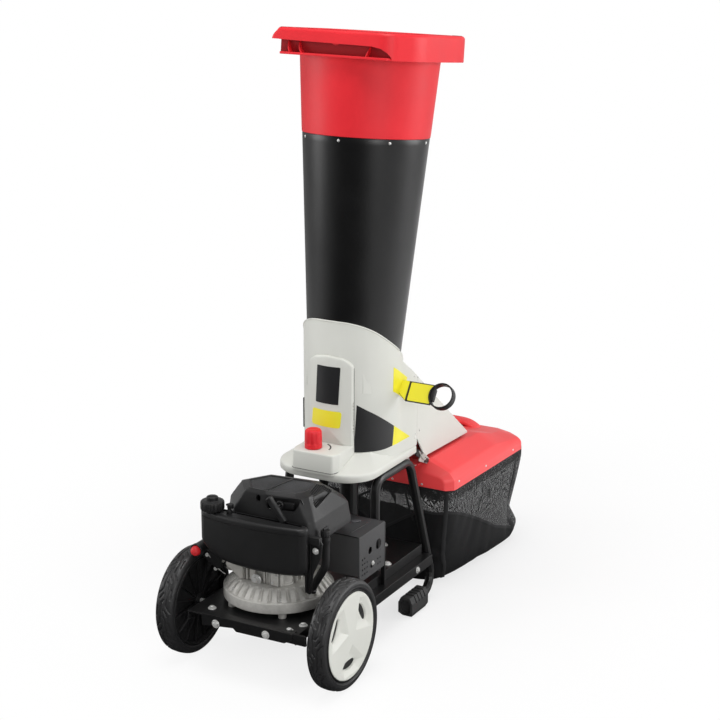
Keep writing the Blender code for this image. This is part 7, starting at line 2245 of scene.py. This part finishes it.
    def simulate(self, rest: Array) -> Array:
        """Let the cloth hang from its frame and settle on the ground.

        The walls' first row is pinned. The cloth is cut a little wider than its frame, so it
        folds, and gravity pulls it down to a floor that it can't pass.

        Args:
            rest: the walls' rows, then the floor's rings.

        Returns:
            The settled points in the same order.
        """
        surface = lofted(rest, caps=False)
        count = len(surface.points)
        surface.faces.append(list(range(count - self.columns, count)))
        mesh = bpy.data.meshes.new("cloth_cage")
        mesh.from_pydata(surface.points.tolist(), [], surface.faces)
        cage = bpy.data.objects.new("cloth_cage", mesh)
        ground = bpy.data.objects.new("cloth_ground", bpy.data.meshes.new("cloth_ground"))
        ground.data.from_pydata([(-2, -2, 0), (2, -2, 0), (2, 2, 0), (-2, 2, 0)], [], [(0, 1, 2, 3)])
        scene = bpy.context.scene
        for obj in (cage, ground):
            scene.collection.objects.link(obj)
        hold = cage.vertex_groups.new(name="hold")
        hold.add(list(range(self.columns)), 1.0, "REPLACE")
        hold.add(list(range(self.columns, 2 * self.columns)), 0.6, "REPLACE")
        ground.modifiers.new("collision", "COLLISION")
        ground.collision.thickness_outer = 0.002
        ground.collision.cloth_friction = 20.0
        cloth = cage.modifiers.new("cloth", "CLOTH")
        settings = cloth.settings
        settings.quality = 7
        settings.mass = 0.12
        settings.tension_stiffness = settings.compression_stiffness = 22.0
        settings.shear_stiffness = 9.0
        settings.bending_stiffness = 0.9
        settings.air_damping = 3.0
        settings.shrink_min = -self.slack
        settings.vertex_group_mass = "hold"
        cloth.collision_settings.distance_min = 0.002
        cloth.collision_settings.use_self_collision = False
        cloth.point_cache.frame_start, cloth.point_cache.frame_end = 1, self.frames
        for frame in range(1, self.frames + 1):
            scene.frame_set(frame)
        graph = bpy.context.evaluated_depsgraph_get()
        settled = cage.evaluated_get(graph).to_mesh()
        points = np.zeros(len(settled.vertices) * 3)
        settled.vertices.foreach_get("co", points)
        for obj in (cage, ground):
            bpy.data.objects.remove(obj)
        scene.frame_set(1)
        LOG.info("cloth settled in %d steps", self.frames)
        return points.reshape(rest.shape)

    def boundary(self, places: Array) -> Array:
        """Height of the seam between mesh and dense cloth, from each column's place in the plan."""
        x, y = places[:, 0], places[:, 1]
        side = np.interp(y, [0.55, 0.596, 0.678, 0.763, 0.959, 0.975], [0.218, 0.204, 0.166, 0.124, 0.024, 0.02])
        front = 0.15 + 0.066 * np.clip(np.abs(x) / 0.11, 0.0, 1.0)
        return np.where(y < 0.56, np.minimum(front, side), side)

    def read(self, grid: Array, row: Array, column: Array) -> Array:
        """Places on a grid at fractional rows and columns; the columns run on past the last."""
        r0 = np.clip(np.floor(row).astype(int), 0, len(grid) - 2)
        c0 = np.floor(column).astype(int)
        u, v = (row - r0)[..., None], (column - c0)[..., None]
        a, b = c0 % self.columns, (c0 + 1) % self.columns
        upper, lower = (grid[r, a] * (1 - v) + grid[r, b] * v for r in (r0, r0 + 1))
        return upper * (1 - u) + lower * u

    def out_of(self, grid: Array) -> Array:
        """Outward normals of the walls' grid."""
        down = np.gradient(grid, axis=0)
        along = np.roll(grid, -1, 1) - np.roll(grid, 1, 1)
        normal = np.cross(down, along)
        normal /= np.maximum(np.linalg.norm(normal, axis=2, keepdims=True), 1e-9)
        middle = grid.mean((0, 1))
        return normal if ((grid - middle) * normal).sum() > 0 else -normal

    def cloth(self, name: str, points: Array, flat: Array, finish: Finish, wrap: bool = True) -> Piece:
        """A sheet of cloth from a grid, whose map is cut open along the middle of its back.

        Args:
            name: the piece's name.
            points: rows of places.
            flat: rows of places on the flat cloth.
            finish: its finish.
            wrap: the rows' ends meet.

        Returns:
            The piece.
        """
        if wrap:
            points = np.concatenate([points, points[:, :1]], 1)
        rows, columns = points.shape[:2]
        surface = Surface(points.reshape(-1, 3), grid_faces(rows, columns), flat.reshape(-1, 2))
        return self.put(name, surface, finish, "bag", 180.0)

    def bag(self) -> None:
        """The bag: its cloth settled, then cut into mesh, dense walls and floor, with its tapes."""
        shares = np.linspace(1.0, 0.0, self.rows)
        walls = np.array([self.bag_ring(share) for share in shares])
        middle = walls[-1].mean(0)
        sizes = np.linspace(1.0, 0.06, self.floor_rows + 1)[1:]
        floor = np.array([middle + (walls[-1] - middle) * s for s in sizes])
        rest = np.concatenate([walls, floor])
        settled = self.simulate(rest)
        settled[..., 2] = np.maximum(settled[..., 2], 0.0015)
        grid = settled[:self.rows]
        steps = np.linalg.norm(np.diff(walls, axis=0), axis=2)
        fall = np.concatenate([np.zeros((1, self.columns)), np.cumsum(steps, 0)])
        around = np.linspace(0.0, self.girth, self.columns + 1)
        limit = self.boundary(walls[8])
        cut = np.array([np.interp(-limit[c], -walls[:, c, 2], np.arange(self.rows)) for c in range(self.columns)])
        column = np.broadcast_to(np.arange(self.columns, dtype=float), (self.cloth_rows, self.columns))
        share = np.linspace(0.0, 1.0, self.cloth_rows)[:, None]
        for name, row, finish in (("bag_mesh_walls", cut * share, MESH_CLOTH),
                                  ("bag_dense_walls", cut + (self.rows - 1 - cut) * share, DENSE_CLOTH)):
            places = self.read(grid, row, column)
            depth = self.read(np.repeat(fall[:, :, None], 3, 2), row, column)[..., 0]
            flat = np.stack([np.broadcast_to(around, (self.cloth_rows, self.columns + 1)),
                             np.concatenate([depth, depth[:, :1]], 1)], 2)
            obj = self.cloth(name, places, flat, finish)
        base = settled[self.rows - 1:]
        loops = np.concatenate([base, base[:, :1]], 1)
        flat_base = np.concatenate([rest[self.rows - 1:], rest[self.rows - 1:, :1]], 1)[..., :2]
        count = loops.shape[1]
        last = [[(len(loops) - 1) * count + k for k in range(self.columns)]]
        surface = Surface(loops.reshape(-1, 3), grid_faces(len(loops), count) + last, flat_base.reshape(-1, 2))
        bottom = self.put("bag_floor", surface, DENSE_CLOTH, "bag", 180.0)
        tapes = self.tapes(grid, cut)
        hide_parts("bag_body")

    def area(self, grid: Array) -> float:
        """Area of a grid whose rows close on themselves."""
        nxt = np.roll(grid, -1, 1)
        a, b, c, d = grid[:-1], nxt[:-1], nxt[1:], grid[1:]
        return 0.5 * np.linalg.norm(np.cross(c - a, d - b), axis=2).sum()

    def tapes(self, grid: Array, cut: Array) -> list:
        """Binding tapes along the corners, the seam and the top, and two crossed ones in front.

        Args:
            grid: the settled walls.
            cut: row of the seam in each column.

        Returns:
            The tapes' pieces.
        """
        normal = self.out_of(grid)
        n = self.columns
        ring = grid[6]
        strips = []

        def nearest(x: float, y: float) -> int:
            """The column of the walls that is nearest to a place in the plan."""
            return int(np.argmin(np.hypot(ring[:, 0] - x, ring[:, 1] - y)))

        def strip(rows: Array, columns: Array, width: float, lift: float) -> Surface:
            """A flat tape along a curve of fractional rows and columns."""
            line, out = self.read(grid, rows, columns), self.read(normal, rows, columns)
            ahead = np.gradient(line, axis=0)
            side = np.cross(out, ahead)
            side /= np.maximum(np.linalg.norm(side, axis=1, keepdims=True), 1e-9)
            parts = [line + side * width * k + out * (lift if abs(k) < 0.5 else 0.0003)
                     for k in (-0.5, -0.42, 0.0, 0.42, 0.5)]
            face = np.stack(parts, 1)
            return sheet(face, face - out[:, None, :] * 0.0004)
        rows = np.linspace(0.6, self.rows - 1.2, 70)
        corners = [nearest(side * half, y) for side in (-1, 1) for half, y in ((0.178, 0.925), (0.17, 0.552))]
        for c in corners:
            strips.append(strip(rows, np.full(70, float(c)), 0.012, 0.0011))
        full = np.linspace(0.0, n, n + 1)
        seam_rows = self.read(np.repeat(np.broadcast_to(cut, (2, n))[..., None], 3, 2), np.zeros(n + 1), full)[:, 0]
        strips.append(strip(seam_rows, full, 0.007, 0.001))
        strips.append(strip(np.full(n + 1, 1.0), full, 0.01, 0.0012))
        strips.append(strip(np.full(n + 1, self.rows - 1.6), full, 0.008, 0.001))
        front = nearest(0.0, 0.534)
        for start, end in ((front - 14.0, front + 3.0), (front + 10.0, front + 7.0)):
            rows = np.linspace(2.0, 15.0, 40)
            strips.append(strip(rows, np.linspace(end, start, 40), 0.006, 0.001))
        binding = self.put("bag_tapes", joined(*strips), TAPE, "bag", 50.0)
        rows = np.broadcast_to(np.linspace(1.0, 5.2, 8)[:, None], (8, n))
        columns = np.broadcast_to(np.arange(n, dtype=float), (8, n))
        band, out = (self.read(source, rows, columns) for source in (grid, normal))
        flat = np.stack(np.meshgrid(np.linspace(0.0, self.girth, n + 1) + 0.0006, np.linspace(0.0, 0.026, 8)), 2)
        hem = self.cloth("bag_top_band", band + out * 0.0009, flat, MESH_CLOTH)
        return [binding, hem]


# Studio

@dataclass
class Studio:
    """Pale floor, soft lamps and the camera.

    Attributes:
        shift: the machine's own origin in the frame.
        eye: the camera's place in the machine's own coordinates.
        azimuth: the camera looks along +Y turned by this towards -X, in degrees.
        pitch: how far the camera looks down, in degrees.
        focal_pixels: focal length in pixels of the photograph's frame.
        frame_pixels: width of the photograph's frame.
    """

    shift: Vector
    eye: tuple[float, float, float] = (1.98814, -3.15631, 1.825)
    azimuth: float = 28.989
    pitch: float = 16.499
    focal_pixels: float = 1812.2
    frame_pixels: float = 720.0

    def camera(self) -> None:
        """Place the camera at the photograph's viewing angle."""
        data = bpy.data.cameras.new("camera")
        data.sensor_fit = "HORIZONTAL"
        data.sensor_width = 36.0
        data.lens = data.sensor_width * self.focal_pixels / self.frame_pixels
        obj = bpy.data.objects.new("camera", data)
        obj.location = Vector(self.eye) + self.shift
        obj.rotation_euler = (math.radians(90.0 - self.pitch), 0.0, math.radians(self.azimuth))
        bpy.context.scene.collection.objects.link(obj)
        bpy.context.scene.camera = obj

    def floor(self) -> None:
        """A wide pale floor that looks almost white and keeps the machine's shadow."""
        material = bpy.data.materials.new("pale_floor")
        material.use_nodes = True
        tree = material.node_tree
        tree.nodes.clear()
        path = add_node(tree, "LightPath").outputs
        seen = path["Is Camera Ray"]
        place = add_node(tree, "TexCoord").outputs["Object"]
        mirrored = self.brightness(tree, place, (0.1, 1.1), 0.9, (0.5, 1.2), 0.6, 0.05)
        tone = blend_colour(tree, path["Is Glossy Ray"], rgba((0.86, 0.86, 0.86)), mirrored)
        lit = add_node(tree, "BsdfDiffuse", Color=tone)
        glow = add_node(tree, "Emission", Color=rgba((1.0, 1.0, 1.0)), Strength=1.0)
        away = add_node(tree, "VectorMath", {"operation": "DISTANCE"}, i0=place, i1=(0.0, 0.35, 0.0)).outputs["Value"]
        share = add_node(tree, "MapRange", {"interpolation_type": "SMOOTHSTEP"}, Value=away, From_Min=0.3, From_Max=1.3,
                         To_Min=0.7, To_Max=1.0).outputs[0]
        pale = add_node(tree, "MixShader", i0=add_maths(tree, "MULTIPLY", seen, share), i1=lit.outputs[0],
                        i2=glow.outputs[0])
        out = add_node(tree, "OutputMaterial")
        tree.links.new(pale.outputs[0], out.inputs["Surface"])
        mesh = bpy.data.meshes.new("floor")
        reach = 30.0
        mesh.from_pydata([(-reach, -reach, 0.0), (reach, -reach, 0.0), (reach, reach, 0.0), (-reach, reach, 0.0)],
                         [], [(0, 1, 2, 3)])
        mesh.materials.append(material)
        obj = bpy.data.objects.new("floor", mesh)
        obj.location.z = -0.0005
        bpy.context.scene.collection.objects.link(obj)

    def brightness(self, tree: NodeTree, place: NodeSocket, rear: tuple, rear_top: float, left: tuple,
                   left_top: float, base: float) -> NodeSocket:
        """How bright the room looks in a reflection: pale behind and at the left, dark in front.

        The place is measured along two directions, and each measure is eased from nothing to its
        own top between two limits; the two and the base are added.

        Args:
            tree: the node tree.
            place: a place on the floor, or a direction of the surround.
            rear: the two limits towards the machine's right rear.
            rear_top: brightness there.
            left: the two limits towards its left.
            left_top: brightness there.
            base: brightness elsewhere.

        Returns:
            The socket with the value.
        """
        total = base
        for way, (start, end), top in (((0.75, 0.66, 0.0), rear, rear_top), ((-0.95, 0.3, 0.0), left, left_top)):
            along = add_node(tree, "VectorMath", {"operation": "DOT_PRODUCT"}, i0=place, i1=way).outputs["Value"]
            eased = add_node(tree, "MapRange", {"interpolation_type": "SMOOTHSTEP"}, Value=along, From_Min=start,
                             From_Max=end, To_Min=0.0, To_Max=top).outputs[0]
            total = add_maths(tree, "ADD", eased, total)
        return total

    def lamp(self, name: str, place: Sequence, aim: Sequence, size: float, power: float) -> None:
        """Hang a square soft lamp that looks at a point.

        Args:
            name: the lamp's name.
            place: its place in the machine's own coordinates.
            aim: the point that it looks at.
            size: width of its panel.
            power: watts.
        """
        data = bpy.data.lights.new(name, "AREA")
        data.size = size
        data.energy = power
        obj = bpy.data.objects.new(name, data)
        obj.location = Vector(place) + self.shift
        direction = Vector(aim) - Vector(place)
        obj.rotation_euler = direction.to_track_quat("-Z", "Y").to_euler()
        bpy.context.scene.collection.objects.link(obj)

    def lights(self) -> None:
        """A big overhead panel, a panel at each side and a pale surround."""
        self.lamp("overhead_panel", (0.3, -0.4, 4.2), (0.0, 0.3, 0.4), 2.2, 88.0)
        self.lamp("right_rear_panel", (2.9, 2.3, 1.5), (0.0, 0.3, 0.7), 1.5, 50.0)
        self.lamp("right_front_panel", (3.3, -2.4, 2.0), (0.0, 0.2, 0.7), 1.5, 44.0)
        self.lamp("left_panel", (-3.0, -1.0, 1.5), (0.0, 0.2, 0.8), 1.5, 34.0)
        world = bpy.data.worlds.new("surround")
        bpy.context.scene.world = world
        world.use_nodes = True
        tree = world.node_tree
        tree.nodes.clear()
        path = add_node(tree, "LightPath").outputs
        way = add_node(tree, "TexCoord").outputs["Generated"]
        mirrored = self.brightness(tree, way, (0.0, 0.9), 0.75, (0.3, 0.9), 0.45, 0.08)
        change = add_maths(tree, "MULTIPLY", path["Is Glossy Ray"], add_maths(tree, "SUBTRACT", mirrored, 0.43))
        soft = add_maths(tree, "ADD", change, 0.43)
        strength = add_maths(tree, "MAXIMUM", soft, path["Is Camera Ray"])
        back = add_node(tree, "Background", Color=rgba((1.0, 1.0, 1.0)), Strength=strength)
        out = add_node(tree, "OutputWorld")
        tree.links.new(back.outputs[0], out.inputs["Surface"])

    def build(self) -> None:
        """Set up the whole studio."""
        self.camera()
        self.floor()
        self.lights()
        bpy.context.scene.view_settings.view_transform = "Standard"


def main() -> None:
    """Build the studio and every sub-assembly in order."""
    logging.basicConfig(level=logging.INFO, format="%(name)s: %(message)s")
    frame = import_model()
    machine = Machine.from_frame(frame)
    Studio(machine.shift).build()
    for assembly in (Chassis, Engine, CuttingHead, Hopper, Catcher):
        assembly(machine).build()
    bpy.context.view_layer.update()


if __name__ == "__main__":
    main()
